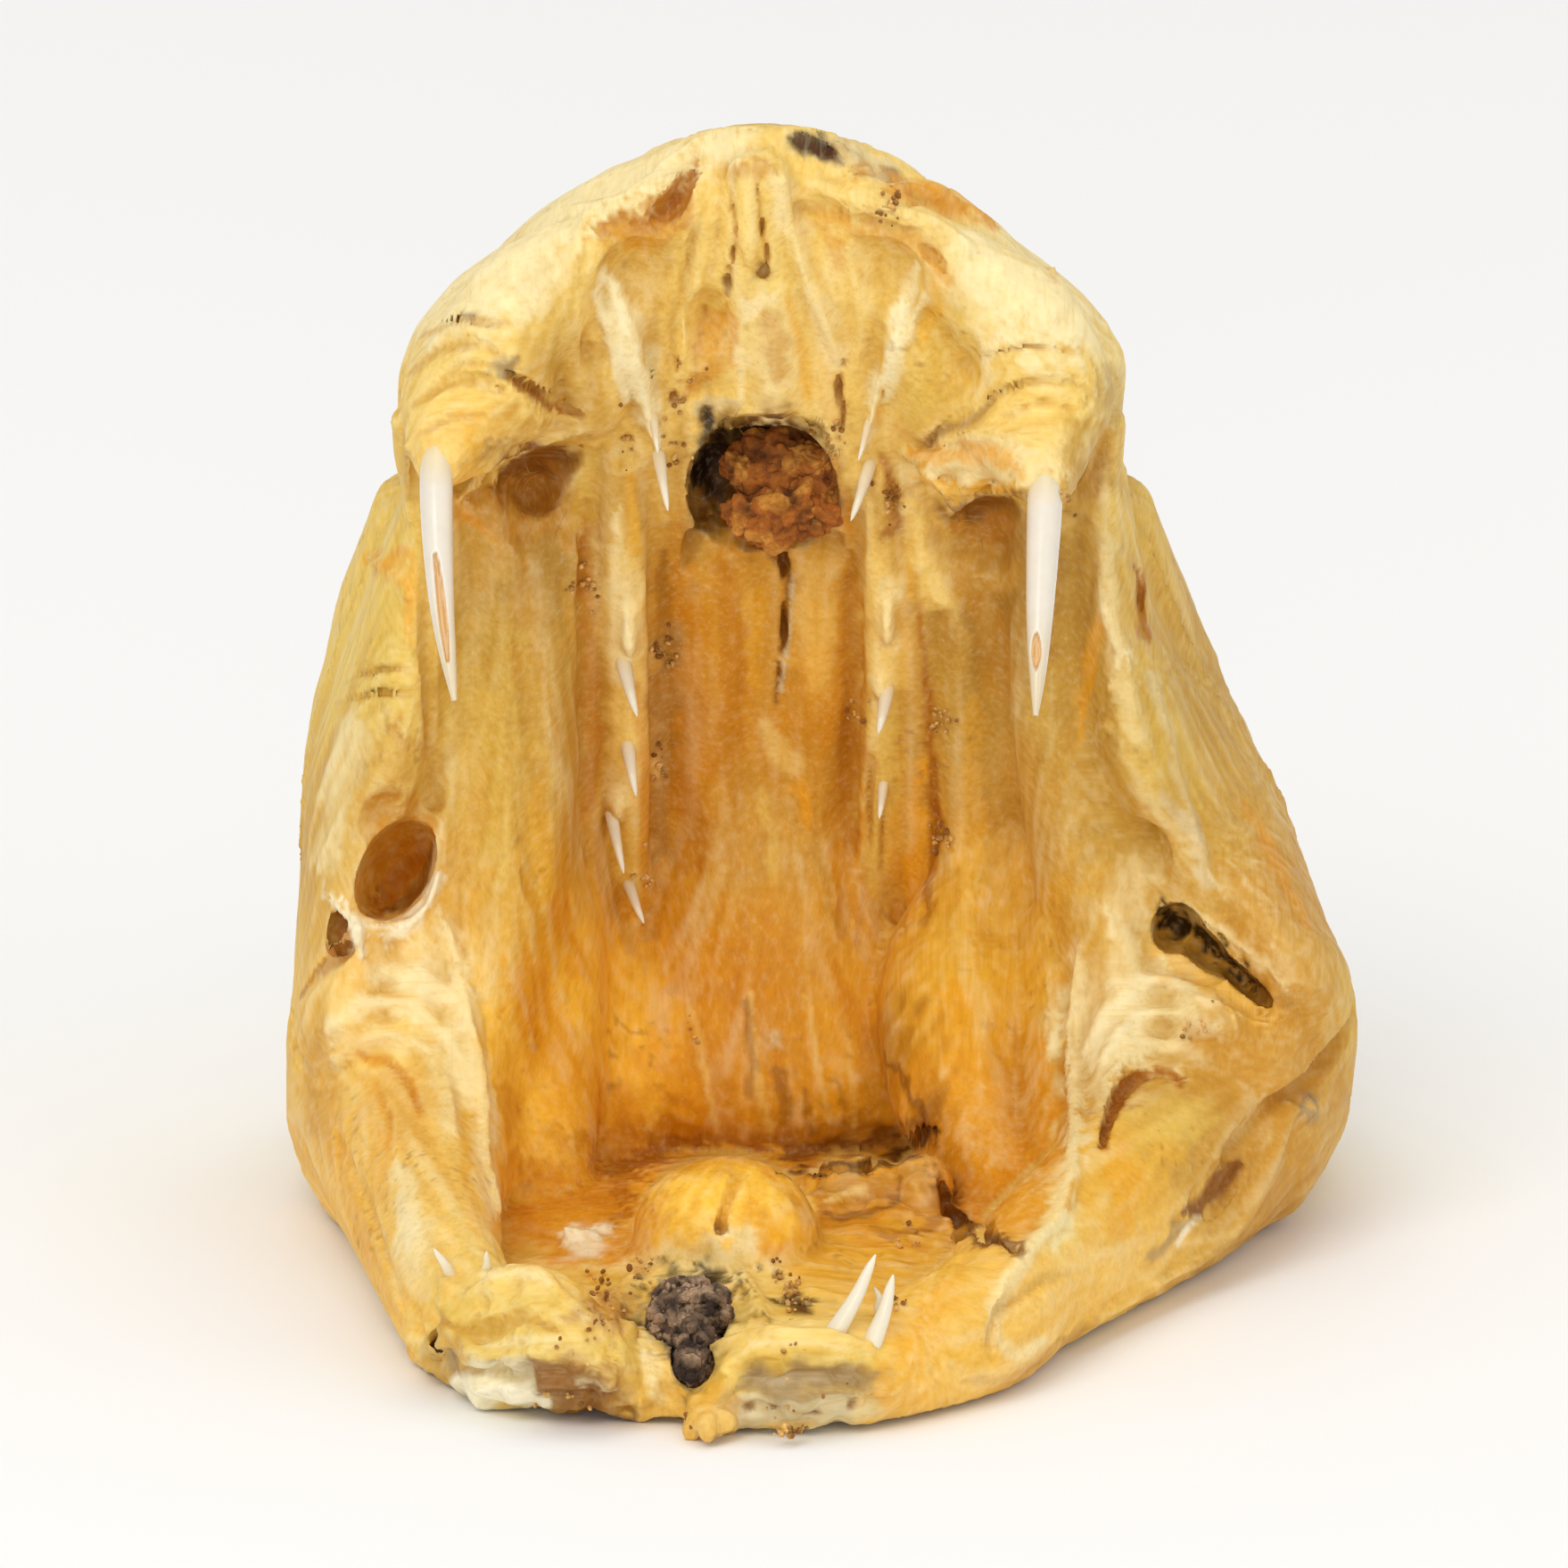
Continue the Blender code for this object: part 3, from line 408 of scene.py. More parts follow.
def pressForms(clay, relief, forms):
    for kind, soft, data, *_ in forms.values():
        if kind in ("bar", "channel"):
            clay.bar(data, soft, cut=kind == "channel")
        elif kind in ("ball", "hollow"):
            clay.ball(*data[:2], soft, kind == "hollow", *data[2:])
        elif kind in ("ridge", "groove"):
            clay.bar(laidOn(relief, data, kind == "groove"), soft, kind == "groove", steps=1)
        elif kind in ("knob", "pit"):
            for x, z, wide, tall, lift in data:
                deep = (wide + tall) / 2
                relief.refresh([x], [z])
                y = float(relief.at(x, z)) + (lift - deep if kind == "pit" else deep - lift)
                clay.ball((x, y, z), (wide, deep, tall), soft, kind == "pit")


# Main masses, as in the solids

headStations = [  # along the roof from the snout back: s, left, right, lowest and highest h
    (46.2, -3.6, -1.4, .6, 1.8), (45, -5.4, .4, 0, 2.9), (43.5, -7.6, 3, -.4, 4.8),
    (41.5, -10.4, 5.2, -.8, 6.6), (39.5, -12.4, 7.4, -1, 8.8), (37.5, -13.8, 8.8, -1, 10.4),
    (35.5, -15.7, 10.8, -1, 11.4), (33.5, -16.9, 12.1, -1, 12), (31, -17.2, 12.1, -.8, 12.6),
    (28, -16.8, 12, -.6, 13.4), (25, -17, 12.4, -.4, 14), (22, -18, 13.3, 0, 14.4),
    (18, -19.3, 14.9, 0, 14.8), (14, -20.4, 16.6, 0, 15), (10, -21, 18.6, 0, 15), (6, -21.2, 19.8, 0, 14.6),
    (2, -21.4, 20.8, 0, 13.6), (-2, -20.6, 20.2, .5, 12), (-5, -17, 17, 2, 10),
]
headSection = {"widestH": 2.5, "peaks": (0.85, 1.6), "fadeS": (28, 38)}

massForms = {
    "shoulderLeft": ("bar", 1.6, outOfRoof([(-5.6, .4, 50.4, 1.2, 1.2), (-9.2, 1.2, 48, 1.9, 2),
        (-12.2, 2.2, 45.8, 2.5, 2.8), (-13.6, 3.2, 42.8, 2.8, 3)])),
    "shoulderRight": ("bar", 1.6, outOfRoof([(1.6, .4, 50, 1.2, 1.2), (5.2, 1.2, 47.4, 1.9, 2),
        (7.9, 2.2, 45.4, 2.4, 2.8), (8.9, 3.2, 42.6, 2.8, 3)])),
    "snoutColumn": ("bar", .7, outOfRoof([(-2.6, .5, 51.4, 1.3, .9), (-2.8, .5, 48.4, 1.5, 1.1),
        (-2.6, .1, 45, 1.9, 1), (-2.4, -.4, 42.6, 1.8, .8)])),
    "lipFillLeft": ("bar", 1.6, outOfRoof([(-6.6, .1, 49, 1, .8), (-7.8, .5, 46.8, 1.5, 1.2),
        (-8.8, 1, 44.6, 1.7, 1.6), (-9.4, 1, 42.2, 1.5, 1.6)])),
    "lipFillRight": ("bar", 1.6, outOfRoof([(1.4, .1, 48.6, .9, .8), (2.8, .4, 46.6, 1.4, 1.1),
        (4, .9, 44.4, 1.7, 1.5), (4.8, .8, 42, 1.5, 1.5)])),
    "stripLeft": ("bar", .5, [(-16.7, -7.6, 41.4, .7, .9), (-16.4, -5.6, 39.6, .7, 1.2),
        (-16, -4, 38, .8, 1.6), (-16.4, -2.4, 36.2, 1, 2)]),
    "stripRight": ("bar", .5, [(11.4, -6.6, 41.4, .8, 1), (11.2, -5, 39.2, .8, 1.4),
        (11.4, -3.2, 37, .9, 1.8), (11.8, -1.8, 35, 1, 2)]),
    "throatWall": ("ball", 1, ((-1, 13.5, 15.5), (15, 8.5, 5.2))),
    "throatRamp": ("bar", 1.8, [(-2.4, 9.4, 27, 3.6, 3), (-2.2, 8.7, 24, 4.2, 3), (-1.8, 8.4, 21, 4.8, 3),
        (-1.4, 8, 18, 5, 3), (-1.2, 7.2, 15, 5, 2.8)]),
    "neck": ("bar", 1.5, [(-.3, 20.5, 22.2, 10.6, 8.5), (-.6, 24, 22.8, 10, 8.5), (-1, 29, 23.8, 9.2, 8.3),
        (-1, 38, 25.8, 8.8, 8.2)]),
    "gullet": ("bar", 2, [(0, 17, 17.5, 10, 6), (0, 20, 21, 10.5, 8.3)]),
    "cheekLeft": ("bar", 1.2, [(-15.4, -3, 38.5, 1.2, 3), (-16.2, -1.5, 35, 1.8, 4),
        (-17.1, .5, 31, 2.2, 5.5), (-18.4, 3, 27, 2.3, 6.5), (-18.7, 4.5, 23, 2.4, 7.5),
        (-18.9, 5, 19, 2.5, 8.5), (-18.8, 4.5, 15.5, 2.8, 8), (-17.5, 2, 12.5, 2.8, 6)]),
    "cheekRight": ("bar", 1.2, [(11, -3, 38.5, 1, 3), (11.5, -1.5, 35, 1.4, 4), (12.3, .5, 31, 2, 5.5),
        (14.4, 3, 27, 2.3, 6.5), (16.6, 4.5, 24, 2.4, 7.5), (18, 5, 20.5, 2.5, 8.5),
        (18.8, 4.5, 17, 2.8, 8), (17.5, 2, 13.5, 2.8, 6)]),
    "columnLeft": ("bar", 1.4, [(-12.6, -3.4, 38, 2, 1.6), (-12.2, -.4, 32, 2.3, 2.6),
        (-12.4, 2.2, 26, 2.5, 4), (-13.2, 3.2, 20, 2.6, 5), (-14.4, 1.6, 15, 2.6, 5),
        (-14.8, -3, 11.5, 2.2, 4)]),
    "columnRight": ("bar", 1.4, [(9.6, -3.4, 38, 2, 1.6), (9.2, -.4, 32, 2.3, 2.6), (10.4, 2.2, 26, 2.5, 4),
        (11.6, 3.2, 20, 2.6, 5), (12, 1.4, 15, 2.6, 5), (11.4, -3.6, 11.5, 2.2, 4)]),
    "webLeft": ("bar", 1.2, [(-14.2, -1, 37, 1.5, 2.2), (-14.8, 1.4, 31, 1.8, 3.6),
        (-15.4, 3.4, 25.5, 2, 4.8), (-16, 3.8, 20, 2.2, 5.8), (-16.4, 1.8, 15, 2.4, 5.6)]),
    "webRight": ("bar", 1.2, [(10.4, -1, 37, 1.3, 2.2), (10.9, 1.4, 31, 1.5, 3.6), (12.8, 3, 26, 1.9, 4.6),
        (14.8, 3.6, 20.5, 2.3, 5.6), (15.6, 1.6, 15.5, 2.6, 5.8)]),
    "innerWebLeft": ("bar", 1.2, outOfRoof([(-10.2, .2, 36.5, 1.2, 1.2), (-10.1, .4, 30, 1.3, 1.5),
        (-10, .5, 24, 1.4, 1.7), (-10.2, .5, 18, 1.4, 1.7)])),
    "innerWebRight": ("bar", 1.4, outOfRoof([(5.9, .2, 35, 1.5, 1.1), (6.2, .5, 29, 2, 1.7),
        (6.4, .8, 24, 2.1, 2.1), (6.6, .9, 18, 2.2, 2.4)])),
    "webPillar": ("bar", .8, [(9.4, 5, 20, 1.8, 4.4), (9.2, 2.6, 15.5, 1.7, 4.2),
        (9.4, -1.4, 11, 1.5, 3.4)]),
    "throatPillar": ("bar", 1.3, [(7.4, 8.4, 27, 2.2, 3), (7.4, 7.4, 23.5, 2.7, 3.6), (6, 6, 20, 3.4, 3.9),
        (5.6, 4, 17, 3.5, 4.1), (5.8, 1.8, 13.6, 2.7, 4), (6.9, -.6, 10.4, 1.9, 3)]),
    "innerWallLeftMiddle": ("bar", 3, [(-9, 10.2, 23, 1.6, 2.2), (-8.9, 10, 20, 2, 2.6),
        (-9, 9.6, 16.6, 2.2, 2.8), (-9, 9, 13.4, 2.2, 2.8), (-9, 8, 11, 2.2, 2.4)]),
    "innerWallLeftEdge": ("bar", 3, [(-7, 13.6, 20, 1.6, 2.2), (-7, 14, 16.6, 2, 2.6),
        (-7, 14, 13.4, 2.2, 2.6), (-7, 13, 10.8, 2.2, 2.4)]),
    "innerWallLeft": ("bar", 3, [(-10.8, 6, 24, 1.6, 2.4), (-10.8, 5.8, 20.5, 2, 2.8), (-11, 5, 17, 2.2, 3),
        (-11.2, 3.6, 13.6, 2.2, 2.8), (-11.2, 2.4, 11.4, 2, 2.2)]),
    "mouthFloor": ("bar", 1, [(-4.6, -22.5, 3.2, 5, 1.9), (-4, -16, 4.9, 9.8, 2.4),
        (-2.4, -9, 6.6, 12.6, 2.6), (-1.2, -2, 8.2, 14.4, 2.6), (-.4, 5, 9.4, 15.4, 2.6),
        (0, 9, 10.2, 15.6, 2.8), (0, 15, 13.2, 15.6, 4.4)]),
    "jawLeft": ("bar", 1, [(-17, 13, 15.5, 4.4, 5), (-17.2, 6, 14.5, 4.4, 5.2), (-16.6, -1, 12, 3.6, 4.6),
        (-15.8, -8, 9.6, 3, 4), (-15, -15, 7.2, 2.4, 3.6), (-13.4, -20, 5.4, 2.2, 2.9),
        (-11, -22.8, 4.9, 2.4, 3), (-8.8, -23.6, 3.8, 1.6, 2)]),
    "jawRight": ("bar", 1, [(17, 13, 16.2, 4.4, 5.2), (16.6, 6, 15, 4.4, 5.6), (14.6, -.5, 12.2, 3.8, 4.8),
        (11.4, -7, 9.8, 3.1, 4.2), (8.5, -13.5, 7.6, 2.6, 3.6), (5.9, -18.8, 5.4, 2.6, 3.1),
        (2.2, -22.6, 4, 2.4, 2.6), (-1.2, -24.2, 3.5, 2.2, 2.3), (-3.2, -24.4, 3.2, 1.2, 1.6)]),
    "chinScrap": ("bar", .4, [(-4.7, -21.5, 3.4, 1.8, 1.4), (-4.6, -24.3, 2.3, 1.1, 1),
        (-4.6, -26.2, 1.5, .7, .6)]),
    "glottis": ("ball", .9, ((-3.9, -11, 9), (3.8, 4.4, 3.3))),
    "sheathLeft": ("bar", .7, [(-13.2, -6.5, 43.4, 3.4, 3), (-14, -9.6, 42, 3, 2.6),
        (-14.9, -12, 40.6, 1.8, 1.8), (-15.3, -13.2, 39.5, 1, 1)]),
    "sheathRight": ("bar", .7, [(7.6, -6.5, 42.6, 3.4, 3), (8.3, -9.6, 41.4, 2.9, 2.6),
        (8.7, -12, 39.8, 1.8, 1.8), (8.8, -13.2, 38.8, 1.1, 1.1)]),
}

# Fine forms. A ridge, groove, knob or pit is laid on the surface that shows at its place in the picture

# A form may end with a tone and its strength; a darker tone on a groove, slit or pit is painted shade down in
# it.
snoutForms = {
    "pocketLeft": ("pit", 1.4, [(-7.4, 46, 1.6, 2.6, .2)]),
    "pocketRight": ("pit", 1.4, [(2.4, 46.4, 1.6, 2.2, .2)]),
    # the deep and amber tones of the two recess grooves are painted shadow under the overhanging rim
    "recessLeft": ("groove", .2, [(-9.2, 49.2, .12, .3), (-8.3, 49.25, .25, .8), (-7.2, 49.35, .42, 1.1),
        (-6.3, 49.7, .5, 1.2), (-5.7, 50.5, .4, 1.1), (-5.25, 51.6, .2, .6)], "deep", .8),
    "recessLeftShelf": ("pit", .8, [(-7, 48.7, 1.4, .8, .2)]),
    "recessRight": ("groove", .3, [(-1, 49.9, .2, .3), (.4, 49.4, .26, .6), (2, 49, .3, .7),
        (3.6, 48.5, .28, .7), (4.5, 47.9, .2, .5), (5, 47, .08, .15)], "amber", .5),
    "lipEdgeLeft": ("ridge", .5, [(-9.3, 49.6, .4, .25), (-9.9, 47.4, .5, .3), (-10.1, 45, .5, .25),
        (-9.9, 43, .4, .12)], "butter", .4),
    "lipEdgeRight": ("ridge", .5, [(5.4, 47.8, .5, .25), (5.8, 46, .5, .3), (5.6, 44.4, .4, .15)]),
    "upperRimLeft": ("ridge", .3, [(-4.8, 52.6, .4, .25), (-5.9, 51.9, .42, .35), (-7.1, 50.8, .42, .38),
        (-8.4, 50.15, .42, .35), (-9.8, 49.8, .5, .25)], "cream", .6),
    "upperRimRight": ("ridge", .4, [(-.4, 50.8, .4, .25), (1.6, 50.1, .45, .35), (4, 49.4, .45, .35),
        (5.6, 48.4, .4, .25)]),
    "columnLeft": ("ridge", .25, [(-4.5, 51.4, .4, .25), (-4.6, 49.5, .42, .4), (-4.9, 47.5, .4, .45),
        (-5.4, 45, .34, .4), (-6, 43, .26, .25)], "butter", .6),
    "columnMiddle": ("ridge", .15, [(-3.15, 51.2, .36, .15), (-3.05, 49.5, .38, .3), (-2.95, 48.4, .42, .5),
        (-2.9, 47.7, .2, .3)], "butter", .7),
    "columnRight": ("ridge", .25, [(-1.7, 51, .4, .25), (-1.4, 49.5, .42, .4), (-.8, 47.5, .4, .45),
        (.1, 45.5, .34, .4), (.55, 44, .26, .2)], "cream", .6),
    "columnGrooveLeft": ("groove", .04, [(-3.75, 50.9, .05, .12), (-3.65, 50, .07, .35),
        (-3.45, 49, .08, .45), (-3.6, 48, .08, .5), (-3.8, 47.3, .1, .4)], "tan", .7),
    "columnGrooveRight": ("groove", .04, [(-2.65, 50.9, .05, .1), (-2.5, 49.8, .06, .3),
        (-2.35, 48.8, .08, .5), (-2.2, 47.9, .08, .45), (-2.35, 47.3, .1, .35)], "tan", .7),
    "columnPits": ("pit", .12, [(-3.85, 46.95, .18, .45, .5), (-2.4, 47.4, .26, .3, .3)], "brown", .7),
    "plateHollow": ("pit", .8, [(-4.6, 44.6, .9, 2, .25), (-4.9, 42.6, .6, .5, .25)]),
    "centralPlate": ("ridge", .6, [(-1.9, 46.6, .8, .2), (-1.9, 44.5, 1.1, .3), (-1.8, 42.6, 1.3, .25)]),
    "centralSlit": ("groove", .06, [(.8, 43.8, .05, .2), (.6, 42.8, .1, .5), (.7, 42.1, .12, .5),
        (.8, 41.2, .06, .25)], "rust", .8),
    "smallPits": ("pit", .1, [(-5.85, 43.6, .1, .3, .3), (-5.95, 42.3, .16, .34, .4),
        (-7.8, 40.8, .22, .14, .25)], "rust", .7),
    "toothStreakLeft": ("ridge", .2, [(-8.4, 46.9, .3, .1), (-8.05, 45.5, .72, .4), (-7.6, 44, .66, .5),
        (-7.1, 42.4, .42, .55), (-6.8, 41, .26, .45), (-6.65, 40.4, .14, .3)], "pale", .9),
    "toothStreakRight": ("ridge", .15, [(3.2, 45.8, .25, .15), (2.7, 44.4, .34, .3), (2.2, 43, .28, .4),
        (1.9, 41.6, .2, .4), (1.55, 40.3, .12, .3)], "pale", .9),
    "streakPleats": ("ridge", .12, [(-8.9, 46.4, .16, .12), (-8.6, 45, .2, .22), (-8.2, 43.4, .18, .2),
        (-7.8, 42.2, .12, .1)], "pale", .6),
    "streakPleatsRight": ("ridge", .12, [(3.9, 46.4, .16, .1), (3.4, 45, .2, .2), (2.9, 43.6, .18, .2),
        (2.5, 42.2, .12, .1)], "pale", .6),
    "innerPleatLeft": ("ridge", .2, [(-5.6, 48.8, .25, .15), (-5.9, 47, .28, .25), (-6.3, 45, .22, .2),
        (-6.5, 43.2, .16, .12)], "butter", .5),
    "innerPleatRight": ("ridge", .2, [(.9, 48.5, .25, .15), (1.3, 46.8, .26, .22), (1.5, 45, .22, .22),
        (1.3, 43.4, .16, .15)], "butter", .4),
    "flakyRim": ("ridge", .15, [(2.9, 50.7, .35, .2), (4.3, 50.6, .5, .35), (5.5, 50.1, .4, .3),
        (6.8, 49.5, .25, .15)], "orange", .8),
    "flakyRimLow": ("groove", .06, [(3, 50.15, .1, .12), (4.4, 50, .14, .25), (5.6, 49.5, .12, .2),
        (6.8, 49, .1, .1)]),
    # its dark tone is painted shade down the hole
    "tipHole": ("pit", .1, [(-.4, 52.35, .62, .4, 1.6), (-1, 52.7, .4, .22, 1),
        (.15, 52.1, .32, .36, 1)], "dark", .95),
    "tipKnobs": ("knob", .1, [(1.6, 51.4, .36, .28, .25), (2.7, 51.2, .34, .22, .2),
        (.6, 52.4, .34, .2, .2), (1.9, 49.9, .25, .16, .15)], "tan", .5),
    "rimFlakes": ("knob", .08, [(-12.5, 49.4, .26, .12, .12), (-13, 48.8, .3, .26, .14),
        (9.2, 47.4, .18, .36, .15)], "tan", .5),
    "crackedPatch": ("pit", .05, [(2.4, 50.05, .14, .1, .2), (2.75, 49.8, .12, .14, .2),
        (2.3, 49.7, .1, .1, .16), (2.85, 50.2, .1, .1, .16)], "brown", .6),
}

sheathForms = {
    "recessLeft": ("hollow", .9, ((-11.6, -8.4, 38.8), (1.8, 6, 1.8))),
    "recessLeftTop": ("hollow", .4, ((-11, -7.6, 39.7), (1.6, 3.8, 1), 12)),
    "recessLeftFoot": ("pit", .7, [(-11.4, 37.3, 1.3, 1, .7)]),
    "recessRight": ("hollow", .7, ((6.2, -7.4, 37.7), (1.5, 5, 1))),
    "recessRightTop": ("hollow", .35, ((5.4, -6.4, 38.1), (1, 3, .6))),
    "recessRightFoot": ("pit", .7, [(6.2, 36.4, 1.3, 1.1, .25)]),
    "flapLeft": ("bar", .2, [(-14.2, -11.3, 41, 1.3, 1.2), (-13.2, -10.4, 41.35, 1.05, .9),
        (-12.1, -9.3, 41.45, .8, .7), (-11.1, -8.2, 41.4, .55, .6), (-10.2, -7, 41.3, .36, .5),
        (-9.4, -6.2, 41.3, .2, .35)]),
    "flapRimLeft": ("ridge", .12, [(-9.7, 41, .12, .3), (-10.8, 40.85, .18, .45), (-12, 40.5, .22, .5),
        (-13, 39.95, .24, .5), (-13.8, 39.1, .24, .45), (-14.5, 38.5, .2, .25)], "butter", .5),
    "flapGrooveLeft": ("groove", .1, [(-12.6, 43.3, .1, .3), (-11.6, 42.6, .16, .8), (-10.8, 42, .14, .8),
        (-9.7, 41.6, .1, .45)], "rust", .7),
    "foldsLeftA": ("groove", .1, [(-16.6, 43.4, .1, .18), (-15.5, 44.3, .13, .32), (-14, 44.5, .13, .34),
        (-12.7, 44, .1, .25)], "tan", .5),
    "foldsLeftB": ("groove", .1, [(-16.4, 42.1, .1, .16), (-15, 43, .13, .3), (-13.6, 43, .13, .3),
        (-12.7, 42.5, .1, .2)], "tan", .5),
    "foldsLeftC": ("groove", .1, [(-16.1, 41, .1, .15), (-14.8, 41.7, .12, .26),
        (-13.5, 41.6, .1, .2)], "tan", .5),
    "foldsLeftD": ("groove", .12, [(-16.1, 44.9, .1, .14), (-14.6, 45.5, .13, .24),
        (-12.6, 45.2, .12, .2)], "tan", .4),
    "foldsLeftE": ("groove", .1, [(-15.9, 42.6, .08, .1), (-14.6, 43.7, .1, .18),
        (-13.2, 43.8, .08, .14)], "tan", .4),
    "flapRight": ("bar", .2, [(8.4, -11.2, 40.2, 1.2, 1.1), (7.2, -10.2, 40, 1.05, .9),
        (6, -9, 39.9, 1, .75), (4.9, -7.8, 39.8, .9, .65), (4, -6.5, 40, .6, .5),
        (3.1, -5.4, 40.4, .25, .35)]),
    "flapTipRight": ("bar", .3, [(6.2, -9.4, 39.2, .5, .45), (5.4, -8.7, 38.75, .45, .4),
        (4.7, -8, 38.9, .4, .35), (4, -7, 39.5, .3, .3)]),
    "flapCornerRight": ("ridge", .12, [(3.9, 39.5, .2, .35), (4.6, 38.8, .24, .5), (5.2, 38.3, .26, .6),
        (6.1, 38.75, .2, .5), (7.8, 38.8, .18, .4)], "honey", .7),
    "flapRimRight": ("ridge", .12, [(4.6, 40.7, .2, .35), (5.4, 41, .26, .45), (6.4, 40.9, .24, .4),
        (7.6, 40.85, .2, .3), (8.8, 40.6, .16, .15)], "butter", .5),
    "flapGrooveRight": ("groove", .08, [(4.2, 40.6, .12, .3), (5.2, 41.3, .15, .6), (5.9, 41.65, .15, .6),
        (6.8, 42.3, .1, .3)], "brown", .6),
    "foldsRightA": ("groove", .12, [(6.6, 42.4, .1, .14), (8.3, 43, .13, .24), (9.9, 42.95, .12, .2),
        (11, 42.4, .1, .1)], "ochre", .5),
    "foldsRightB": ("groove", .15, [(6.2, 43.9, .1, .08), (8.2, 44.4, .13, .12),
        (10.4, 44.1, .1, .08)], "ochre", .35),
    "foldsRightC": ("groove", .1, [(7.2, 41.7, .08, .1), (8.6, 42.1, .1, .2),
        (10, 41.9, .08, .14)], "tan", .4),
    "gumRight": ("knob", .08, [(9.55, 38.5, .22, .32, .25), (9.75, 38.9, .16, .2, .2)], "tan", .6),
    "sheathSpots": ("knob", .06, [(-12.7, 43.75, .55, .34, .12), (-14.2, 45.7, .36, .18, .06)], "grey", .8),
}

palateForms = {
    "channel": ("channel", 1, outOfRoof([(-2.4, .1, 37, 3, .5), (-2.6, .1, 33, 3.3, .65),
        (-2.6, .2, 29.5, 3.2, .6), (-2.6, .5, 27, 2.8, .4)])),
    "choana": ("hollow", .25, ((-2.3, -4.4, 39.2), (2.75, 3.6, 2.3))),
    "choanaSide": ("hollow", .25, ((-4.2, -3.6, 38.9), (1.25, 3.2, 2.5), 8)),
    "choanaRight": ("hollow", .25, ((-.9, -3.8, 38.6), (1.5, 3, 2), -8)),
    "choanaTop": ("groove", .3, [(-4.7, 40.4, .4, 1.6), (-3.6, 41.1, .45, 1.8), (-1.8, 41.2, .42, 1.8),
        (-.3, 40.6, .36, 1.2)]),
    "choanaNotch": ("groove", .1, [(-1.3, 42.1, .16, .3), (-1.25, 41.4, .3, .6)]),
    "choanaFoot": ("groove", .5, [(-4.9, 38.4, .35, .8), (-5.1, 37, .3, .4),
        (-5.3, 35.6, .2, .2)], "brown", .35),
    "choanaSill": ("pit", .5, [(-2.4, 36.9, 2.2, .8, .8)]),
    "choanaRim": ("ridge", .15, [(-5.4, 38.6, .14, .15), (-5, 40.5, .2, .25), (-3.8, 41.8, .22, .25),
        (-2.4, 41.75, .16, .15)]),
    "toothRidgeLeft": ("bar", .5, outOfRoof([(-8, .5, 39.6, .8, .8), (-8, .6, 37.6, .9, .8),
        (-7.9, .8, 35, 1, .8), (-7.9, .8, 31, 1.05, .85), (-7.9, .8, 27, 1.05, .85),
        (-7.8, .8, 22.6, .8, .8)])),
    "toothRidgeRight": ("bar", .5, outOfRoof([(2.2, .5, 39.4, .7, .8), (2.2, .6, 37.6, .8, .8),
        (2.5, .8, 33.5, 1, .8), (2.4, .8, 28, 1.1, .85), (2, .8, 21.6, .9, .8)])),
    "ridgeBulges": ("knob", .3, [(-7.75, 33.6, .55, 1.7, .35), (2.55, 33.9, .45, 1.5, .35),
        (-8.2, 26.4, .5, .9, .25), (2.3, 31, .4, .8, .25)], "cream", .55),
    "grooveOuterLeft": ("groove", .5, [(-9.5, 38, .2, .1), (-9.5, 34, .3, .25), (-9.4, 28, .3, .25),
        (-9.2, 24, .25, .1)], "tan", .4),
    "grooveInnerLeft": ("groove", .7, [(-6.2, 37, .25, .1), (-6.1, 33, .5, .3), (-6.1, 28, .45, .3),
        (-6.3, 24, .3, .15)]),
    "grooveOuterRight": ("groove", .15, [(3.9, 34.2, .1, .15), (4.2, 31, .14, .3), (4.4, 26, .14, .3),
        (4.1, 22, .1, .15)], "rust", .7),
    "grooveInnerRight": ("groove", .4, [(1, 36, .2, .25), (1.1, 31, .25, .35), (1, 26, .25, .3),
        (.9, 21, .2, .2)], "tan", .5),
    "paleFoldRight": ("ridge", .5, [(3.5, 38.2, .4, .3), (4, 36.4, .75, .55),
        (4.8, 34.3, .6, .3)], "butter", .7),
    "midlineSlit": ("groove", .08, [(-1.8, 36.9, .16, .8), (-1.5, 35, .1, .5), (-1.6, 33, .09, .4),
        (-1.9, 30.2, .06, .2)], "brown", .8),
    "midlineThread": ("ridge", .05, [(-1.3, 35.2, .05, .15), (-1.4, 33, .07, .25),
        (-1.75, 30.6, .06, .15)], "ash", .8),
    "pleatsRightA": ("groove", .15, [(1.9, 28, .12, .2), (1.7, 24.5, .14, .32),
        (1.5, 20.5, .12, .2)], "tan", .45),
    "pleatsRightB": ("groove", .15, [(3.2, 27.5, .1, .2), (3.2, 24.5, .12, .28),
        (3.1, 21, .1, .18)], "tan", .45),
    "pleatsRightC": ("groove", .15, [(2.5, 26.5, .1, .18), (2.4, 23.5, .12, .25),
        (2.3, 20.5, .1, .15)], "tan", .45),
    "channelSwell": ("ridge", .9, [(-4, 35, .7, .12), (-4.2, 30, .9, .2), (-4, 25, .8, .1)]),
    "channelSwellRight": ("ridge", .9, [(-.2, 35.4, .6, .12), (-.3, 30, .8, .2), (-.4, 25, .7, .1)]),
    "creaseFillRight": ("bar", .7, outOfRoof([(3.7, .1, 36, .8, .9), (3.8, .3, 31, 1, 1.1),
        (3.9, .3, 25, 1.1, 1.15), (3.6, .2, 20, 1.1, 1.15), (3.4, 0, 17.5, 1, 1.1)])),
    "ridgeRootLeft": ("bar", 1, outOfRoof([(-8, .1, 24, .9, .9), (-7.9, .1, 21.4, 1.3, 1),
        (-7.8, 0, 18.4, 1.5, 1.2)])),
}

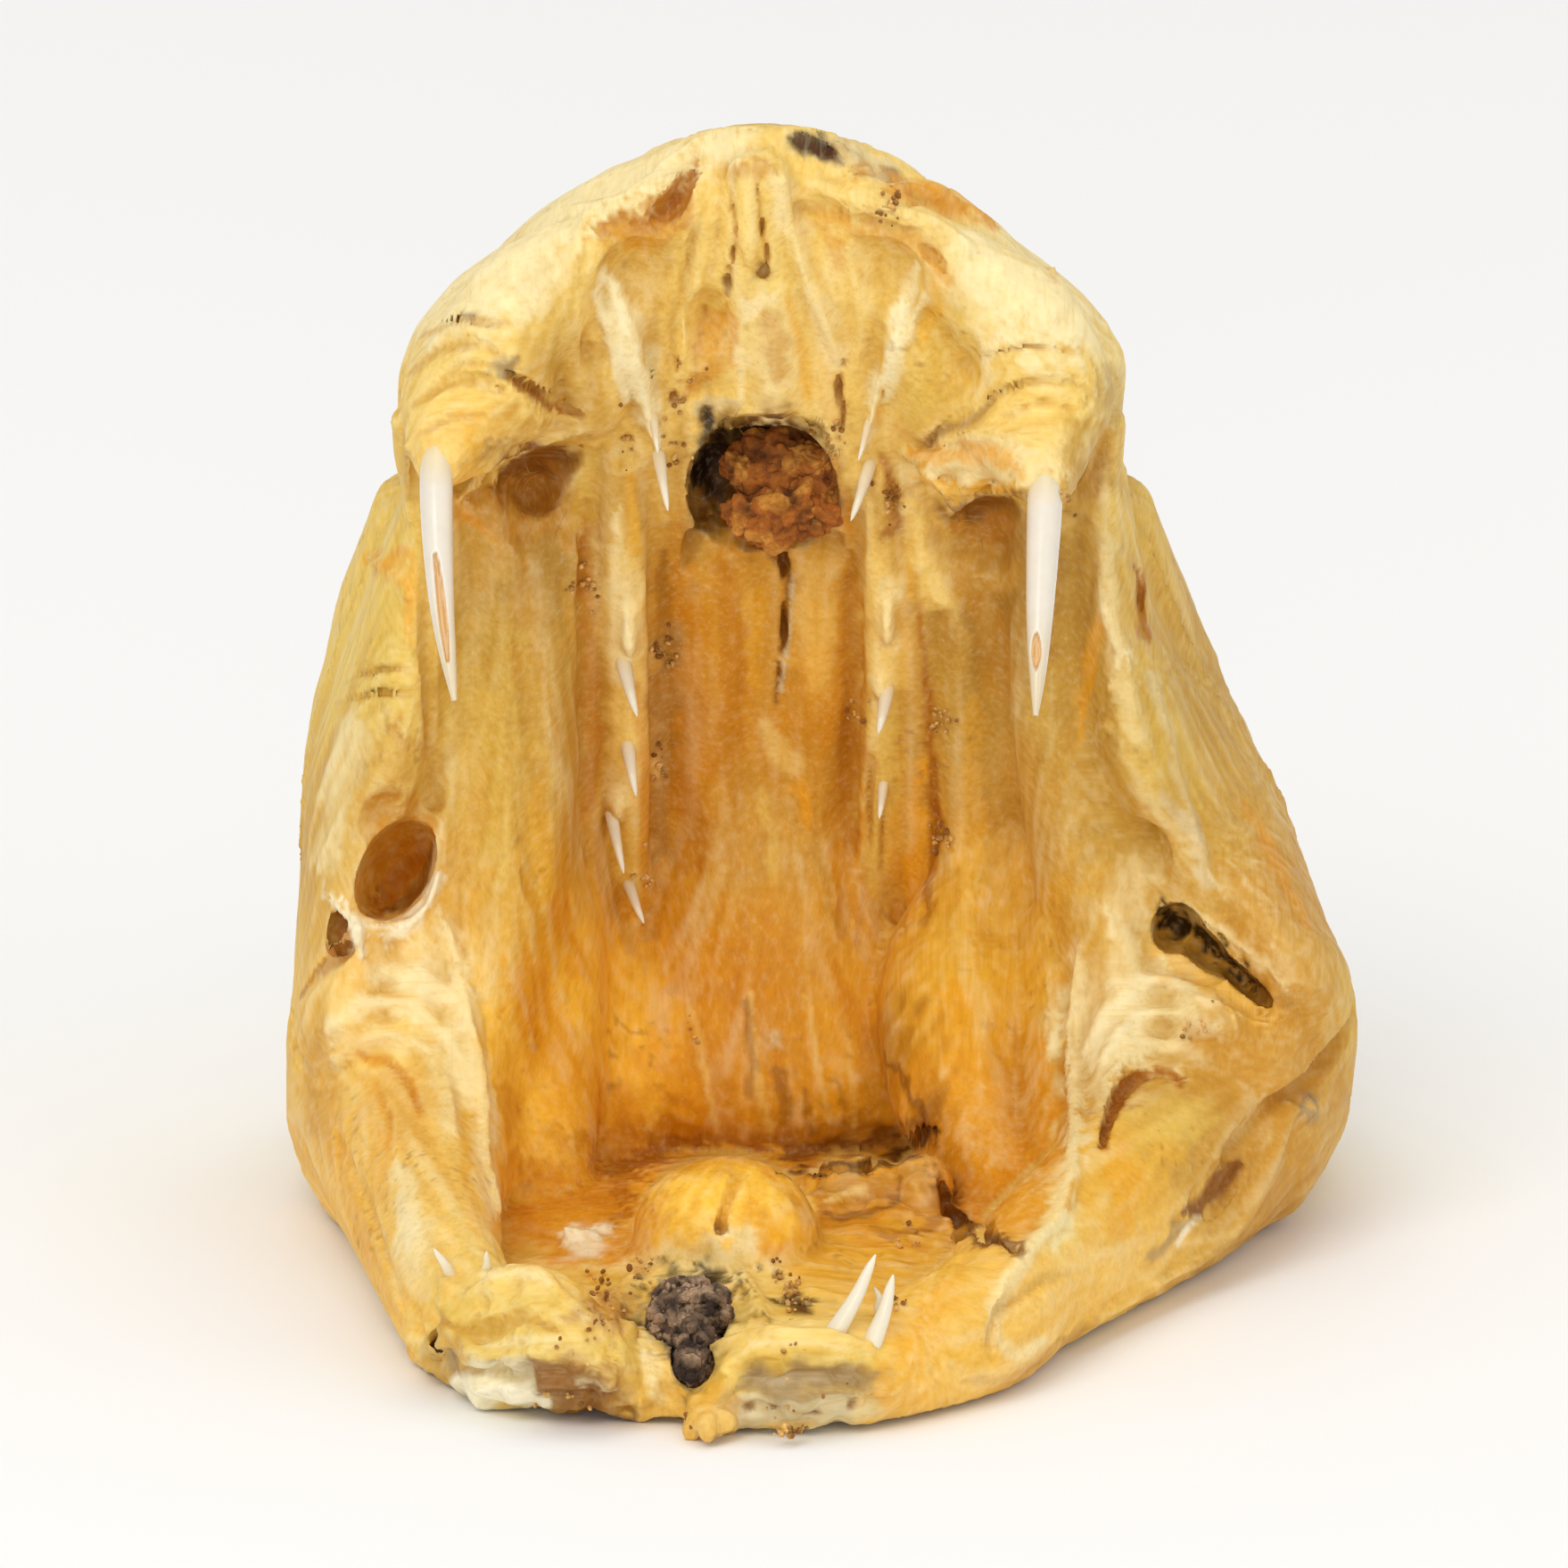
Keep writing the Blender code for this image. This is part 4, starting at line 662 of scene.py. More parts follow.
cheekForms = {
    "innerDipLeft": ("groove", .9, [(-11.2, 36.4, .7, .15), (-11.4, 33, .9, .2), (-11.3, 28, .9, .15),
        (-11, 23, .8, .1)]),
    "innerDipRight": ("groove", .9, [(6.3, 34.5, .8, .2), (6.6, 30, 1, .2), (7, 25, .9, .15),
        (7, 21.5, .8, .1)]),
    "sideGrooveLeft": ("groove", .5, [(-15.9, 37, .25, .3), (-15.8, 33, .25, .35), (-15.6, 29, .3, .4),
        (-15.6, 26.2, .3, .4)], "ochre", .5),
    "rampLeft": ("pit", .8, [(-17.3, 25.4, 1.3, 1.2, .7)]),
    "holeLeft": ("hollow", .2, ((-17.15, -1.6, 23.5), (1.35, 3.4, 2.15), -30)),
    "holeLeftLow": ("pit", .3, [(-19.2, 21.1, .55, .95, 1.6)], "rust", .9),
    "tearLeft": ("groove", .12, [(-18.9, 20.5, .2, .6), (-19.8, 19.9, .18, .5), (-20.6, 19.1, .14, .35),
        (-21, 18.6, .1, .2)], "rust", .7),
    "strapLeft": ("ridge", .25, [(-19.9, 22.7, .2, .15), (-19, 21.8, .26, .4), (-18.3, 21.3, .28, .5),
        (-17, 21.2, .3, .5), (-15.9, 22, .28, .45), (-15.4, 23.4, .22, .3)], "bone", .85),
    "strapStem": ("ridge", .25, [(-18.5, 21.2, .28, .45), (-18.55, 20.2, .22, .25)], "bone", .8),
    "wrinkleLeftA": ("groove", .15, [(-19.2, 31.2, .1, .12), (-17.6, 31.6, .12, .2),
        (-16.4, 31.5, .1, .15)], "ochre", .5),
    "wrinkleLeftB": ("groove", .15, [(-19.5, 30.3, .1, .12), (-17.7, 30.7, .12, .2),
        (-16.3, 30.5, .1, .15)], "ochre", .5),
    "wrinkleLeftC": ("ridge", .15, [(-18.2, 36.1, .25, .2), (-17.2, 35.4, .3, .35),
        (-16.6, 34.4, .22, .2)], "gold", .5),
    "edgeLeft": ("ridge", .3, [(-16.6, 40.4, .3, .2), (-16.6, 39, .3, .25), (-16.5, 37.6, .25, .2)]),
    "ligamentRight": ("ridge", .4, [(11.3, 36.6, .28, .1), (11.35, 34, .42, .2), (11.85, 32.4, .5, .25),
        (12.2, 30.6, .42, .2), (12.6, 29, .3, .1)], "cream", .4),
    "ligamentBump": ("knob", .1, [(11.9, 32.35, .45, .28, .25)]),
    "slotRight": ("groove", .12, [(12.75, 35.4, .18, .6), (12.85, 34.2, .2, .9),
        (12.95, 33.1, .18, .6)], "rust", .9),
    "diagonalRight": ("ridge", .3, [(13.3, 31.4, .2, .1), (14, 28.6, .22, .16), (14.8, 25.6, .22, .16),
        (15.6, 23, .16, .1)], "ash", .5),
    "dipRight": ("pit", .7, [(12.9, 24.2, .9, 1.2, .5), (10.5, 24.6, 1, .9, .35)]),
    "holeRightSlope": ("groove", .5, [(13.7, 20.9, .35, .3), (14.3, 20, .6, .6), (15.3, 19.3, .7, .7),
        (16.6, 18.6, .5, .5), (17.9, 17.9, .3, .2)], "skin", .7),
    "holeRight": ("hollow", .12, ((14.15, -1.6, 21.2), (.9, 2.8, .95), -30)),
    "holeRightShelf": ("pit", .5, [(14.9, 19.6, 1.3, .7, .6), (16.6, 18.9, .9, .4, .3)]),
    "holeRightEdge": ("ridge", .15, [(14.4, 22.3, .16, .1), (16, 21.1, .2, .15), (17.7, 19.6, .18, .15),
        (18.6, 18.8, .12, .1)], "cream", .5),
    "holeRightTail": ("hollow", .12, ((16.4, -1.6, 19.5), (2.1, 2.4, .3), -42)),
    "holeRightMiddle": ("hollow", .12, ((15.1, -1.6, 20.5), (1.6, 2.6, .6), -42)),
    "slitRight": ("groove", .15, [(14.75, 9.9, .2, .7), (15.8, 10.9, .33, 1.4),
        (16.75, 11.8, .22, .8)], "brown", .95),
    "scarRight": ("groove", .1, [(11.1, 12.6, .14, .3), (11.4, 13.8, .2, .5), (12.1, 15, .24, .55),
        (13.2, 15.6, .2, .5), (14.4, 15.2, .1, .2)], "rust", .9),
}

jawForms = {
    "innerEdgeLeft": ("ridge", .4, [(-15.1, 21.4, .25, .2), (-14.5, 19, .35, .45), (-14.05, 17, .35, .5),
        (-13.65, 15, .35, .5), (-13.45, 12, .35, .5), (-13, 10, .3, .35)], "cream", .65),
    "fanLeftA": ("ridge", .4, [(-19.8, 17.1, .38, .074), (-18.2, 18.2, .44, .19), (-16.3, 18, .44, .24),
        (-14.9, 16.7, .44, .24), (-14.3, 14.8, .38, .12)], "pale", .55),
    "fanLeftB": ("ridge", .4, [(-19.4, 16, .31, .062), (-17.9, 17, .35, .15), (-16.2, 16.6, .35, .19),
        (-15.2, 15.2, .35, .19), (-14.8, 13.2, .31, .074)], "cream", .5),
    "fanLeftC": ("ridge", .4, [(-17.6, 19.6, .31, .062), (-16.2, 19.5, .35, .17), (-15, 18.4, .31, .15),
        (-14.5, 17.2, .25, .062)], "pale", .45),
    "scarLeft": ("groove", .1, [(-18.6, 16.1, .12, .15), (-17.3, 16, .14, .28), (-16.5, 15.1, .16, .32),
        (-16.1, 14, .14, .2)], "orange", .7),
    "scarLeftLow": ("groove", .1, [(-17.9, 15, .12, .15), (-17.4, 13.8, .14, .22),
        (-17.3, 12.6, .1, .1)], "orange", .5),
    "longFoldLeft": ("groove", .4, [(-19.6, 13, .2, .15), (-18.2, 10, .3, .3), (-17.2, 7.4, .3, .3),
        (-16.6, 5.4, .2, .2)]),
    "innerEdgeRight": ("ridge", .4, [(10.3, 20.4, .25, .2), (9.95, 17.5, .4, .45), (9.95, 15, .42, .55),
        (9.9, 12, .42, .55), (9.4, 10, .42, .5), (8, 8.4, .4, .45), (7, 7, .36, .4),
        (6.75, 5.2, .3, .2)], "cream", .7),
    "fanRightA": ("ridge", .5, [(15.6, 18.5, .31, .035), (13.4, 19.2, .35, .098), (11.6, 18.4, .35, .13),
        (10.6, 16.4, .31, .084)], "pale", .35),
    "fanRightB": ("ridge", .5, [(15.8, 17.2, .31, .035), (13.4, 17.9, .35, .1), (11.8, 17, .35, .13),
        (10.8, 15, .31, .084)], "pale", .35),
    "fanRightC": ("ridge", .5, [(15, 16.2, .25, .035), (13.2, 16.6, .31, .084), (11.8, 15.9, .31, .084),
        (11, 14.2, .25, .043)], "cream", .35),
    "scarRight": ("groove", .1, [(11.15, 12.8, .12, .2), (11.6, 14.3, .16, .36), (12.5, 15.2, .18, .38),
        (13.7, 15.6, .16, .32), (14.4, 15.2, .1, .15)], "rust", .8),
    "lowerFoldRight": ("groove", .3, [(6.6, 4.4, .15, .15), (7, 6.2, .2, .3), (8.6, 7.2, .2, .25),
        (9.6, 7.6, .15, .1)], "ochre", .5),
    "outerFoldRight": ("ridge", .6, [(18.6, 14, .5, .15), (16.6, 9.6, .6, .3), (13.6, 7.4, .5, .3),
        (10.6, 5.6, .4, .15)]),
    "beadRight": ("knob", .12, [(19.6, 14, .42, .55, .28), (19.45, 14.5, .2, .25, .25)], "grey", .8),
}

floorForms = {
    "dimple": ("pit", .2, [(-4.1, 9.35, .22, .22, .5)], "brown", .8),
    "crease": ("groove", .3, [(-4.15, 9.4, .1, .4), (-3.9, 10.2, .16, .4), (-3.6, 11, .2, .35),
        (-3.4, 11.8, .2, .3)], "honey", .5),
    "lumpA": ("ball", .35, ((1.2, -3, 10.6), (2.3, 2, 1.75), 4)),
    "lumpB": ("ball", .3, ((3.8, -3.4, 10.5), (1.5, 1.7, 1.9), -20)),
    "lumpC": ("ball", .4, ((.1, -4.8, 9.9), (1.3, 1.4, 1.1))),
    "lumpD": ("ball", .4, ((2.6, -5.6, 9.5), (1.5, 1.3, 1.05), -8)),
    # the dark and brown tones of the slit and pit are painted shadow cast by the right pillar's lower edge
    "throatSlit": ("groove", .1, [(-1.8, 11.6, .06, .2), (-.6, 11.6, .16, .8), (.3, 11.8, .14, .9),
        (1.3, 11.75, .22, 1), (2.2, 12, .16, 1), (3.2, 12.2, .24, 1.1), (4.1, 12.7, .14, .8),
        (4.5, 13.2, .05, .2)], "dark", .85),
    "throatPit": ("groove", .2, [(4.7, 11, .12, .6), (5.2, 10, .3, 1.2), (5.9, 9.3, .34, 1.4),
        (6.8, 8.9, .2, .8), (7.6, 8.5, .2, .8)], "brown", .85),
    "fluff": ("knob", .3, [(-9.6, 8.9, .9, .55, .35), (-8.9, 9.3, .5, .3, .25),
        (-10.2, 9.2, .35, .3, .2)], "bone", .75),
    "throatFlake": ("knob", .08, [(-2, 16.6, .38, .5, .22)], "ash", .5),
    "soilHole": ("hollow", .2, ((-5.3, -20.5, 6), (1.55, 4.2, 1.65))),
    "soilHoleTail": ("hollow", .2, ((-5.15, -22, 4.1), (.75, 4.2, 1.15), 14)),
    # their dark tone is painted shade down the holes
    "shadedHoles": ("pit", .12, [(-1.35, 6.55, .5, .33, .7), (-.75, 6.35, .3, .22, .5),
        (-1.8, 7.6, .22, .18, .35), (-2.5, 7.9, .15, .12, .2)], "dark", .9),
    "crust": ("knob", .1, [(-9.2, 6.4, .4, .3, .25), (-8.5, 6.7, .35, .3, .25), (-8.9, 5.8, .35, .25, .25),
        (-7.3, 7.8, .3, .2, .2), (-8, 6.1, .3, .25, .2), (-9.9, 6, .3, .22, .2)], "rust", .6),
    "bridgeLeft": ("ridge", .4, [(-7.3, 7.6, .4, .25), (-8.2, 6.6, .5, .3), (-8.6, 5.6, .4, .25)]),
    "bridgeRight": ("ridge", .4, [(-3.2, 7.4, .5, .35), (-2.6, 6.2, .5, .3), (-2.8, 5.4, .4, .2)]),
    "rimRight": ("ridge", .3, [(-.5, 6.9, .35, .25), (1.2, 6.6, .3, .2), (2.4, 7.1, .2, .15)]),
}

chinForms = {
    "blockTopLeft": ("ridge", .3, [(-15.2, 7.5, .4, .35), (-14.3, 6.7, .45, .45), (-13, 7.2, .5, .55),
        (-12, 7.7, .5, .55), (-11, 7.4, .45, .5), (-10.2, 6.5, .4, .45), (-9, 5.6, .4, .35),
        (-7.6, 5.3, .35, .2)]),
    "blockFoldLeft": ("groove", .25, [(-15.3, 5.9, .2, .3), (-13.8, 5.3, .25, .4), (-12, 6, .22, .35),
        (-10.6, 5.4, .2, .3)], "tan", .4),
    "blockMiddleLeft": ("ridge", .4, [(-15.2, 4.7, .4, .25), (-13, 4.4, .5, .35), (-10.6, 4.3, .5, .4),
        (-8.4, 3.8, .4, .25)]),
    "blockGrooveLeft": ("groove", .25, [(-14.8, 4, .2, .25), (-12.6, 3.5, .2, .25), (-11.4, 3, .2, .25),
        (-9.6, 2.9, .2, .2)]),
    "oliveFold": ("groove", .3, [(-15.6, 6.3, .2, .2), (-15.3, 4.6, .3, .35), (-15.5, 3.2, .2, .2)]),
    "paleStrip": ("ridge", .2, [(-7.1, 5.2, .22, .2), (-6.8, 3.7, .28, .35),
        (-6.5, 2.3, .22, .2)], "cream", .7),
    "blockTopRight": ("ridge", .35, [(-4, 4.8, .45, .3), (-2, 5.2, .5, .45), (.2, 5.1, .5, .45),
        (1.8, 4.6, .4, .25)]),
    "blockGrooveRight": ("groove", .25, [(-3.9, 3.95, .18, .2), (-1.5, 3.95, .2, .3), (1.5, 3.8, .18, .2)]),
    "blockLowRight": ("ridge", .4, [(-3.5, 2.9, .4, .25), (-1, 2.9, .55, .4), (1.5, 2.9, .5, .25)]),
    "blockPits": ("pit", .1, [(-3, 2.3, .2, .15, .3), (-.5, 2.1, .3, .15, .3), (1.2, 2.4, .2, .15, .25),
        (-9.2, 2.7, .2, .15, .25), (-2, 2.2, .2, .12, .25)], "brown", .7),
}
fineForms = (sheathForms, palateForms, snoutForms, cheekForms, jawForms, floorForms, chinForms)
print("forms listed")

# What the photograph doesn't show: top, sides, back and underneath, given along the roof (x, s, h)


def alongHead(stations):
    return [(*onRoof(x, s, h), wide, deep) for x, s, h, wide, deep in stations]


eyeSpots = {"left": (-14.9, 28.5, 6.4), "right": (9.7, 28.5, 6.4)}

backForms = {
    "templeLeft": ("bar", 2, alongHead([(-7.4, 22, 12.2, 3.2, 2), (-9, 15, 12.2, 4.4, 2.6),
        (-10.4, 8, 11.6, 4.8, 2.8), (-10, 2, 10.4, 4, 2.6)])),
    "templeRight": ("bar", 2, alongHead([(2.6, 22, 12.2, 3.2, 2), (4.2, 15, 12.2, 4.4, 2.6),
        (6.4, 8, 11.6, 4.8, 2.8), (7.4, 2, 10.2, 4, 2.6)])),
    "midlineGroove": ("channel", 1.6, alongHead([(-2.5, 34, 12.9, .8, .8), (-2.4, 26, 15, 1, 1),
        (-2.3, 18, 16, 1.3, 1.5), (-2, 9, 16, 1.5, 1.7), (-1.2, 0, 14, 1.5, 1.6)])),
    "browLeft": ("bar", .8, alongHead([(-11.6, 33.4, 8.2, .7, .7), (-13.7, 31, 9.1, 1, 1),
        (-14.3, 28, 9.8, 1.1, 1), (-13.6, 25, 10, .9, .9), (-12, 23, 10.4, .6, .6)])),
    "browRight": ("bar", .8, alongHead([(6.4, 33.4, 8.2, .7, .7), (8.6, 31, 9.1, 1, 1),
        (9.2, 28, 9.8, 1.1, 1), (8.5, 25, 10, .9, .9), (7, 23, 10.4, .6, .6)])),
    "glandLeft": ("bar", 1.6, alongHead([(-16.9, 24, 4.4, 1.4, 2.4), (-17.9, 18, 4.6, 1.9, 3.2),
        (-18.7, 11, 4.8, 2.1, 3.4), (-18.6, 5, 4.4, 1.8, 2.6)])),
    "glandRight": ("bar", 1.6, alongHead([(12.1, 24, 4.4, 1.4, 2.4), (13.3, 18, 4.6, 1.9, 3.2),
        (15.1, 11, 4.8, 2.1, 3.4), (16.6, 5, 4.4, 1.8, 2.6)])),
    "glandFoldLeft": ("channel", .7, alongHead([(-17.6, 25, 8.4, .4, .5), (-18.6, 18, 9, .5, .6),
        (-19.4, 10, 9.2, .5, .7), (-19.6, 3, 8.4, .4, .5)])),
    "glandFoldRight": ("channel", .7, alongHead([(12.8, 25, 8.4, .4, .5), (13.9, 18, 9, .5, .6),
        (16.4, 10, 9.2, .5, .7), (18.2, 3, 8.4, .4, .5)])),
    "socketLeft": ("hollow", .5, (onRoof(-15.9, 28.6, 6.5), (2.5, 2.75, 2.75))),
    "socketRight": ("hollow", .5, (onRoof(10.7, 28.6, 6.5), (2.5, 2.75, 2.75))),
    "heatPitLeft": ("hollow", .4, (onRoof(-16.9, 35.3, 3.9), (.9, .8, .8))),
    "heatPitRight": ("hollow", .4, (onRoof(11.8, 35.3, 3.9), (.9, .8, .8))),
    "snoutBoneLeft": ("bar", 1.2, alongHead([(-4.2, 42.5, 4.3, .8, .8), (-6, 39, 8, 1.3, 1.2),
        (-7, 35, 10.4, 1.5, 1.4), (-7, 31, 11.6, 1.3, 1.2)])),
    "snoutBoneRight": ("bar", 1.2, alongHead([(-.6, 42.5, 4.3, .8, .8), (1.2, 39, 8, 1.3, 1.2),
        (2.2, 35, 10.4, 1.5, 1.4), (2.2, 31, 11.6, 1.3, 1.2)])),
    "jawEdgeLeft": ("channel", .6, [(-22, 3, 17.6, 1, .5), (-21.6, -1, 14.6, 1, .5),
        (-20, -5, 12, .8, .4)]),
    "jawEdgeRight": ("channel", .6, [(22, 3, 18.4, 1, .5), (19.6, -1, 15, 1, .5), (16.4, -5, 12, .8, .4)]),
}


neckStrands = {
    "count": 11,
    "rings": [  # middle x, y and z, half width and height, turn, and half width and depth of the grooves
        (-.8, 26.4, 23.2, 10, 8.9, 0, .12, .12), (-.9, 30, 24, 9.3, 8.3, .05, .5, .55),
        (-1, 36, 25.4, 8.9, 8.2, .08, .65, .75), (-1, 43, 26.4, 8.9, 8.2, .08, .65, .75),
    ],
}
neckEndForms = {  # the cut end has shrunk in between the spine and the gullet
    "stumpDish": ("hollow", 1, ((-1, 33, 25.2), (6.4, 1.7, 5.4), 0, -15)),
    "stumpSpine": ("ball", .8, ((-1, 30.3, 27.6), (1.9, 1.1, 1.6))),
    "stumpGullet": ("hollow", .6, ((-1, 33, 22.2), (2.1, 2.6, 1.3))),
}
cuts = {"neck": 37.75, "neckRound": 0.5, "rest": 0.12, "restRound": 0.25}


def neckBundles():  # strands of dried muscle round the cut neck
    forms, count = {}, neckStrands["count"]
    for i in range(count):
        a = 2 * math.pi * (i + 0.5) / count + 0.2 * math.sin(i * 2.3)
        reach = 1.02 + 0.03 * math.sin(i * 1.7)
        forms[f"strand{i}"] = ("channel", 0.5, [
            (x + wide * reach * math.cos(a + turn), y, z + tall * reach * math.sin(a + turn), w, d)
            for x, y, z, wide, tall, turn, w, d in neckStrands["rings"]])
    return forms


def shapeClay():
    clay = Clay()
    clay.upperHead(headStations, headSection["widestH"], headSection["peaks"], headSection["fadeS"])
    relief = Relief(clay)
    pressForms(clay, relief, massForms)
    print("masses pressed")
    pressForms(clay, relief, backForms)
    pressForms(clay, relief, neckBundles())
    clay.behind(cuts["neck"], cuts["neckRound"])
    pressForms(clay, relief, neckEndForms)
    for forms in fineForms:
        pressForms(clay, relief, forms)
    clay.above(cuts["rest"], cuts["restRound"])
    relief.refresh()
    print("fine forms pressed")
    return clay, relief


# The skin taken from the clay: fibres that follow the drying, and colour laid on by place

fibreWays = [  # x, z in the picture, reach, and the way the fibres run: right, away, up
    (-14, 47, 3.5, (.8, -.4, .6)), (-15, 43.5, 2.2, (1, 0, .1)), (-7, 46, 3, (-.1, -.6, .8)),
    (8, 47, 3.5, (-.6, -.4, .6)), (9, 43.5, 2.2, (1, 0, -.1)), (6, 40.2, 2, (1, .1, 0)),
    (-11, 41.5, 1.5, (1, 0, -.4)), (-18.4, 31, 1.6, (1, .1, .15)), (-18.5, 26, 3, (.5, -.4, .8)),
    (-17, 18.5, 1.8, (1, 0, .1)), (-14.6, 16.5, 1.6, (.35, 0, -1)), (-18.5, 13, 2.6, (.3, -.3, -.9)),
    (-17, 8, 3.2, (.3, -.6, -.7)), (-12, 5, 2.5, (1, -.2, -.2)), (0, 4, 3.5, (1, 0, 0)),
    (13.4, 18.2, 2.2, (1, 0, .2)), (10.3, 15, 1.3, (.1, 0, 1)), (11.8, 21.5, 1.8, (.6, 0, 1)),
    (13, 12, 3, (-.6, -.4, -.7)), (8, 6, 3.4, (-.9, -.3, -.5)), (18, 12, 3, (-.5, -.2, -.8)),
    (14, 28, 3, (.45, .3, -.85)), (-4, 10, 2.6, (.3, .6, .8)), (-3.9, 8, 1.5, (.2, -.2, 1)),
    (2.4, 10, 2.4, (1, .1, 0)), (6.6, 14, 3, (.25, -.3, .9)),
]


def fibreDirection(points):
    way = np.zeros((len(points), 3)) + (0, -math.sin(roofPlane["slope"]), math.cos(roofPlane["slope"]))
    way *= 0.25
    for x, z, reach, toward in fibreWays:
        weight = np.exp(-((points[:, 0] - x) ** 2 + (points[:, 2] - z) ** 2) / reach ** 2)
        way += weight[:, None] * np.array(toward) / np.linalg.norm(toward)
    return way


def fibres(points, way, size, seed, steps=4, length=1.3):
    total = np.zeros(len(points), np.float32)
    for i in range(-steps, steps + 1):
        total += lumps(points + way * (length * i / steps), size, seed)
    return total / math.sqrt(2 * steps + 1)


def unit(v):
    return v / np.maximum(np.linalg.norm(v, axis=1), 1e-9)[:, None]


def linear(text):  # an sRGB hex colour as linear light
    value = [int(text[i:i + 2], 16) / 255 for i in (1, 3, 5)]
    return np.array([v / 12.92 if v <= 0.04045 else ((v + 0.055) / 1.055) ** 2.4 for v in value])


def evenColour(name, points):  # one tissue or hex colour on every point
    return np.tile(linear(tissue.get(name, name)), (len(points), 1))


def towards(colour, name, weight):  # moves the colours part of the way to another
    colour += (linear(tissue.get(name, name)) - colour) * weight[:, None]


tissue = {  # dried muscle, gum and membrane, as sRGB hex; the last entry, the brightest, is a painted glow of light coming through the tissue
    "cream": "#F6E3B4", "pale": "#FAEFCC", "butter": "#F3D07A", "straw": "#E6C364", "ochre": "#D0A24A",
    "olive": "#C49C48", "tan": "#CA9238", "honey": "#EAB236", "gold": "#ECA616", "amber": "#D48C10",
    "deep": "#BC7208", "brown": "#875010", "dark": "#4C2606", "black": "#241004", "grey": "#9C8264",
    "ash": "#D6C7AA", "bone": "#FAF3E2", "rust": "#AE6A14", "orange": "#E2981A", "skin": "#F4C462",
    "glow": "#FFC944",
}

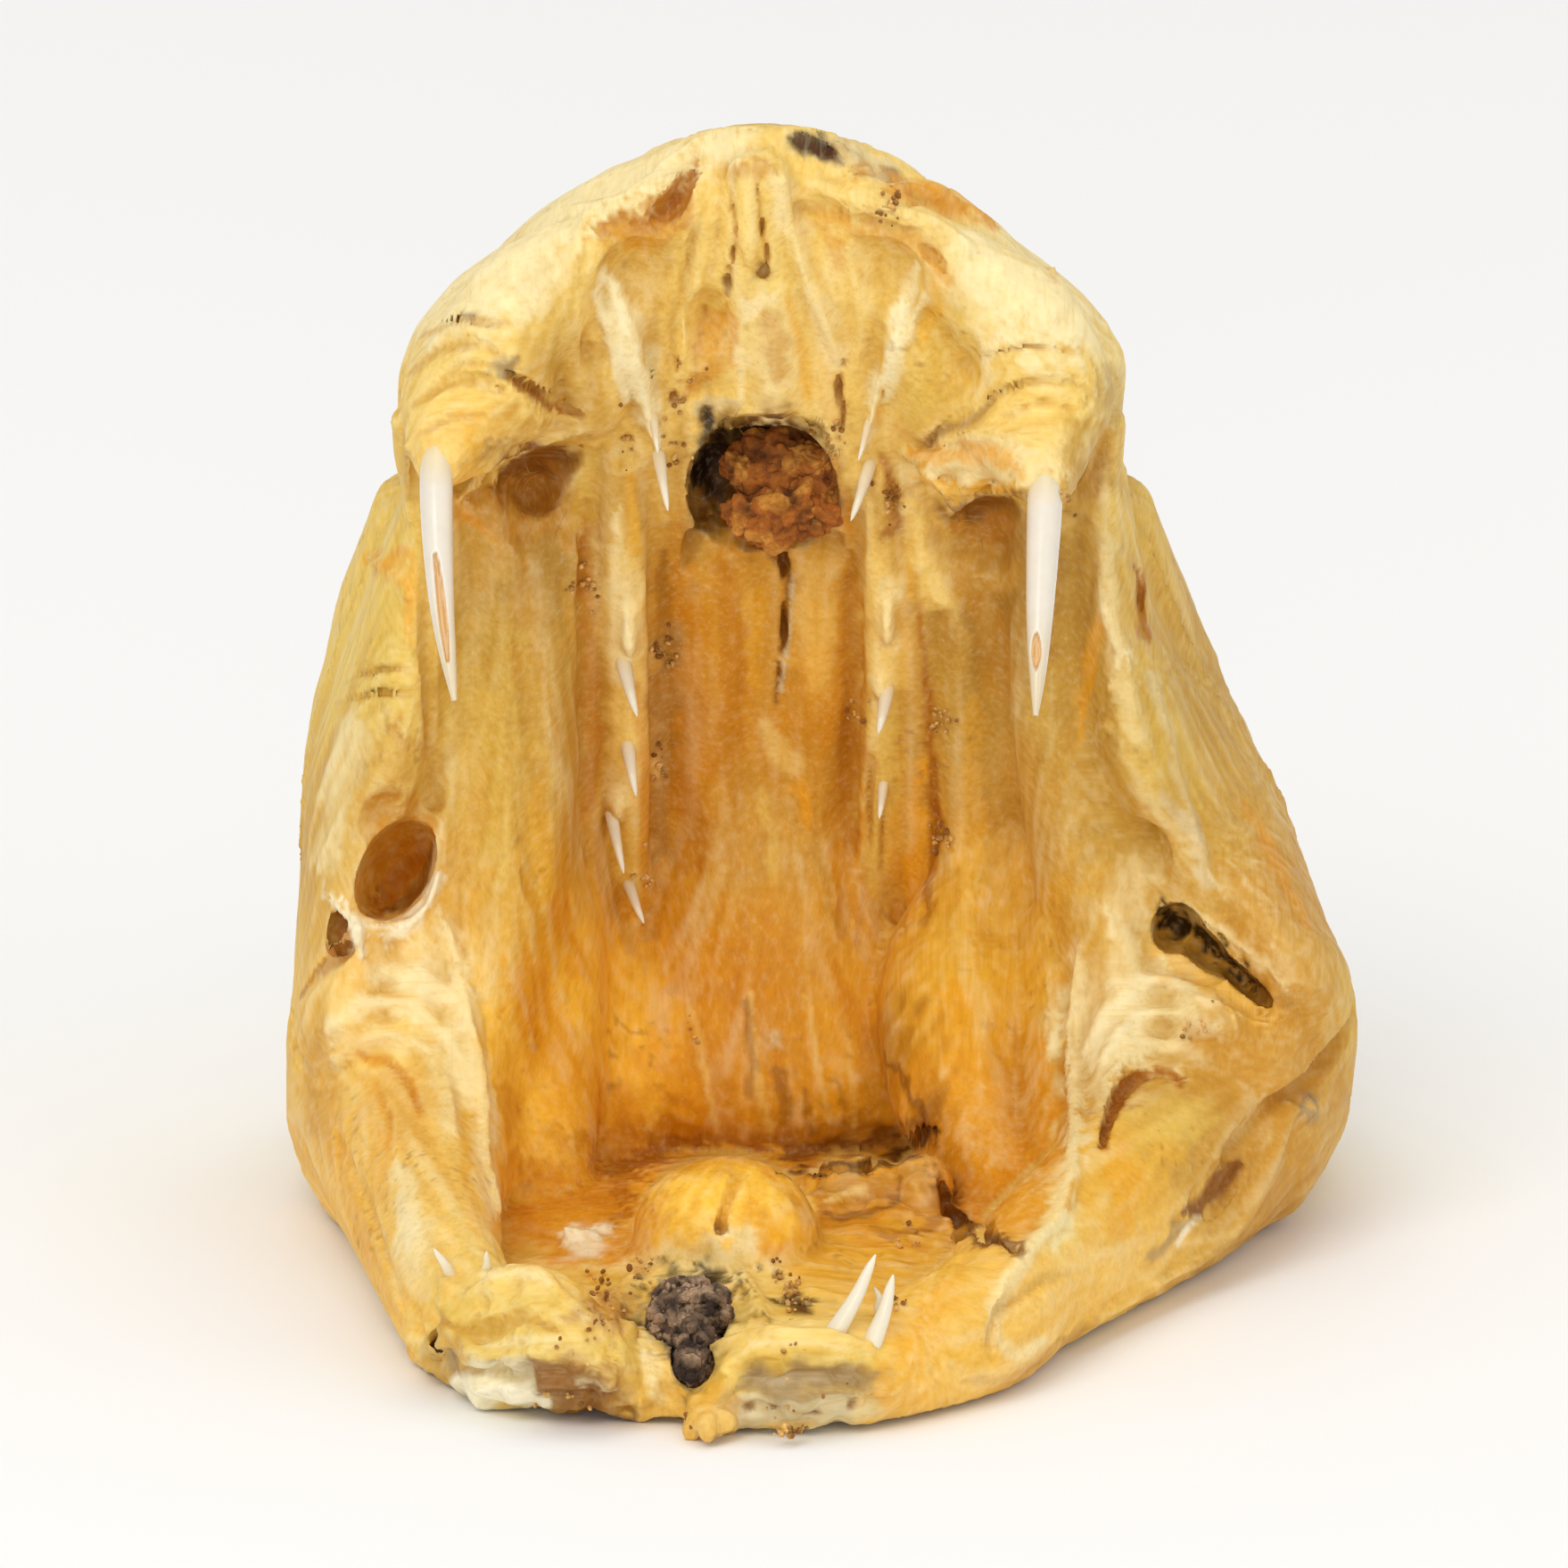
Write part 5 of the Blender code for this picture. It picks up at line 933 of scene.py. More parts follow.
# Colour by place in the picture: x, z, half width, half height, colour, strength, turn in degrees
tints = {
    "mouthRoof": [(-2, 30, 13, 15, "ochre", 1), (-2, 18, 13, 9, "gold", .7), (-3, 13, 11, 4, "gold", .8),
        (-2.5, 33, 5.6, 5, "amber", .4), (-2.4, 24, 5.4, 6, "tan", .5)],
    "cheekLeft": [(-18, 31, 4, 8, "straw", 1), (-18.6, 24, 3.4, 5, "ochre", .8),
        (-12.6, 31, 2.6, 8, "olive", .9), (-12.4, 23, 3, 5, "ochre", .9),
        (-11.4, 35.6, 1.4, 2.6, "brown", .35), (-12.6, 29, 2, 6, "straw", .35),
        (-11.2, 21.4, 2.2, 2.4, "honey", .5), (-13.4, 36.8, 1.2, 1.6, "ochre", .7)],
    "cheekRight": [(15, 28, 4, 8, "ochre", .9), (14.6, 27, 2.4, 6, "olive", .6),
        (16.4, 24, 3, 5, "ochre", .7), (18.6, 21, 2.4, 4, "tan", .8), (8.4, 30, 3.6, 8, "olive", .95),
        (8, 23, 3.4, 5, "ochre", .9), (7.2, 34.6, 2.8, 3, "brown", .4), (7, 21, 3.4, 3, "honey", .5),
        (12.8, 29.5, 1.2, 3, "straw", .5)],
    "lips": [(-8, 48, 9, 7, "butter", 1), (4, 47, 9, 7, "butter", 1), (-13, 47.4, 4.6, 2.4, "cream", 1, 35),
        (-8, 51, 4.5, 1.1, "cream", .9, 20), (-15.6, 44.8, 1.8, 1.6, "cream", .8),
        (8, 46.8, 3.4, 3, "cream", .95, -40), (10, 44.6, 2, 1.8, "cream", .5)],
    "pockets": [(-7.6, 46, 2.4, 3.6, "ochre", .75, -12), (-8.8, 43, 1.6, 2.2, "ochre", .6),
        (2.6, 46, 2.6, 3.4, "ochre", .45, 12), (4.2, 43.6, 1.8, 2.2, "straw", .7),
        (-2.6, 47, 3, 5, "straw", .5)],
    "sheaths": [(-14.4, 43, 2.8, 2.4, "butter", .9), (-14.6, 40.6, 1.6, 1.6, "skin", .7),
        (-11.8, 41.2, 1.8, .8, "ochre", .6), (-14.2, 38.6, .9, .8, "orange", .55),
        (8.6, 42, 2.6, 1.8, "butter", .8), (7, 40, 3.4, 1.2, "cream", .7), (9, 41, 1.2, 1.4, "butter", .5)],
    "sheathShade": [(-11, 43.2, 1.2, .9, "ochre", .75, -35), (-9.9, 44.6, .8, 3, "ochre", .55),
        (10.9, 40, 1.2, 1.6, "ochre", .8), (11.1, 39.2, .9, .8, "brown", .35),
        (11.5, 42.4, .6, 1.4, "grey", .4), (-10, 41, 1, .7, "ochre", .6)],
    # painted shade in the recesses under the flaps
    "recesses": [(-11.9, 38.4, 2, 1.6, "tan", .7), (-11.6, 40, 2.2, .6, "brown", .8),
        (-11.3, 37.2, 1.6, 1, "tan", .6), (6.2, 38, 1.7, .7, "brown", .6), (6.4, 36, 1.8, 1.4, "tan", .5)],
    "column": [(-3.1, 50, 1.6, 2, "butter", .6), (-1.9, 44, 1.3, 2.6, "cream", .5),
        (.6, 46.4, .9, 2.4, "butter", .6), (-3, 51.5, 1.2, .35, "tan", .6)],
    "rim": [(.4, 52.3, 1.3, .5, "ash", .7), (2.2, 51.5, 1.2, .5, "ash", .65, -25),
        (1.5, 51.4, .5, .35, "tan", .8), (2.7, 51.3, .5, .25, "brown", .6),
        # the black patch is painted shade in the hole at the snout tip
        (-.45, 52.45, .75, .45, "black", 1), (-3.4, 53.1, 1.8, .3, "olive", .4, 5)],
    # painted shade inside the choana, under its top edge and on its sill
    "choana": [(-2.4, 39.2, 2.6, 2.3, "brown", 1), (-4.3, 39.8, .8, 1.6, "black", .8),
        (-2, 41, 1.8, .4, "dark", .8), (-2, 36.8, 2.2, .6, "brown", .5)],
    "channel": [(-4.2, 31, 1.7, 6, "orange", .3), (-.2, 33.4, 1.1, 3, "skin", .5),
        (-.4, 30, 1.1, 2, "orange", .4), (1.1, 30, .4, 6, "amber", .4), (-2.5, 24.4, 2.8, 2.2, "ochre", .6),
        (1, 23.5, 1, 2.2, "amber", .6), (-3.6, 19.5, 2, 1.6, "amber", .5),
        (-2.6, 15.4, 2, 2.2, "brown", .25), (-3, 18, 1.4, 1.2, "deep", .25)],
    "toothRidges": [(-7.9, 34, .85, 3.6, "butter", .95), (-7.8, 29, .8, 3, "butter", .9),
        (-8, 24.6, .8, 2.4, "straw", .8), (2.3, 33.6, .8, 3.4, "butter", .85),
        (2.3, 29.6, .7, 2.4, "straw", .85), (2.4, 24.6, 1.1, 3.6, "straw", .75),
        (3.4, 24.6, .8, 2.6, "gold", .45), (-7.3, 37.4, .8, 1.6, "ochre", .6)],
    # painted shade: the amber inside the left hole and the tan on its upper slope
    "openings": [(-17.2, 23.5, 1.3, 2, "amber", .9, -30), (-17, 25.8, 1.2, .8, "tan", .6),
        (-19.4, 18.8, 1.2, 1.2, "cream", .5), (12, 24.6, 1.6, .9, "olive", .7, -15),
        (12.6, 22.8, 1.2, 1.2, "cream", .4)],
    "jawLeft": [(-17, 12, 5, 10, "skin", 1), (-17, 15.8, 3, 2.6, "butter", .75),
        (-14.2, 16, 1, 4, "butter", .85), (-16, 19.6, 2, 1.2, "cream", .6),
        (-16.4, 10, 2, 2.6, "butter", .5), (-18.4, 10, 1.4, 4, "honey", .45, 15),
        (-17.2, 14.2, 1.6, 1.4, "orange", .4), (-20.4, 15, .9, 3, "tan", .5),
        (-16.4, 8.6, .9, 1.6, "cream", .5)],
    "jawRight": [(14, 12, 8, 8, "ochre", 1), (7, 5.4, 6, 3.6, "skin", .95),
        (11.4, 10, 3, 4, "skin", .8, 30), (12.4, 18, 2.4, 2, "cream", .8),
        (12.2, 12, 2.2, 2, "honey", .6, 20), (9, 9.2, 1.2, 1, "butter", .8, 30),
        (4.4, 5.6, 2.2, 2.4, "honey", .55), (3, 3, 1.4, 1, "gold", .45), (18, 16, 3, 3.4, "tan", .8),
        (17.6, 11, 2.4, 2, "tan", .7, 35), (14, 13.6, 1.6, .9, "straw", .6),
        (10.6, 4.6, 2, .8, "straw", .6, 30), (8.4, 3.4, 2, .7, "tan", .4, 20)],
    # painted light: the glow patches on the left inner wall; painted shade: the deep and brown bands along
    # the foot of the back wall
    "throat": [(-11.4, 15, 2.6, 5, "glow", .7), (-9.6, 18, 2, 3, "gold", .6),
        (-11.4, 11.6, 1.8, 2, "glow", .6), (-9, 17, 3, 4, "glow", .6), (-6, 12.6, 4.4, 1, "deep", .7),
        (0, 12.8, 3.4, .7, "brown", .5), (-3, 16, 3.4, 4, "amber", .5), (6.4, 14, 2.6, 4.6, "amber", .8),
        (6.6, 10.6, 1.8, 1.6, "orange", .75), (5.6, 18.6, 3.4, 2.4, "honey", .6),
        (2.4, 16, .9, 2.6, "brown", .4, -15), (3.8, 13.4, .5, 1.6, "brown", .5, -30)],
    # painted light: the glow over the glottis and the cream on its lower face
    "floor": [(-9, 9.4, 4, 1.4, "orange", .7), (-3.9, 9.8, 3, 2.6, "glow", .95),
        (-4.2, 8.2, 3, 1, "cream", .9), (1.6, 10.4, 2.6, 1, "rust", .5), (3, 9.4, 2.2, .9, "orange", .6),
        (1.6, 8.4, 3, 1.2, "honey", .8), (-5.2, 7.7, 3, .5, "butter", .6),
        (-9.6, 7.4, 1.6, .6, "straw", .6), (-2.6, 7, 1, .8, "butter", .8),
        (-3.6, 5.4, .7, 1.6, "honey", .8)],
    # painted shade: the black in the hollow round the soil plug; the tan patch is the crust's own colour
    "dirtAndShade": [(-5.2, 6.2, 1.7, 1.6, "black", .9), (-5.2, 4, .8, 1.3, "black", .85),
        (-8.8, 6.4, 1.2, .8, "tan", .6)],
    "chinLeft": [(-12.6, 5, 3.4, 3.2, "straw", .95), (-12.4, 7.5, 2.6, .6, "butter", .8),
        (-12.8, 3.3, 1.9, .9, "ash", .95), (-12.8, 2.9, 1.2, .5, "bone", .8),
        (-15, 4.2, .8, 1.4, "ochre", .85), (-9.9, 3, 2, 1.2, "brown", .85),
        (-8.2, 4.6, 1.2, .5, "straw", .7)],
    "chinRight": [(-1, 4, 3.6, 2.4, "straw", .95), (-1, 5.3, 2.8, .7, "butter", .85),
        (-.6, 3.1, 3, .9, "grey", .9), (.6, 3.4, 1.8, .6, "olive", .5), (-1, 2.1, 3, .5, "ash", .8),
        (-4.7, 1.8, .9, 1.6, "honey", .8), (-4.6, .5, .8, .5, "brown", .6), (2.4, 3, .4, 1, "gold", .5)],
}

# Bands, creases and marks: colour, strength, then x, z and half width along each
strokes = {
    "lipLeft": [
        ("cream", .8, [(-3, 52.7, .5), (-5.6, 52.1, .8), (-8.4, 51, .7), (-11, 49.6, 1), (-13.6, 47.6, 1.2),
            # painted shade: the two olive strokes that follow, along the lip's inner edge and in the hollow
            # beside it
            (-15.6, 45.4, .8)]), ("olive", .75, [(-9.5, 48.9, .1), (-10.5, 43, .6), (-10, 42, .4)]),
        ("olive", .35, [(-11.2, 47.5, .5), (-11, 45.6, .8), (-11.2, 44.4, .7)]),
        ("cream", .6, [(-12.2, 48.4, .5), (-11.4, 45.6, .4)]),
        ("butter", .8, [(-9, 48.6, .35), (-9.4, 46, .35), (-9.2, 44.6, .3)]),
        ("honey", .5, [(-8.8, 48.5, .3), (-7.2, 48.4, .35), (-5.9, 48.9, .3)]),
        # painted shadow line under the overhanging rim, amber with a brown core
        ("amber", .6, [(-8.9, 48.9, .14), (-7.6, 48.6, .3), (-6.4, 48.7, .4), (-5.7, 49.5, .3),
            (-5.2, 50.8, .16)]),
        ("brown", .7, [(-7.8, 49.2, .06), (-6.8, 49.4, .14), (-6.1, 49.9, .14), (-5.6, 50.8, .06)]),
    ],
    "pocketLeft": [
        # painted shade line down the pocket's inner side
        ("ochre", .7, [(-6.7, 46.4, .08), (-6.3, 43.4, .1), (-6.4, 41.8, .08)]),
        ("butter", .5, [(-8.6, 43.4, .2), (-8.2, 42, .25), (-7.6, 41, .2)]),
        ("ochre", .55, [(-9.6, 44, .2), (-8.8, 41.2, .3)]),
    ],
    "column": [
        ("tan", .7, [(-3.6, 51.7, .18), (-2.8, 51.6, .3), (-2.1, 51.5, .2)]),
    ],
    "plate": [
        ("amber", .6, [(-3.9, 46.4, .1), (-4.2, 45.4, .5), (-4.4, 44.4, .6), (-4.4, 43.4, .5),
            (-5.2, 42.6, .3)]),
        ("deep", .5, [(-4.7, 46, .06), (-4.9, 44.6, .12), (-5.2, 43.2, .14), (-5.6, 42.2, .1)]),
        ("amber", .7, [(-3.6, 45.6, .16), (-3.6, 43.6, .14)]),
        ("cream", .8, [(-3.2, 46.6, .12), (-3, 46, .35), (-1.9, 46.6, .2)]),
        ("cream", .7, [(-3.4, 44.4, .1), (-3.3, 42.3, .1)]),
        ("tan", .6, [(-2.2, 45.4, .5), (-2, 44.4, .6), (-1.9, 43.6, .4)]),
        ("honey", .6, [(-1.4, 46.4, .2), (-.4, 42.6, .3)]),
        ("honey", .55, [(.2, 44.4, .2), (.1, 43, .25), (.3, 41.8, .25)]),
        ("ash", .6, [(-4.9, 41.7, .2), (-4.2, 42.1, .3), (-3.5, 42.1, .2)]),
    ],
    "lipRight": [
        ("butter", .6, [(0, 51.2, .3), (6, 49.4, .3)]),
        ("amber", .5, [(-.6, 48.9, .2), (-.1, 48.9, .3), (.6, 48.2, .3), (.7, 47.6, .2)]),
        ("honey", .6, [(4.4, 47.6, .25), (4.4, 45.6, .3), (4, 44.6, .25)]),
        ("cream", .7, [(5.6, 48.6, .5), (6.6, 48.4, .7), (8, 47, .7), (9.8, 44.4, .5)]),
    ],
    "pocketRight": [
        ("butter", .6, [(.9, 47.2, .4), (1.4, 46.4, .4), (1.2, 45.2, .3)]),
        ("pale", .7, [(3.6, 47.4, .14), (3, 45.8, .3), (2.7, 45, .22)]),
        ("straw", .7, [(4.4, 43.8, .5), (4.2, 42.6, .5), (3.6, 41.6, .4)]),
    ],
    "sheathLeft": [
        ("butter", .7, [(-15.8, 44, .5), (-14.4, 43.6, .9), (-12.8, 42.8, .8), (-11.4, 41.8, .45),
            (-10.4, 41.4, .2)]), ("honey", .6, [(-14, 41, .25), (-13.8, 40, .3), (-14.2, 39, .3)]),
        # painted shade along the groove above the flap
        ("brown", .85, [(-12.4, 43.35, .08), (-10.8, 42, .11), (-9.7, 41.45, .06)]),
        ("olive", .6, [(-16.8, 40.6, .2), (-16.5, 38.4, .25)]),
    ],
    "sheathRight": [
        ("butter", .6, [(10.4, 42.4, .4), (8.8, 42.2, .6), (7, 41.4, .4)]),
        ("gold", .65, [(3.2, 40.4, .16), (4.2, 40.1, .35), (5.4, 40.2, .35), (7, 39.9, .3), (8, 39.4, .2)]),
        ("honey", .8, [(4, 39.3, .14), (5.3, 38.5, .3), (6, 38.8, .18), (7, 38.8, .1)]),
        ("cream", .7, [(5.4, 40.7, .14), (6.8, 40.8, .2), (8, 40.4, .2)]),
        ("olive", .6, [(10.4, 41.4, .5), (10.9, 40.4, .6), (10.8, 39.4, .5)]),
    ],
    # painted shade in the recesses under the flaps: the brown, rust, tan and deep strokes; the orange and
    # straw strokes are the tissue's own
    "recesses": [
        ("brown", .9, [(-13.3, 38.9, .2), (-11.8, 39.9, .45), (-9.8, 40.4, .14)]),
        ("rust", .6, [(-12.9, 38.6, .3), (-12, 38.9, .6), (-11, 39, .6), (-10.4, 39.5, .3)]),
        ("tan", .8, [(-13, 37.5, .4), (-12, 37.3, .5), (-11, 37.6, .5), (-10.6, 38.4, .35)]),
        ("orange", .6, [(-14.2, 37.9, .2), (-13.4, 36.9, .2)]),
        ("straw", .6, [(-9.4, 39.8, .35), (-9.6, 37.4, .25)]),
        ("brown", .8, [(4.9, 38, .16), (5.8, 38, .4), (6.8, 38.2, .4), (7.6, 38.5, .2)]),
        ("deep", .4, [(5.2, 37.2, .3), (6.2, 37, .5), (7.2, 37.2, .4)]),
        ("ochre", .5, [(5.4, 36.4, .5), (6.6, 35.9, .7), (7.4, 35, .5)]),
        ("tan", .7, [(3.7, 38.8, .3), (4.2, 37.6, .4), (4.6, 36.4, .3)]),
    ],
    "choana": [
        # painted shade inside the choana's left side
        ("black", .9, [(-4.5, 41, .3), (-4.6, 40, .5), (-4.7, 39, .3)]),
        ("ochre", .7, [(-5.2, 38.2, .2), (-5, 37.2, .4), (-4.9, 36, .4)]),
        ("amber", .6, [(.3, 40.2, .2), (.9, 38, .2), (.9, 37, .25)]),
        ("butter", .6, [(.9, 41, .2), (1.1, 39, .16)]),
        ("rust", .8, [(2.3, 40, .2), (2.8, 38.4, .35), (2.9, 37.5, .25), (2.6, 36.8, .14)]),
    ],
    "channel": [
        ("amber", .5, [(-5.2, 34, .4), (-4.6, 26.8, .4)]),
        ("deep", .4, [(-3.9, 35.4, .5), (-3.4, 31.6, .5), (-4, 27.4, .5)]),
        ("honey", .5, [(-2.7, 34.6, .3), (-2.8, 31, .3)]),
        ("brown", .6, [(-3.4, 36.5, .2), (-2.4, 36.6, .3), (-1.7, 36.3, .2)]),
        # painted shade down the inner left groove
        ("brown", .45, [(-6.3, 36.4, .2), (-6.2, 32, .45), (-6.2, 28, .45), (-6.4, 24.4, .25)]),
        ("deep", .4, [(-5.6, 35, .4), (-5.3, 30, .5), (-5.6, 26, .4)]),
        ("skin", .6, [(-.7, 35, .3), (-.3, 33.8, .6), (-.1, 32.4, .7), (-.4, 31, .5)]),
        ("amber", .4, [(.8, 34, .2), (.6, 30, .4), (.2, 28.6, .5)]),
        ("deep", .5, [(-5.6, 27.4, .4), (-5, 25.4, .6), (-5.4, 23.4, .5)]),
        ("butter", .6, [(-2.2, 29.4, .3), (-1.8, 28.4, .5), (-1.2, 27.4, .35)]),
        ("gold", .7, [(-1.2, 26.8, .3), (-.8, 26.2, .4), (-.7, 25.4, .25)]),
        ("tan", .5, [(-3.8, 28.4, .3), (-3.4, 26.8, .4), (-3.6, 25.4, .3), (-3.4, 23.4, .3)]),
        ("straw", .5, [(-2.4, 26.4, .2), (-2, 23, .3)]), ("olive", .5, [(-.2, 24.4, .3), (.6, 21.4, .25)]),
        ("amber", .5, [(1.2, 24, .3), (1.4, 22.4, .4), (2, 21, .3)]),
    ],
    "ridges": [
        # painted shade down the groove outside the left tooth ridge
        ("deep", .7, [(-9.5, 37.4, .2), (-9.2, 28.6, .35), (-9.3, 26, .2)]),
        ("cream", .75, [(-8.3, 38, .16), (-8.2, 32.4, .5), (-8.1, 31, .4)]),
        ("pale", .6, [(-8, 34.8, .2), (-7.8, 32, .2)]),
        ("honey", .7, [(-7.6, 39.2, .2), (-7.5, 36.2, .25)]),
        ("butter", .6, [(-7.7, 28.8, .2), (-7.5, 26.4, .12)]),
        ("orange", .5, [(-7.4, 30.8, .2), (-7.1, 27, .2), (-7.2, 24.6, .2)]),
        ("tan", .6, [(-9, 25.4, .3), (-8.8, 23.6, .3), (-7.6, 20.4, .3)]),
        ("butter", .7, [(1.3, 39.8, .16), (2, 35.6, .3)]),
        ("butter", .8, [(2, 36.6, .2), (2.5, 33.8, .5), (2.5, 30.8, .3)]),
        ("honey", .5, [(3.4, 36.2, .2), (3.2, 31, .25)]), ("tan", .6, [(1.2, 33, .2), (1.5, 27, .2)]),
        ("straw", .6, [(2.8, 29.6, .25), (2.6, 26, .25)]),
        ("gold", .5, [(3.8, 28, .2), (3.6, 23.4, .35), (3.2, 21.6, .3)]),
        # painted shade down the groove outside the right tooth ridge
        ("rust", .6, [(4.1, 31.4, .16), (4.5, 24.6, .2), (4.1, 21.6, .2)]),
        ("butter", .7, [(3.6, 38, .14), (4.3, 35.6, .35), (4.8, 34.4, .25)]),
        ("ochre", .5, [(5.2, 33.6, .2), (5.6, 32.6, .3), (5.4, 31.2, .3)]),
    ],
    "cheekLeft": [
        ("orange", .7, [(-18, 35.6, .16), (-17.4, 35.9, .3), (-16.8, 36.3, .2)]),
        ("gold", .6, [(-16.6, 36, .2), (-16.5, 34.8, .35), (-16.4, 32.4, .2)]),
        # painted shade down the side groove
        ("ochre", .6, [(-16.15, 32.4, .08), (-15.8, 28, .16)]),
        ("tan", .6, [(-17.4, 29, .3), (-16.6, 28.6, .4), (-15.9, 28.6, .25)]),
        ("cream", .6, [(-19, 29, .6), (-20, 24, .6)]),
        ("tan", .5, [(-11.9, 35.6, .4), (-11.6, 33, .6), (-10.6, 29, .25)]),
        ("ochre", .5, [(-13.8, 36.4, .3), (-12.9, 33.4, .3)]),
        ("tan", .4, [(-12.4, 32, .3), (-11.8, 30.4, .4), (-11, 28.2, .3)]),
        ("straw", .5, [(-13.6, 30, .6), (-13, 24, .6)]), ("butter", .4, [(-14.4, 28, .4), (-14, 23, .4)]),
        ("honey", .5, [(-11.4, 26, .5), (-11, 23.6, .7), (-10.6, 21, .7)]),
        ("orange", .6, [(-10.6, 22.6, .3), (-9.8, 19.4, .4)]),
        ("gold", .5, [(-12.6, 19.6, .4), (-11.4, 16.4, .6)]),
    ],
    "holesLeft": [
        # painted shade in the left hole: on its upper slope and inside, darkest at the bottom
        ("tan", .8, [(-18, 26, .5), (-17.2, 25.8, .8), (-16.2, 26, .5)]),
        ("amber", .85, [(-17.8, 24.4, .4), (-17.2, 24, .8), (-16.6, 24.2, .8)]),
        ("deep", .8, [(-16.1, 24.6, .35), (-17, 22.6, .5), (-17.8, 22.2, .35)]),
        ("dark", .5, [(-15.8, 24.4, .14), (-16.1, 23.2, .2), (-16.8, 22.3, .2), (-17.6, 21.95, .16)]),
        ("cream", .6, [(-15.4, 25.4, .12), (-15.9, 22.8, .14)]),
    ],
    "jawLeft": [
        ("ochre", .6, [(-14.3, 20.4, .08), (-13.5, 17.4, .1), (-13.4, 16, .08)]),
        ("honey", .5, [(-14.7, 15, .25), (-14, 11.6, .25)]),
        ("gold", .4, [(-17.6, 13.4, .4), (-17.6, 12, .5), (-17.8, 10.8, .3)]),
        ("pale", .4, [(-17, 12, .2), (-16.6, 10.4, .5), (-16.4, 9, .5)]),
        ("tan", .4, [(-20.4, 17, .2), (-20.6, 15, .3), (-20.4, 13, .3)]),
        ("orange", .35, [(-19.8, 15.4, .3), (-19.6, 12.6, .4), (-18, 8, .3)]),
        ("straw", .5, [(-14.6, 10, .3), (-14.2, 8.8, .35), (-13.6, 8, .3)]),
    ],
    "jawRight": [
        ("ash", .5, [(13.6, 26.6, .2), (14.8, 25, .3)]),
        ("olive", .6, [(10.8, 25.4, .2), (12, 25.2, .3), (13.6, 23.2, .25)]),
        ("cream", .6, [(11.4, 22, .3), (12.2, 21.2, .5), (12.6, 20.2, .4)]),
        ("straw", .5, [(10.2, 20, .2), (9.6, 16.8, .16)]),
        ("pale", .6, [(8.8, 9.2, .25), (9.6, 9.4, .3), (9.2, 8.6, .2)]),
        ("gold", .6, [(11.8, 12.4, .4), (12.2, 11, .7), (11.8, 9.8, .6)]),
        ("cream", .6, [(7, 5, .25), (7.6, 4.4, .4), (8.6, 4.8, .3)]),
        ("gold", .5, [(3, 5.6, .5), (3.8, 4.8, .7), (4.4, 6.2, .5), (5.2, 7.2, .4)]),
        ("tan", .5, [(5.6, 3.2, .14), (7.6, 3.4, .2), (11, 5.6, .2)]),
        ("tan", .4, [(17, 13.4, .5), (18.6, 14.6, .6), (19.8, 16.4, .5)]),
        ("orange", .5, [(16.8, 26.8, .12), (18, 24.8, .3), (19.4, 21.4, .16)]),
    ],
    "holesRight": [
        # painted shade in the right hole: black under its upper edge, rust and tan on the slope below
        ("black", .95, [(13.6, 21.8, .3), (14.3, 21.6, .45), (15.2, 20.8, .36), (16.3, 19.85, .28),
            (17.5, 18.8, .14)]),
        ("rust", .85, [(13.6, 20.7, .2), (14.3, 20.4, .3), (15.3, 19.9, .2), (16.4, 19.1, .16)]),
        ("tan", .8, [(13.5, 20.3, .16), (14.4, 19.7, .4), (16, 18.8, .35), (17.2, 18.2, .14)]),
        ("skin", .5, [(14.6, 19.4, .2), (17, 18.4, .25)]),
        ("grey", .6, [(13.1, 8.2, .25), (14.4, 9.3, .25)]),
        ("bone", .7, [(14.2, 8.6, .14), (14.9, 9.7, .1)]),
        ("gold", .6, [(10.9, 34, .1), (10.7, 33, .35), (10.2, 28.6, .2)]),
        ("cream", .7, [(11.2, 34.6, .14), (11.4, 33.4, .2), (11.9, 32.4, .4), (12.3, 32.2, .2)]),
        ("straw", .4, [(13.6, 30, .6), (15, 27, .5)]),
    ],
    "cheekRight": [
        ("olive", .5, [(9.8, 37, .4), (10, 35, .4), (9.6, 33, .4)]),
        ("tan", .5, [(6, 34.6, .5), (6.8, 33, .7), (7, 31, .6)]),
        ("ochre", .4, [(7.6, 29, .5), (8, 27, .6), (7.6, 25, .6)]),
        ("honey", .5, [(6, 29.6, .4), (6, 24, .6), (6, 21.6, .5)]),
        ("skin", .4, [(5.4, 26, .2), (5.8, 20.6, .3)]),
    ],
    "throat": [
        ("orange", .6, [(-12, 20, .5), (-11, 17, 1), (-9.6, 14.6, 1.2), (-8, 13.4, .8)]),
        ("amber", .5, [(-12.8, 14.8, .3), (-12.4, 14, .5), (-12.4, 13.2, .4)]),
        # painted shade: the brown stroke after this amber one, along the foot of the back wall
        ("amber", .5, [(-12.6, 12, .3), (-11.2, 11.4, .6), (-9.6, 11, .7), (-8, 10.6, .5),
            (-7.2, 10, .25)]), ("brown", .5, [(-8.6, 11.4, .16), (-6.2, 12.4, .25), (-5, 12.6, .16)]),
        ("deep", .35, [(-5.4, 17.4, .4), (-4.6, 15.6, .7), (-4, 14, .7), (-3.4, 12.8, .5)]),
        ("butter", .4, [(-5.4, 18.4, .12), (-4.9, 15.8, .16), (-4.2, 13, .12)]),
        ("butter", .45, [(-3, 18.6, .1), (-2.7, 15.6, .16), (-2.2, 12.7, .12)]),
        ("butter", .4, [(-.6, 18.6, .1), (-.2, 16, .14), (.2, 13.4, .1)]),
        ("butter", .4, [(1, 17.6, .1), (1.1, 15.4, .14), (1.3, 13.2, .1)]),
        ("brown", .5, [(-1.6, 15.4, .16), (-1.4, 14.2, .2), (-1.3, 13.6, .12)]),
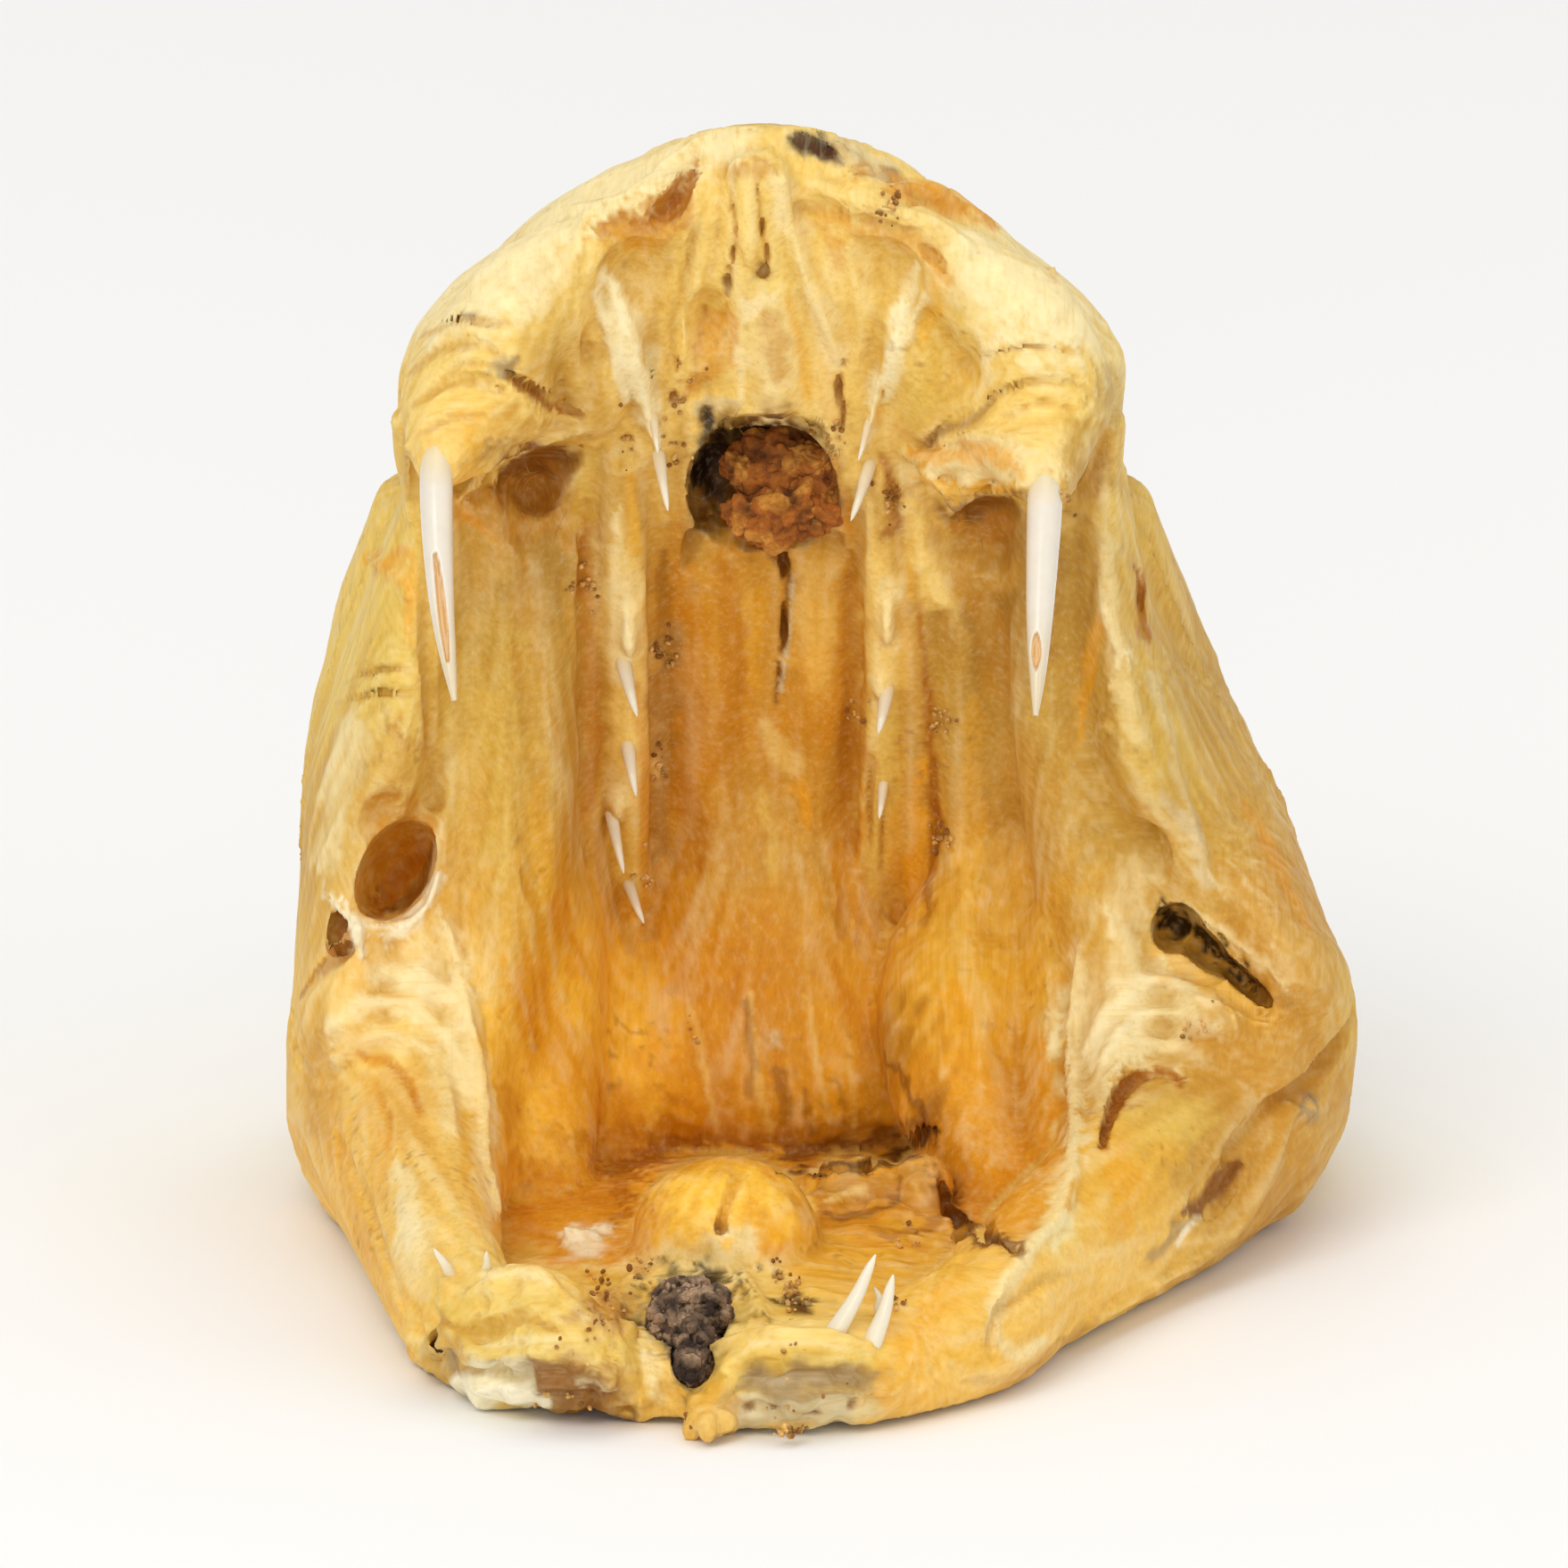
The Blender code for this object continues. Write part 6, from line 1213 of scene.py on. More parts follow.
        ("brown", .45, [(-.7, 14.6, .14), (-.5, 13.4, .18), (-.4, 12.9, .1)]),
        ("brown", .35, [(.7, 14.8, .1), (.8, 13.8, .14), (.9, 13.2, .1)]),
        ("brown", .5, [(-3.2, 18.4, .14), (-2.8, 15.8, .2), (-3, 14.6, .14)]),
        ("brown", .5, [(-2, 15.4, .2), (-1.5, 13.4, .25)]), ("amber", .5, [(.6, 19, .3), (1.8, 16, .4)]),
        ("brown", .7, [(2.4, 16.6, .08), (4.2, 12.6, .3)]),
        ("gold", .7, [(5.4, 18.6, .6), (5.8, 16, 1), (6.4, 13.4, 1.2), (7.4, 11, .8)]),
        ("orange", .6, [(8.6, 17, .3), (8.9, 14.6, .35), (8.8, 12, .35), (8.2, 10, .3)]),
        # painted shade along the foot of the back wall, then painted shadow down the slit beside the right
        # pillar
        ("brown", .8, [(-1.4, 12.2, .25), (1, 12.5, .3), (2.8, 12.9, .3)]),
        ("rust", .7, [(-8.6, 11.7, .14), (-6.6, 12.4, .3), (-5, 12.7, .3), (-1.2, 12.5, .3)]),
        ("brown", .85, [(4.3, 11.8, .12), (5.2, 10, .35), (5.8, 9.3, .35), (7.6, 8.6, .16)]),
        ("dark", .6, [(5, 10, .14), (5.4, 9.4, .2), (7.4, 8.6, .1)]),
    ],
    "floor": [
        ("orange", .7, [(-12.2, 10, .3), (-11.4, 9.2, .4), (-10.8, 8.4, .3), (-9.6, 8, .3)]),
        # painted shade round the glottis in the two deep strokes; painted light on it in the glow and cream
        # strokes
        ("deep", .7, [(-8.2, 9.6, .25), (-8, 11, .35), (-6.9, 12.4, .3)]),
        ("deep", .6, [(-.2, 9.4, .16), (0, 10.4, .25), (-.6, 12, .3)]),
        ("glow", .9, [(-6, 10.4, .5), (-5, 11, .6), (-3.6, 11.2, .6), (-2.2, 10.6, .5), (-1.6, 9.6, .4)]),
        ("orange", .6, [(-6, 11.4, .12), (-5.2, 12, .2), (-4, 12.2, .2), (-2.8, 12, .2),
            (-1.8, 11.4, .12)]),
        ("cream", .5, [(-6.2, 8.6, .3), (-4.6, 8.1, .4), (-2.6, 8.3, .4), (-1.4, 8.8, .2)]),
        ("honey", .6, [(-6.2, 9.4, .4), (-5.2, 9.4, .5), (-4.8, 8.4, .4)]),
        ("gold", .6, [(-3, 10, .5), (-2.2, 9.8, .5), (-1.8, 8.8, .4)]),
        ("butter", .5, [(-6.4, 8.6, .25), (-5.4, 8.2, .25), (-2.4, 8.2, .25)]),
        ("tan", .8, [(-.4, 11, .2), (.8, 11.2, .4), (2.2, 11.1, .4)]),
        ("tan", .8, [(3.3, 11.5, .3), (4.2, 11.3, .35), (4.3, 10.2, .3)]),
        # painted highlights on the lumps' tops, then painted shade between and below them in the brown and
        # rust strokes
        ("butter", .6, [(.1, 10.6, .14), (1.6, 10.8, .25)]),
        ("butter", .5, [(3.6, 11, .16), (4, 10.4, .16)]),
        ("brown", .7, [(.1, 9.9, .06), (1.6, 9.9, .12), (2.9, 10.4, .1), (3, 11.4, .08)]),
        ("rust", .7, [(4.9, 10.8, .14), (4.6, 9.6, .16), (3.4, 9.1, .12), (1.8, 9.2, .08)]),
        ("orange", .6, [(.2, 9.4, .2), (2, 8.9, .25), (4, 8.6, .2)]),
        ("honey", .6, [(2.6, 8.2, .4), (5.4, 8, .4)]),
        ("honey", .5, [(-10.8, 7.4, .4), (-10, 7, .4), (-9, 7.4, .3)]),
    ],
    "soilHole": [
        # painted shade: black under the soil hole's upper edge and dark down its left side
        ("black", .95, [(-6.6, 6.9, .14), (-6, 7.3, .16), (-5.2, 7.45, .18), (-4.4, 7.2, .16),
            (-3.9, 6.7, .14)]), ("dark", .8, [(-6.8, 6, .2), (-5.4, 3.6, .2)]),
        ("cream", .8, [(-7.2, 4.8, .08), (-6.5, 2.6, .08)]),
        ("straw", .6, [(-7.8, 4.8, .2), (-6.4, 2.2, .2)]),
        ("honey", .6, [(-5.2, 2.8, .2), (-4.6, 1.2, .3)]),
        ("butter", .6, [(-3.6, 6, .3), (-3.4, 5, .4), (-4, 3, .25)]),
        ("tan", .8, [(-9.2, 6.6, .3), (-8.6, 6.4, .4), (-8, 6, .3)]),
    ],
    "chinLeft": [
        ("cream", .6, [(-13.4, 7.6, .25), (-11.8, 7.8, .3), (-11.2, 7.4, .2)]),
        ("butter", .6, [(-14.2, 6, .25), (-13, 6.2, .3), (-11.8, 5.8, .3), (-10.4, 5.8, .25)]),
        ("straw", .6, [(-14.6, 5.4, .2), (-11.6, 4.8, .3), (-9.4, 5, .25)]),
        ("cream", .5, [(-13.6, 4.9, .16), (-10.4, 5, .16)]),
        ("olive", .6, [(-15.8, 5, .2), (-15.2, 4.2, .4), (-15, 3.2, .35)]),
        ("grey", .7, [(-14.9, 4.2, .25), (-14, 2.8, .3)]),
        ("bone", .9, [(-14.6, 3.4, .3), (-13.6, 3.2, .6), (-12.2, 2.8, .7), (-11.2, 2.4, .3)]),
        ("ash", .7, [(-9.6, 3.4, .14), (-8.4, 2.9, .2)]),
        ("ash", .6, [(-12.8, 4.1, .2), (-12, 4, .25), (-11.6, 3.4, .2)]),
        ("brown", .75, [(-11.6, 4.1, .25), (-10.6, 3.4, .5), (-8.4, 2.2, .3), (-7.6, 2, .16)]),
        ("tan", .5, [(-9.8, 2, .2), (-8.8, 2, .2), (-7.6, 2.6, .25)]),
        ("ochre", .6, [(-9.4, 4.2, .3), (-8.4, 3.8, .35), (-7.8, 3.2, .25)]),
    ],
    "chinRight": [
        ("butter", .6, [(-3.8, 5.4, .25), (1, 5, .3), (2, 4.6, .2)]),
        ("straw", .5, [(-3.4, 4.5, .2), (.4, 4.3, .25)]), ("cream", .5, [(-3, 5, .1), (1, 4.7, .12)]),
        ("grey", .7, [(-3, 3.7, .14), (.4, 3.5, .35), (1.8, 3.6, .25)]),
        ("ash", .7, [(-3.4, 2.6, .14), (.8, 2.3, .25)]), ("ash", .6, [(-3.4, 1.7, .16), (1, 1.5, .25)]),
    ],
}


markWidth = 1.1  # a form's own tone reaches this far over its edge; on grooves, slits and pits a darker tone is painted shade


def markAcross(x, z, wide, tall):  # the long way of a pit or knob
    half = min(wide, tall)
    return [(x - wide + half, z - tall + half, half), (x + wide - half, z + tall - half, half)]


def nearStroke(x, z, path):  # distance from a line as a share of its half width
    share = np.full(len(x), 9.0)
    for (ax, az, aw), (bx, bz, bw) in zip(path, path[1:] if len(path) > 1 else path):
        ux, uz = bx - ax, bz - az
        t = np.clip(((x - ax) * ux + (z - az) * uz) / max(ux * ux + uz * uz, 1e-6), 0, 1)
        share = np.minimum(share, np.hypot(x - ax - t * ux, z - az - t * uz) / (aw + t * (bw - aw)))
    return share


def baseTone(points, strand):  # the slow change of tone from place to place
    colour = evenColour("straw", points)
    broad = lumps(points, 5.0, 3) + 0.5 * lumps(points, 2.1, 4) + 0.5 * strand
    towards(colour, "ochre", np.clip(0.3 + 0.5 * broad, 0, 1) * 0.6)
    towards(colour, "cream", np.clip(-broad - 0.45, 0, 1))
    towards(colour, "skin", np.clip((15 - points[:, 2]) / 8, 0, 1) * 0.55)
    neck = np.clip((points[:, 1] - 20) / 8, 0, 1)
    towards(colour, "tan", neck * np.clip(0.35 + broad * 0.5, 0, 1))
    towards(colour, "brown", neck * np.clip(lumps(points, 3.3, 9) * 1.2 - 0.3, 0, 0.7))
    return colour


def allMarks():  # the strokes, then the tone that a form carries itself, which on grooves, slits and pits, where darker, is painted shade
    marks = [mark for lines in strokes.values() for mark in lines]
    for forms in fineForms:
        for kind, _, data, *tone in forms.values():
            if not tone:
                continue
            if kind in ("ridge", "groove"):
                marks.append((*tone, [(x, z, wide * markWidth) for x, z, wide, _ in data]))
            else:
                marks += [(*tone, markAcross(*spot[:4])) for spot in data]
    return marks


def tintSkin(points, way, strand, seen):
    colour = baseTone(points, strand)
    shift = []
    for axis, seed in ((0, 11), (2, 13)):
        wander = 0.3 * lumps(points, 0.9, seed) + 0.12 * lumps(points, 0.35, seed + 1)
        shift.append(wander + 0.55 * way[:, axis] * strand)
    for patches in tints.values():
        for x, z, wide, tall, name, strength, *turn in patches:
            a = math.radians(turn[0] if turn else 0)
            near = min(wide, tall, 1.6)
            dx, dz = points[:, 0] - x + shift[0] * near, points[:, 2] - z + shift[1] * near
            u = (dx * math.cos(a) + dz * math.sin(a)) / wide
            v = (dz * math.cos(a) - dx * math.sin(a)) / tall
            inside = np.clip(1.7 - np.sqrt(u * u + v * v) * 1.15, 0, 1)
            towards(colour, name, seen * inside * inside * (3 - 2 * inside) * strength)
    seenSpots = np.nonzero(seen > 0)[0]
    sx, sz = points[seenSpots, 0], points[seenSpots, 2]
    for name, strength, path in allMarks():
        px, pz, halves = np.array(path, float).T
        reach = halves.max() * 1.5 + 0.8
        near = np.nonzero((sx > px.min() - reach) & (sx < px.max() + reach)
                          & (sz > pz.min() - reach) & (sz < pz.max() + reach))[0]
        spots = seenSpots[near]
        waver = min(1.6 * halves.max(), 0.7)
        share = nearStroke(sx[near] + shift[0][spots] * waver, sz[near] + shift[1][spots] * waver, path)
        part = colour[spots]
        towards(part, name, seen[spots] * np.clip((1.4 - share) / 0.8, 0, 1) * strength)
        colour[spots] = part
    return np.clip(colour, 0, 1)


skinDetail = {
    "swell": 0.06,       # mm of slow rise and fall
    "pucker": 0.012,     # mm of wrinkling
    "strand": 0.03,      # mm of coarse fibres
    "thread": 0.014,     # mm of fine fibres
    "settle": -0.12,     # mm that the whole skin is drawn in
    "cavityReach": 1.5,  # mm, how far a hollow is felt for its painted shade
    "creaseReach": 0.5,  # mm, the same for the painted shade in creases
}


tornSpots = [  # x, z, reach and height in mm of places that tore and dried ragged
    (-14.6, 5, 2.4, .34), (-12, 3, 2.6, .45), (-9, 3.4, 2.4, .45), (-7, 2.6, 1.6, .3),
    (-4.6, 1.6, 1.6, .45), (-1, 2.4, 2.6, .32), (1.6, 3.6, 1.6, .2), (-13, 7.6, 1.4, .22),
    (-5.3, 7, 1.8, .14), (1.2, 51.8, 1.5, .14), (4.6, 50.6, 1.2, .1), (-6.4, 49.8, 1.3, .08),
    (2.2, 9.8, 2.2, .2), (6, 9, 1.6, .2), (-12, 38.4, 1.6, .1), (6.4, 37.2, 1.6, .1), (-2.4, 41.6, 1.6, .1),
    (.6, 39.6, 1.2, .12), (2.8, 38.2, .9, .14), (-5.4, 43, 1, .1), (-19, 20.6, 1, .12), (5, 38.6, .9, .1),
    (14.2, 9, 1.2, .12),
]


def torn(points, seen):
    height = np.zeros(len(points))
    for x, z, reach, rise in tornSpots:
        away = (points[:, 0] - x) ** 2 + (points[:, 2] - z) ** 2
        height = np.maximum(height, rise * np.exp(-away / reach ** 2))
    return height * seen * (lumps(points, 1.3, 41) + 0.7 * lumps(points, 0.65, 42))


def seenFrom(points, relief):  # 1 on what the photograph shows, 0 behind it
    return np.clip(1.3 - (points[:, 1] - relief.at(points[:, 0], points[:, 2])) / 4, 0, 1)


skinShade = {  # what a full streak, crease or hollow changes: one share, or one each of red, green and blue; the crease and hollow entries are painted shade, the crest entry a painted highlight
    "paleStreak": 0.2, "darkStreak": (0.08, 0.14, 0.3), "crease": (0.22, 0.32, 0.5),
    "hollow": (0.03, 0.1, 0.4), "crestHighlight": 0.25, "speck": 0.4, "warmth": (1, 0.99, 0.86),
}


def clayFaces(clay):  # the largest closed surface of the clay, drawn exactly onto it
    points, quads = clay.surface()
    keep = largestPart(len(points), quads)
    used, quads = np.unique(quads[keep[quads[:, 0]]], return_inverse=True)
    points, quads = points[used], quads.reshape(-1, 4)
    for _ in range(2):
        slope = clay.slope(points, 0.2)
        distance = np.clip(clay.sample(clay.value, points), -0.2, 0.2)
        points = points - slope * (distance / np.maximum((slope ** 2).sum(axis=1), 0.2))[:, None]
    return points, quads


def grainAndPaintedShade(colour, points, clay, streak):  # fibre streaks pale and dark, painted shade that darkens and warms creases and hollows, a painted highlight that pales the crests, a few specks
    hollow = clay.sample(clay.fullness(skinDetail["cavityReach"]), points)
    crease = clay.sample(clay.fullness(skinDetail["creaseReach"]), points)
    pale = np.clip(streak, 0, 1.2) * np.clip(colour[:, 1] * 3, 0, 1)
    towards(colour, "pale", pale * skinShade["paleStreak"])
    for weight, shade in (
        (np.clip(-streak, 0, 1.2), "darkStreak"),
        # painted shade: the crease and hollow rows darken the places the clay encloses most
        (np.clip((crease - 0.54) * 5, 0, 1), "crease"),
        (np.clip((hollow - 0.58) * 2.6, 0, 1), "hollow"),
    ):
        colour = colour * (1 - weight[:, None] * skinShade[shade])
    # painted highlight: bulging crests paled towards cream
    towards(colour, "cream", np.clip((0.44 - hollow) * 2.2, 0, 1) * skinShade["crestHighlight"])
    speck = np.clip((lumps(points, 0.32, 31) - 0.8) * 6, 0, 1) * np.clip(lumps(points, 4, 32), 0, 1)
    towards(colour, "brown", speck * skinShade["speck"])
    return np.clip(colour * skinShade["warmth"], 0, 1)


def makeSkinData(clay, relief):
    points, quads = clayFaces(clay)
    normals = unit(clay.slope(points, 0.32))
    way = fibreDirection(points)
    way = unit(way - normals * (way * normals).sum(axis=1)[:, None])
    strand = fibres(points, way, 0.55, 21, steps=10, length=4.6)
    thread = fibres(points, way, 0.34, 22, steps=10, length=3.4)
    seen = seenFrom(points, relief)
    rise = (skinDetail["swell"] * lumps(points, 2.4, 24) + skinDetail["pucker"] * lumps(points, 0.8, 23)
            + skinDetail["strand"] * strand + skinDetail["thread"] * thread + skinDetail["settle"])
    rise += torn(points, seen)
    colour = grainAndPaintedShade(tintSkin(points, way, strand, seen), points, clay, 0.5 * strand + 0.6 * thread)
    points = points + normals * rise[:, None]
    corner = points[quads]
    face = np.cross(corner[:, 2] - corner[:, 0], corner[:, 3] - corner[:, 1])
    if (face * normals[quads[:, 0]]).sum() < 0:
        quads, face = quads[:, ::-1], -face
    smooth = np.zeros_like(points)
    for c in range(4):
        np.add.at(smooth, quads[:, c], face)
    return points, quads, unit(smooth), colour


skinBounds = {  # where one piece of skin ends and the next begins, in mm, as in the solids
    "crown": 9.5, "snout": 33, "throat": 13, "cheekLeft": -11.2, "cheekRight": 8.6,
    "neck": 29.6, "jawTop": 15.8, "jawMiddle": -3.4,
}


def pieceOfSkin(points, quads):  # the number of each face's piece in skinPieces
    x, y, z = points[quads].mean(axis=1).T
    along, over = alongRoof(y, z)
    away = levelled(y, z)[0]
    under = over <= skinBounds["crown"]
    low = (z < skinBounds["jawTop"]) & (away <= skinBounds["neck"])
    label = np.where(under, 2, 1)
    label[under & (along < skinBounds["throat"])] = 3
    label[under & (x < skinBounds["cheekLeft"])] = 5
    label[under & (x > skinBounds["cheekRight"])] = 6
    label[along > skinBounds["snout"]] = 0
    label[away > skinBounds["neck"]] = 4
    label[low & (x < skinBounds["jawMiddle"])] = 7
    label[low & (x >= skinBounds["jawMiddle"])] = 8
    return label


skinPieces = [
    ("snoutSkin", ["snout", "fang_sheath_left", "fang_sheath_right"], "dried_hide"),
    ("craniumSkin", ["cranium"], "dried_hide"),
    ("palateSkin", ["palate", "tooth_ridge_left", "tooth_ridge_right"], "dried_membrane"),
    ("throatSkin", ["throat"], "throat_lining"),
    ("neckSkin", ["neck"], "dried_membrane"),
    ("leftCheekSkin", ["cheek_left"], "dried_membrane"),
    ("rightCheekSkin", ["cheek_right"], "dried_membrane"),
    ("leftJawSkin", ["mandible_left", "mouth_floor"], "waxy_jaw"),
    ("rightJawSkin", ["mandible_right", "glottis"], "waxy_jaw"),
]


def meshFrom(name, points, faces, material):
    mesh = bpy.data.meshes.new(name)
    mesh.from_pydata(np.asarray(points).tolist(), [], faces)
    mesh.polygons.foreach_set("use_smooth", np.ones(len(mesh.polygons), bool))
    mesh.materials.append(material)
    mesh.update()
    piece = bpy.data.objects.new(name, mesh)
    bpy.context.scene.collection.objects.link(piece)
    return piece


def addTone(piece, colour, name="tissueTone"):
    layer = piece.data.attributes.new(name, "FLOAT_COLOR", "POINT")
    rgba = np.ones((len(colour), 4), np.float32)
    rgba[:, :3] = colour
    layer.data.foreach_set("color", rgba.ravel())


def makeSkin(clay, relief, material):
    points, quads, normals, colour = makeSkinData(clay, relief)
    world = np.clip(toWorld(points), cadBox[0], cadBox[1])
    turned = unit(toWorld(normals) - toWorld(np.zeros((1, 3))))
    label = pieceOfSkin(points, quads)
    grain = grainWeights(points)
    for i, (name, nodes, slot) in enumerate(skinPieces):
        mine = quads[label == i]
        used, faces = np.unique(mine, return_inverse=True)
        piece = meshFrom(name, world[used], faces.reshape(-1, 4).tolist(), material)
        addTone(piece, colour[used])
        addTone(piece, grain[used], "grainWay")
        piece.data.normals_split_custom_set_from_vertices(turned[used].tolist())
        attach(piece, "root")
        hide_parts(*nodes)
        print(name, 2 * len(mine), "triangles")


def grainWeights(points):  # red: fibres along the roof, green: across, blue: down the jaws
    way = np.abs(unit(fibreDirection(points)))
    across = np.clip(way[:, 0] * 1.6 - 0.5, 0, 1)
    low = np.clip((17 - points[:, 2]) / 4, 0, 1)
    return np.stack([(1 - across) * (1 - low), across, (1 - across) * low], axis=1)


# Materials

def addNode(tree, kind, links=None, values=None, **settings):
    node = tree.nodes.new(kind)
    for key, value in settings.items():
        setattr(node, key, value)
    for key, value in (values or {}).items():
        node.inputs[key].default_value = value
    for key, source in (links or {}).items():
        tree.links.new(source, node.inputs[key])
    return node


def hexColour(text):
    return (*linear(text), 1.0)


def newMaterial(name):
    material = bpy.data.materials.new(name)
    material.use_nodes = True
    return material, material.node_tree, material.node_tree.nodes["Principled BSDF"]


skinFinish = {  # sizes in metres
    "fibre": 0.00024, "fibreStretch": 0.035, "fibreRise": 0.000025,  # thread width, width by length, height
    "pore": 0.00012, "poreRise": 0.00001,
    "mottlesPerMetre": 1400,  # patches of about 0.7 mm
    "roughLow": 0.4, "roughHigh": 0.7, "gloss": 0.22, "ior": 1.45,
    "sunk": (0.84, 0.7, 0.46, 1), "threadTopHighlight": "#FBEFC8",  # tone between the threads and on top of them: partly the fibres' own, partly painted shade between them and a painted highlight on their tops
}


def driedTissue():
    # muscle and gum dried to a waxy, fibrous skin: it gives a satin gloss broken up by fine threads
    material, tree, shader = newMaterial("driedTissue")
    place = addNode(tree, "ShaderNodeTexCoord").outputs["Object"]
    tone = addNode(tree, "ShaderNodeAttribute", attribute_name="tissueTone").outputs["Color"]
    ways = addNode(tree, "ShaderNodeAttribute", attribute_name="grainWay").outputs["Color"]
    weight = addNode(tree, "ShaderNodeSeparateColor", {"Color": ways})
    total = None
    for channel, turn in (
        ("Red", (roofPlane["slope"] + pose["pitch"], 0, 0)),
        ("Green", (0, math.radians(90), 0)),
        ("Blue", (math.radians(-50), 0, 0)),
    ):
        turned = addNode(tree, "ShaderNodeMapping", {"Vector": place}, {"Rotation": turn})
        stretched = addNode(tree, "ShaderNodeMapping", {"Vector": turned.outputs[0]}, {
            "Scale": (1, 1, skinFinish["fibreStretch"])})
        thread = addNode(tree, "ShaderNodeTexNoise", {"Vector": stretched.outputs[0]}, {
            "Scale": 1 / skinFinish["fibre"], "Detail": 3.0, "Roughness": 0.6})
        part = addNode(tree, "ShaderNodeMath", {0: thread.outputs["Fac"], 1: weight.outputs[channel]},
                       operation="MULTIPLY").outputs[0]
        total = part if total is None else addNode(
            tree, "ShaderNodeMath", {0: total, 1: part}, operation="ADD").outputs[0]
    pore = addNode(tree, "ShaderNodeTexNoise", {"Vector": place}, {
        "Scale": 1 / skinFinish["pore"], "Detail": 2.0})
    mottle = addNode(tree, "ShaderNodeTexNoise", {"Vector": place}, {
        "Scale": skinFinish["mottlesPerMetre"], "Detail": 5.0, "Roughness": 0.65}).outputs["Fac"]
    between = addNode(tree, "ShaderNodeMapRange", {"Value": total}, {
        # painted shade where the thread bump is low, painted highlight where it is high
        "From Min": 0.5, "From Max": 0.3, "To Min": 0.0, "To Max": 0.5})
    sunk = addNode(tree, "ShaderNodeMix", {"Factor": between.outputs[0], 6: tone}, {7: skinFinish["sunk"]},
                   data_type="RGBA", blend_type="MULTIPLY")
    threadHighlightAmount = addNode(tree, "ShaderNodeMapRange", {"Value": total}, {
        "From Min": 0.52, "From Max": 0.74, "To Min": 0.0, "To Max": 0.14})
    threadTopHighlight = addNode(tree, "ShaderNodeMix", {"Factor": threadHighlightAmount.outputs[0], 6: sunk.outputs[2]}, {
        7: hexColour(skinFinish["threadTopHighlight"])}, data_type="RGBA", blend_type="MIX")
    blotch = addNode(tree, "ShaderNodeMapRange", {"Value": mottle}, {
        "From Min": 0.3, "From Max": 0.7, "To Min": 0.93, "To Max": 1.05})
    coloured = addNode(tree, "ShaderNodeVectorMath", {0: threadTopHighlight.outputs[2], "Scale": blotch.outputs[0]},
                       operation="SCALE")
    rough = addNode(tree, "ShaderNodeMapRange", {"Value": mottle}, {
        "From Min": 0.35, "From Max": 0.68,
        "To Min": skinFinish["roughLow"], "To Max": skinFinish["roughHigh"]})
    threadBump = addNode(tree, "ShaderNodeBump", {"Height": total}, {
        "Strength": 1.0, "Distance": skinFinish["fibreRise"]})
    poreBump = addNode(tree, "ShaderNodeBump", {
        "Height": pore.outputs["Fac"], "Normal": threadBump.outputs[0]}, {
        "Strength": 1.0, "Distance": skinFinish["poreRise"]})
    tree.links.new(coloured.outputs[0], shader.inputs["Base Color"])
    tree.links.new(rough.outputs[0], shader.inputs["Roughness"])
    tree.links.new(poreBump.outputs[0], shader.inputs["Normal"])
    shader.inputs["IOR"].default_value = skinFinish["ior"]
    shader.inputs["Specular IOR Level"].default_value = skinFinish["gloss"]
    return material


def paintedSolid(name, roughness, grainSize, rise, spread, subsurface=0.0, coat=0.0):
    # a small solid coloured by its own tone, with a grain of a real size and a matching bump
    material, tree, shader = newMaterial(name)
    place = addNode(tree, "ShaderNodeTexCoord").outputs["Object"]
    tone = addNode(tree, "ShaderNodeAttribute", attribute_name="tissueTone").outputs["Color"]
    grain = addNode(tree, "ShaderNodeTexNoise", {"Vector": place}, {
        "Scale": 1 / grainSize, "Detail": 4.0, "Roughness": 0.6}).outputs["Fac"]
    shade = addNode(tree, "ShaderNodeMapRange", {"Value": grain}, {
        "From Min": 0.3, "From Max": 0.7, "To Min": 1 - spread, "To Max": 1 + spread})
    coloured = addNode(tree, "ShaderNodeVectorMath", {0: tone, "Scale": shade.outputs[0]}, operation="SCALE")
    bump = addNode(tree, "ShaderNodeBump", {"Height": grain}, {"Strength": 1.0, "Distance": rise})
    tree.links.new(coloured.outputs[0], shader.inputs["Base Color"])
    tree.links.new(bump.outputs[0], shader.inputs["Normal"])
    for socket, value in (
        ("Roughness", roughness), ("Subsurface Weight", subsurface), ("Subsurface Scale", 0.001),
        ("Subsurface Radius", (0.6, 0.35, 0.2)), ("Coat Weight", coat), ("Coat Roughness", 0.15),
    ):
        shader.inputs[socket].default_value = value
    return material


# Fangs and teeth

fangSizes = {"around": 40, "along": 120, "slitDepth": 0.12}
toothSizes = {"around": 16, "along": 28, "reach": 0.9}  # reach is how far a palate tooth leans out, in mm
fangShapes = {
    "leftFang": {
        "node": "fang_left",
        "path": [(-15.35, -13.0, 40.4, .6, .65), (-15.4, -13.9, 38.9, .66, .72), (-15.33, -15, 36.5, .6, .66),
                 (-15.15, -16.2, 34, .48, .54), (-14.9, -17.1, 32, .32, .38), (-14.65, -17.7, 30.3, .1, .12)],
        "slit": [(-15.42, 36.1, .08), (-15.25, 34.8, .16), (-15.08, 33.3, .17), (-14.93, 31.9, .08)],
    },
    "rightFang": {
        "node": "fang_right",
        "path": [(8.8, -13.0, 39.6, .62, .66), (8.8, -13.9, 38.2, .7, .74), (8.7, -15, 36, .64, .68),
                 (8.58, -16.2, 33.5, .52, .56), (8.5, -17.1, 31.4, .34, .4), (8.42, -17.7, 29.7, .1, .12)],
        "slit": [(8.45, 33.0, .05), (8.45, 32.6, .16), (8.45, 32.1, .18), (8.43, 31.6, .06)],
    },
}
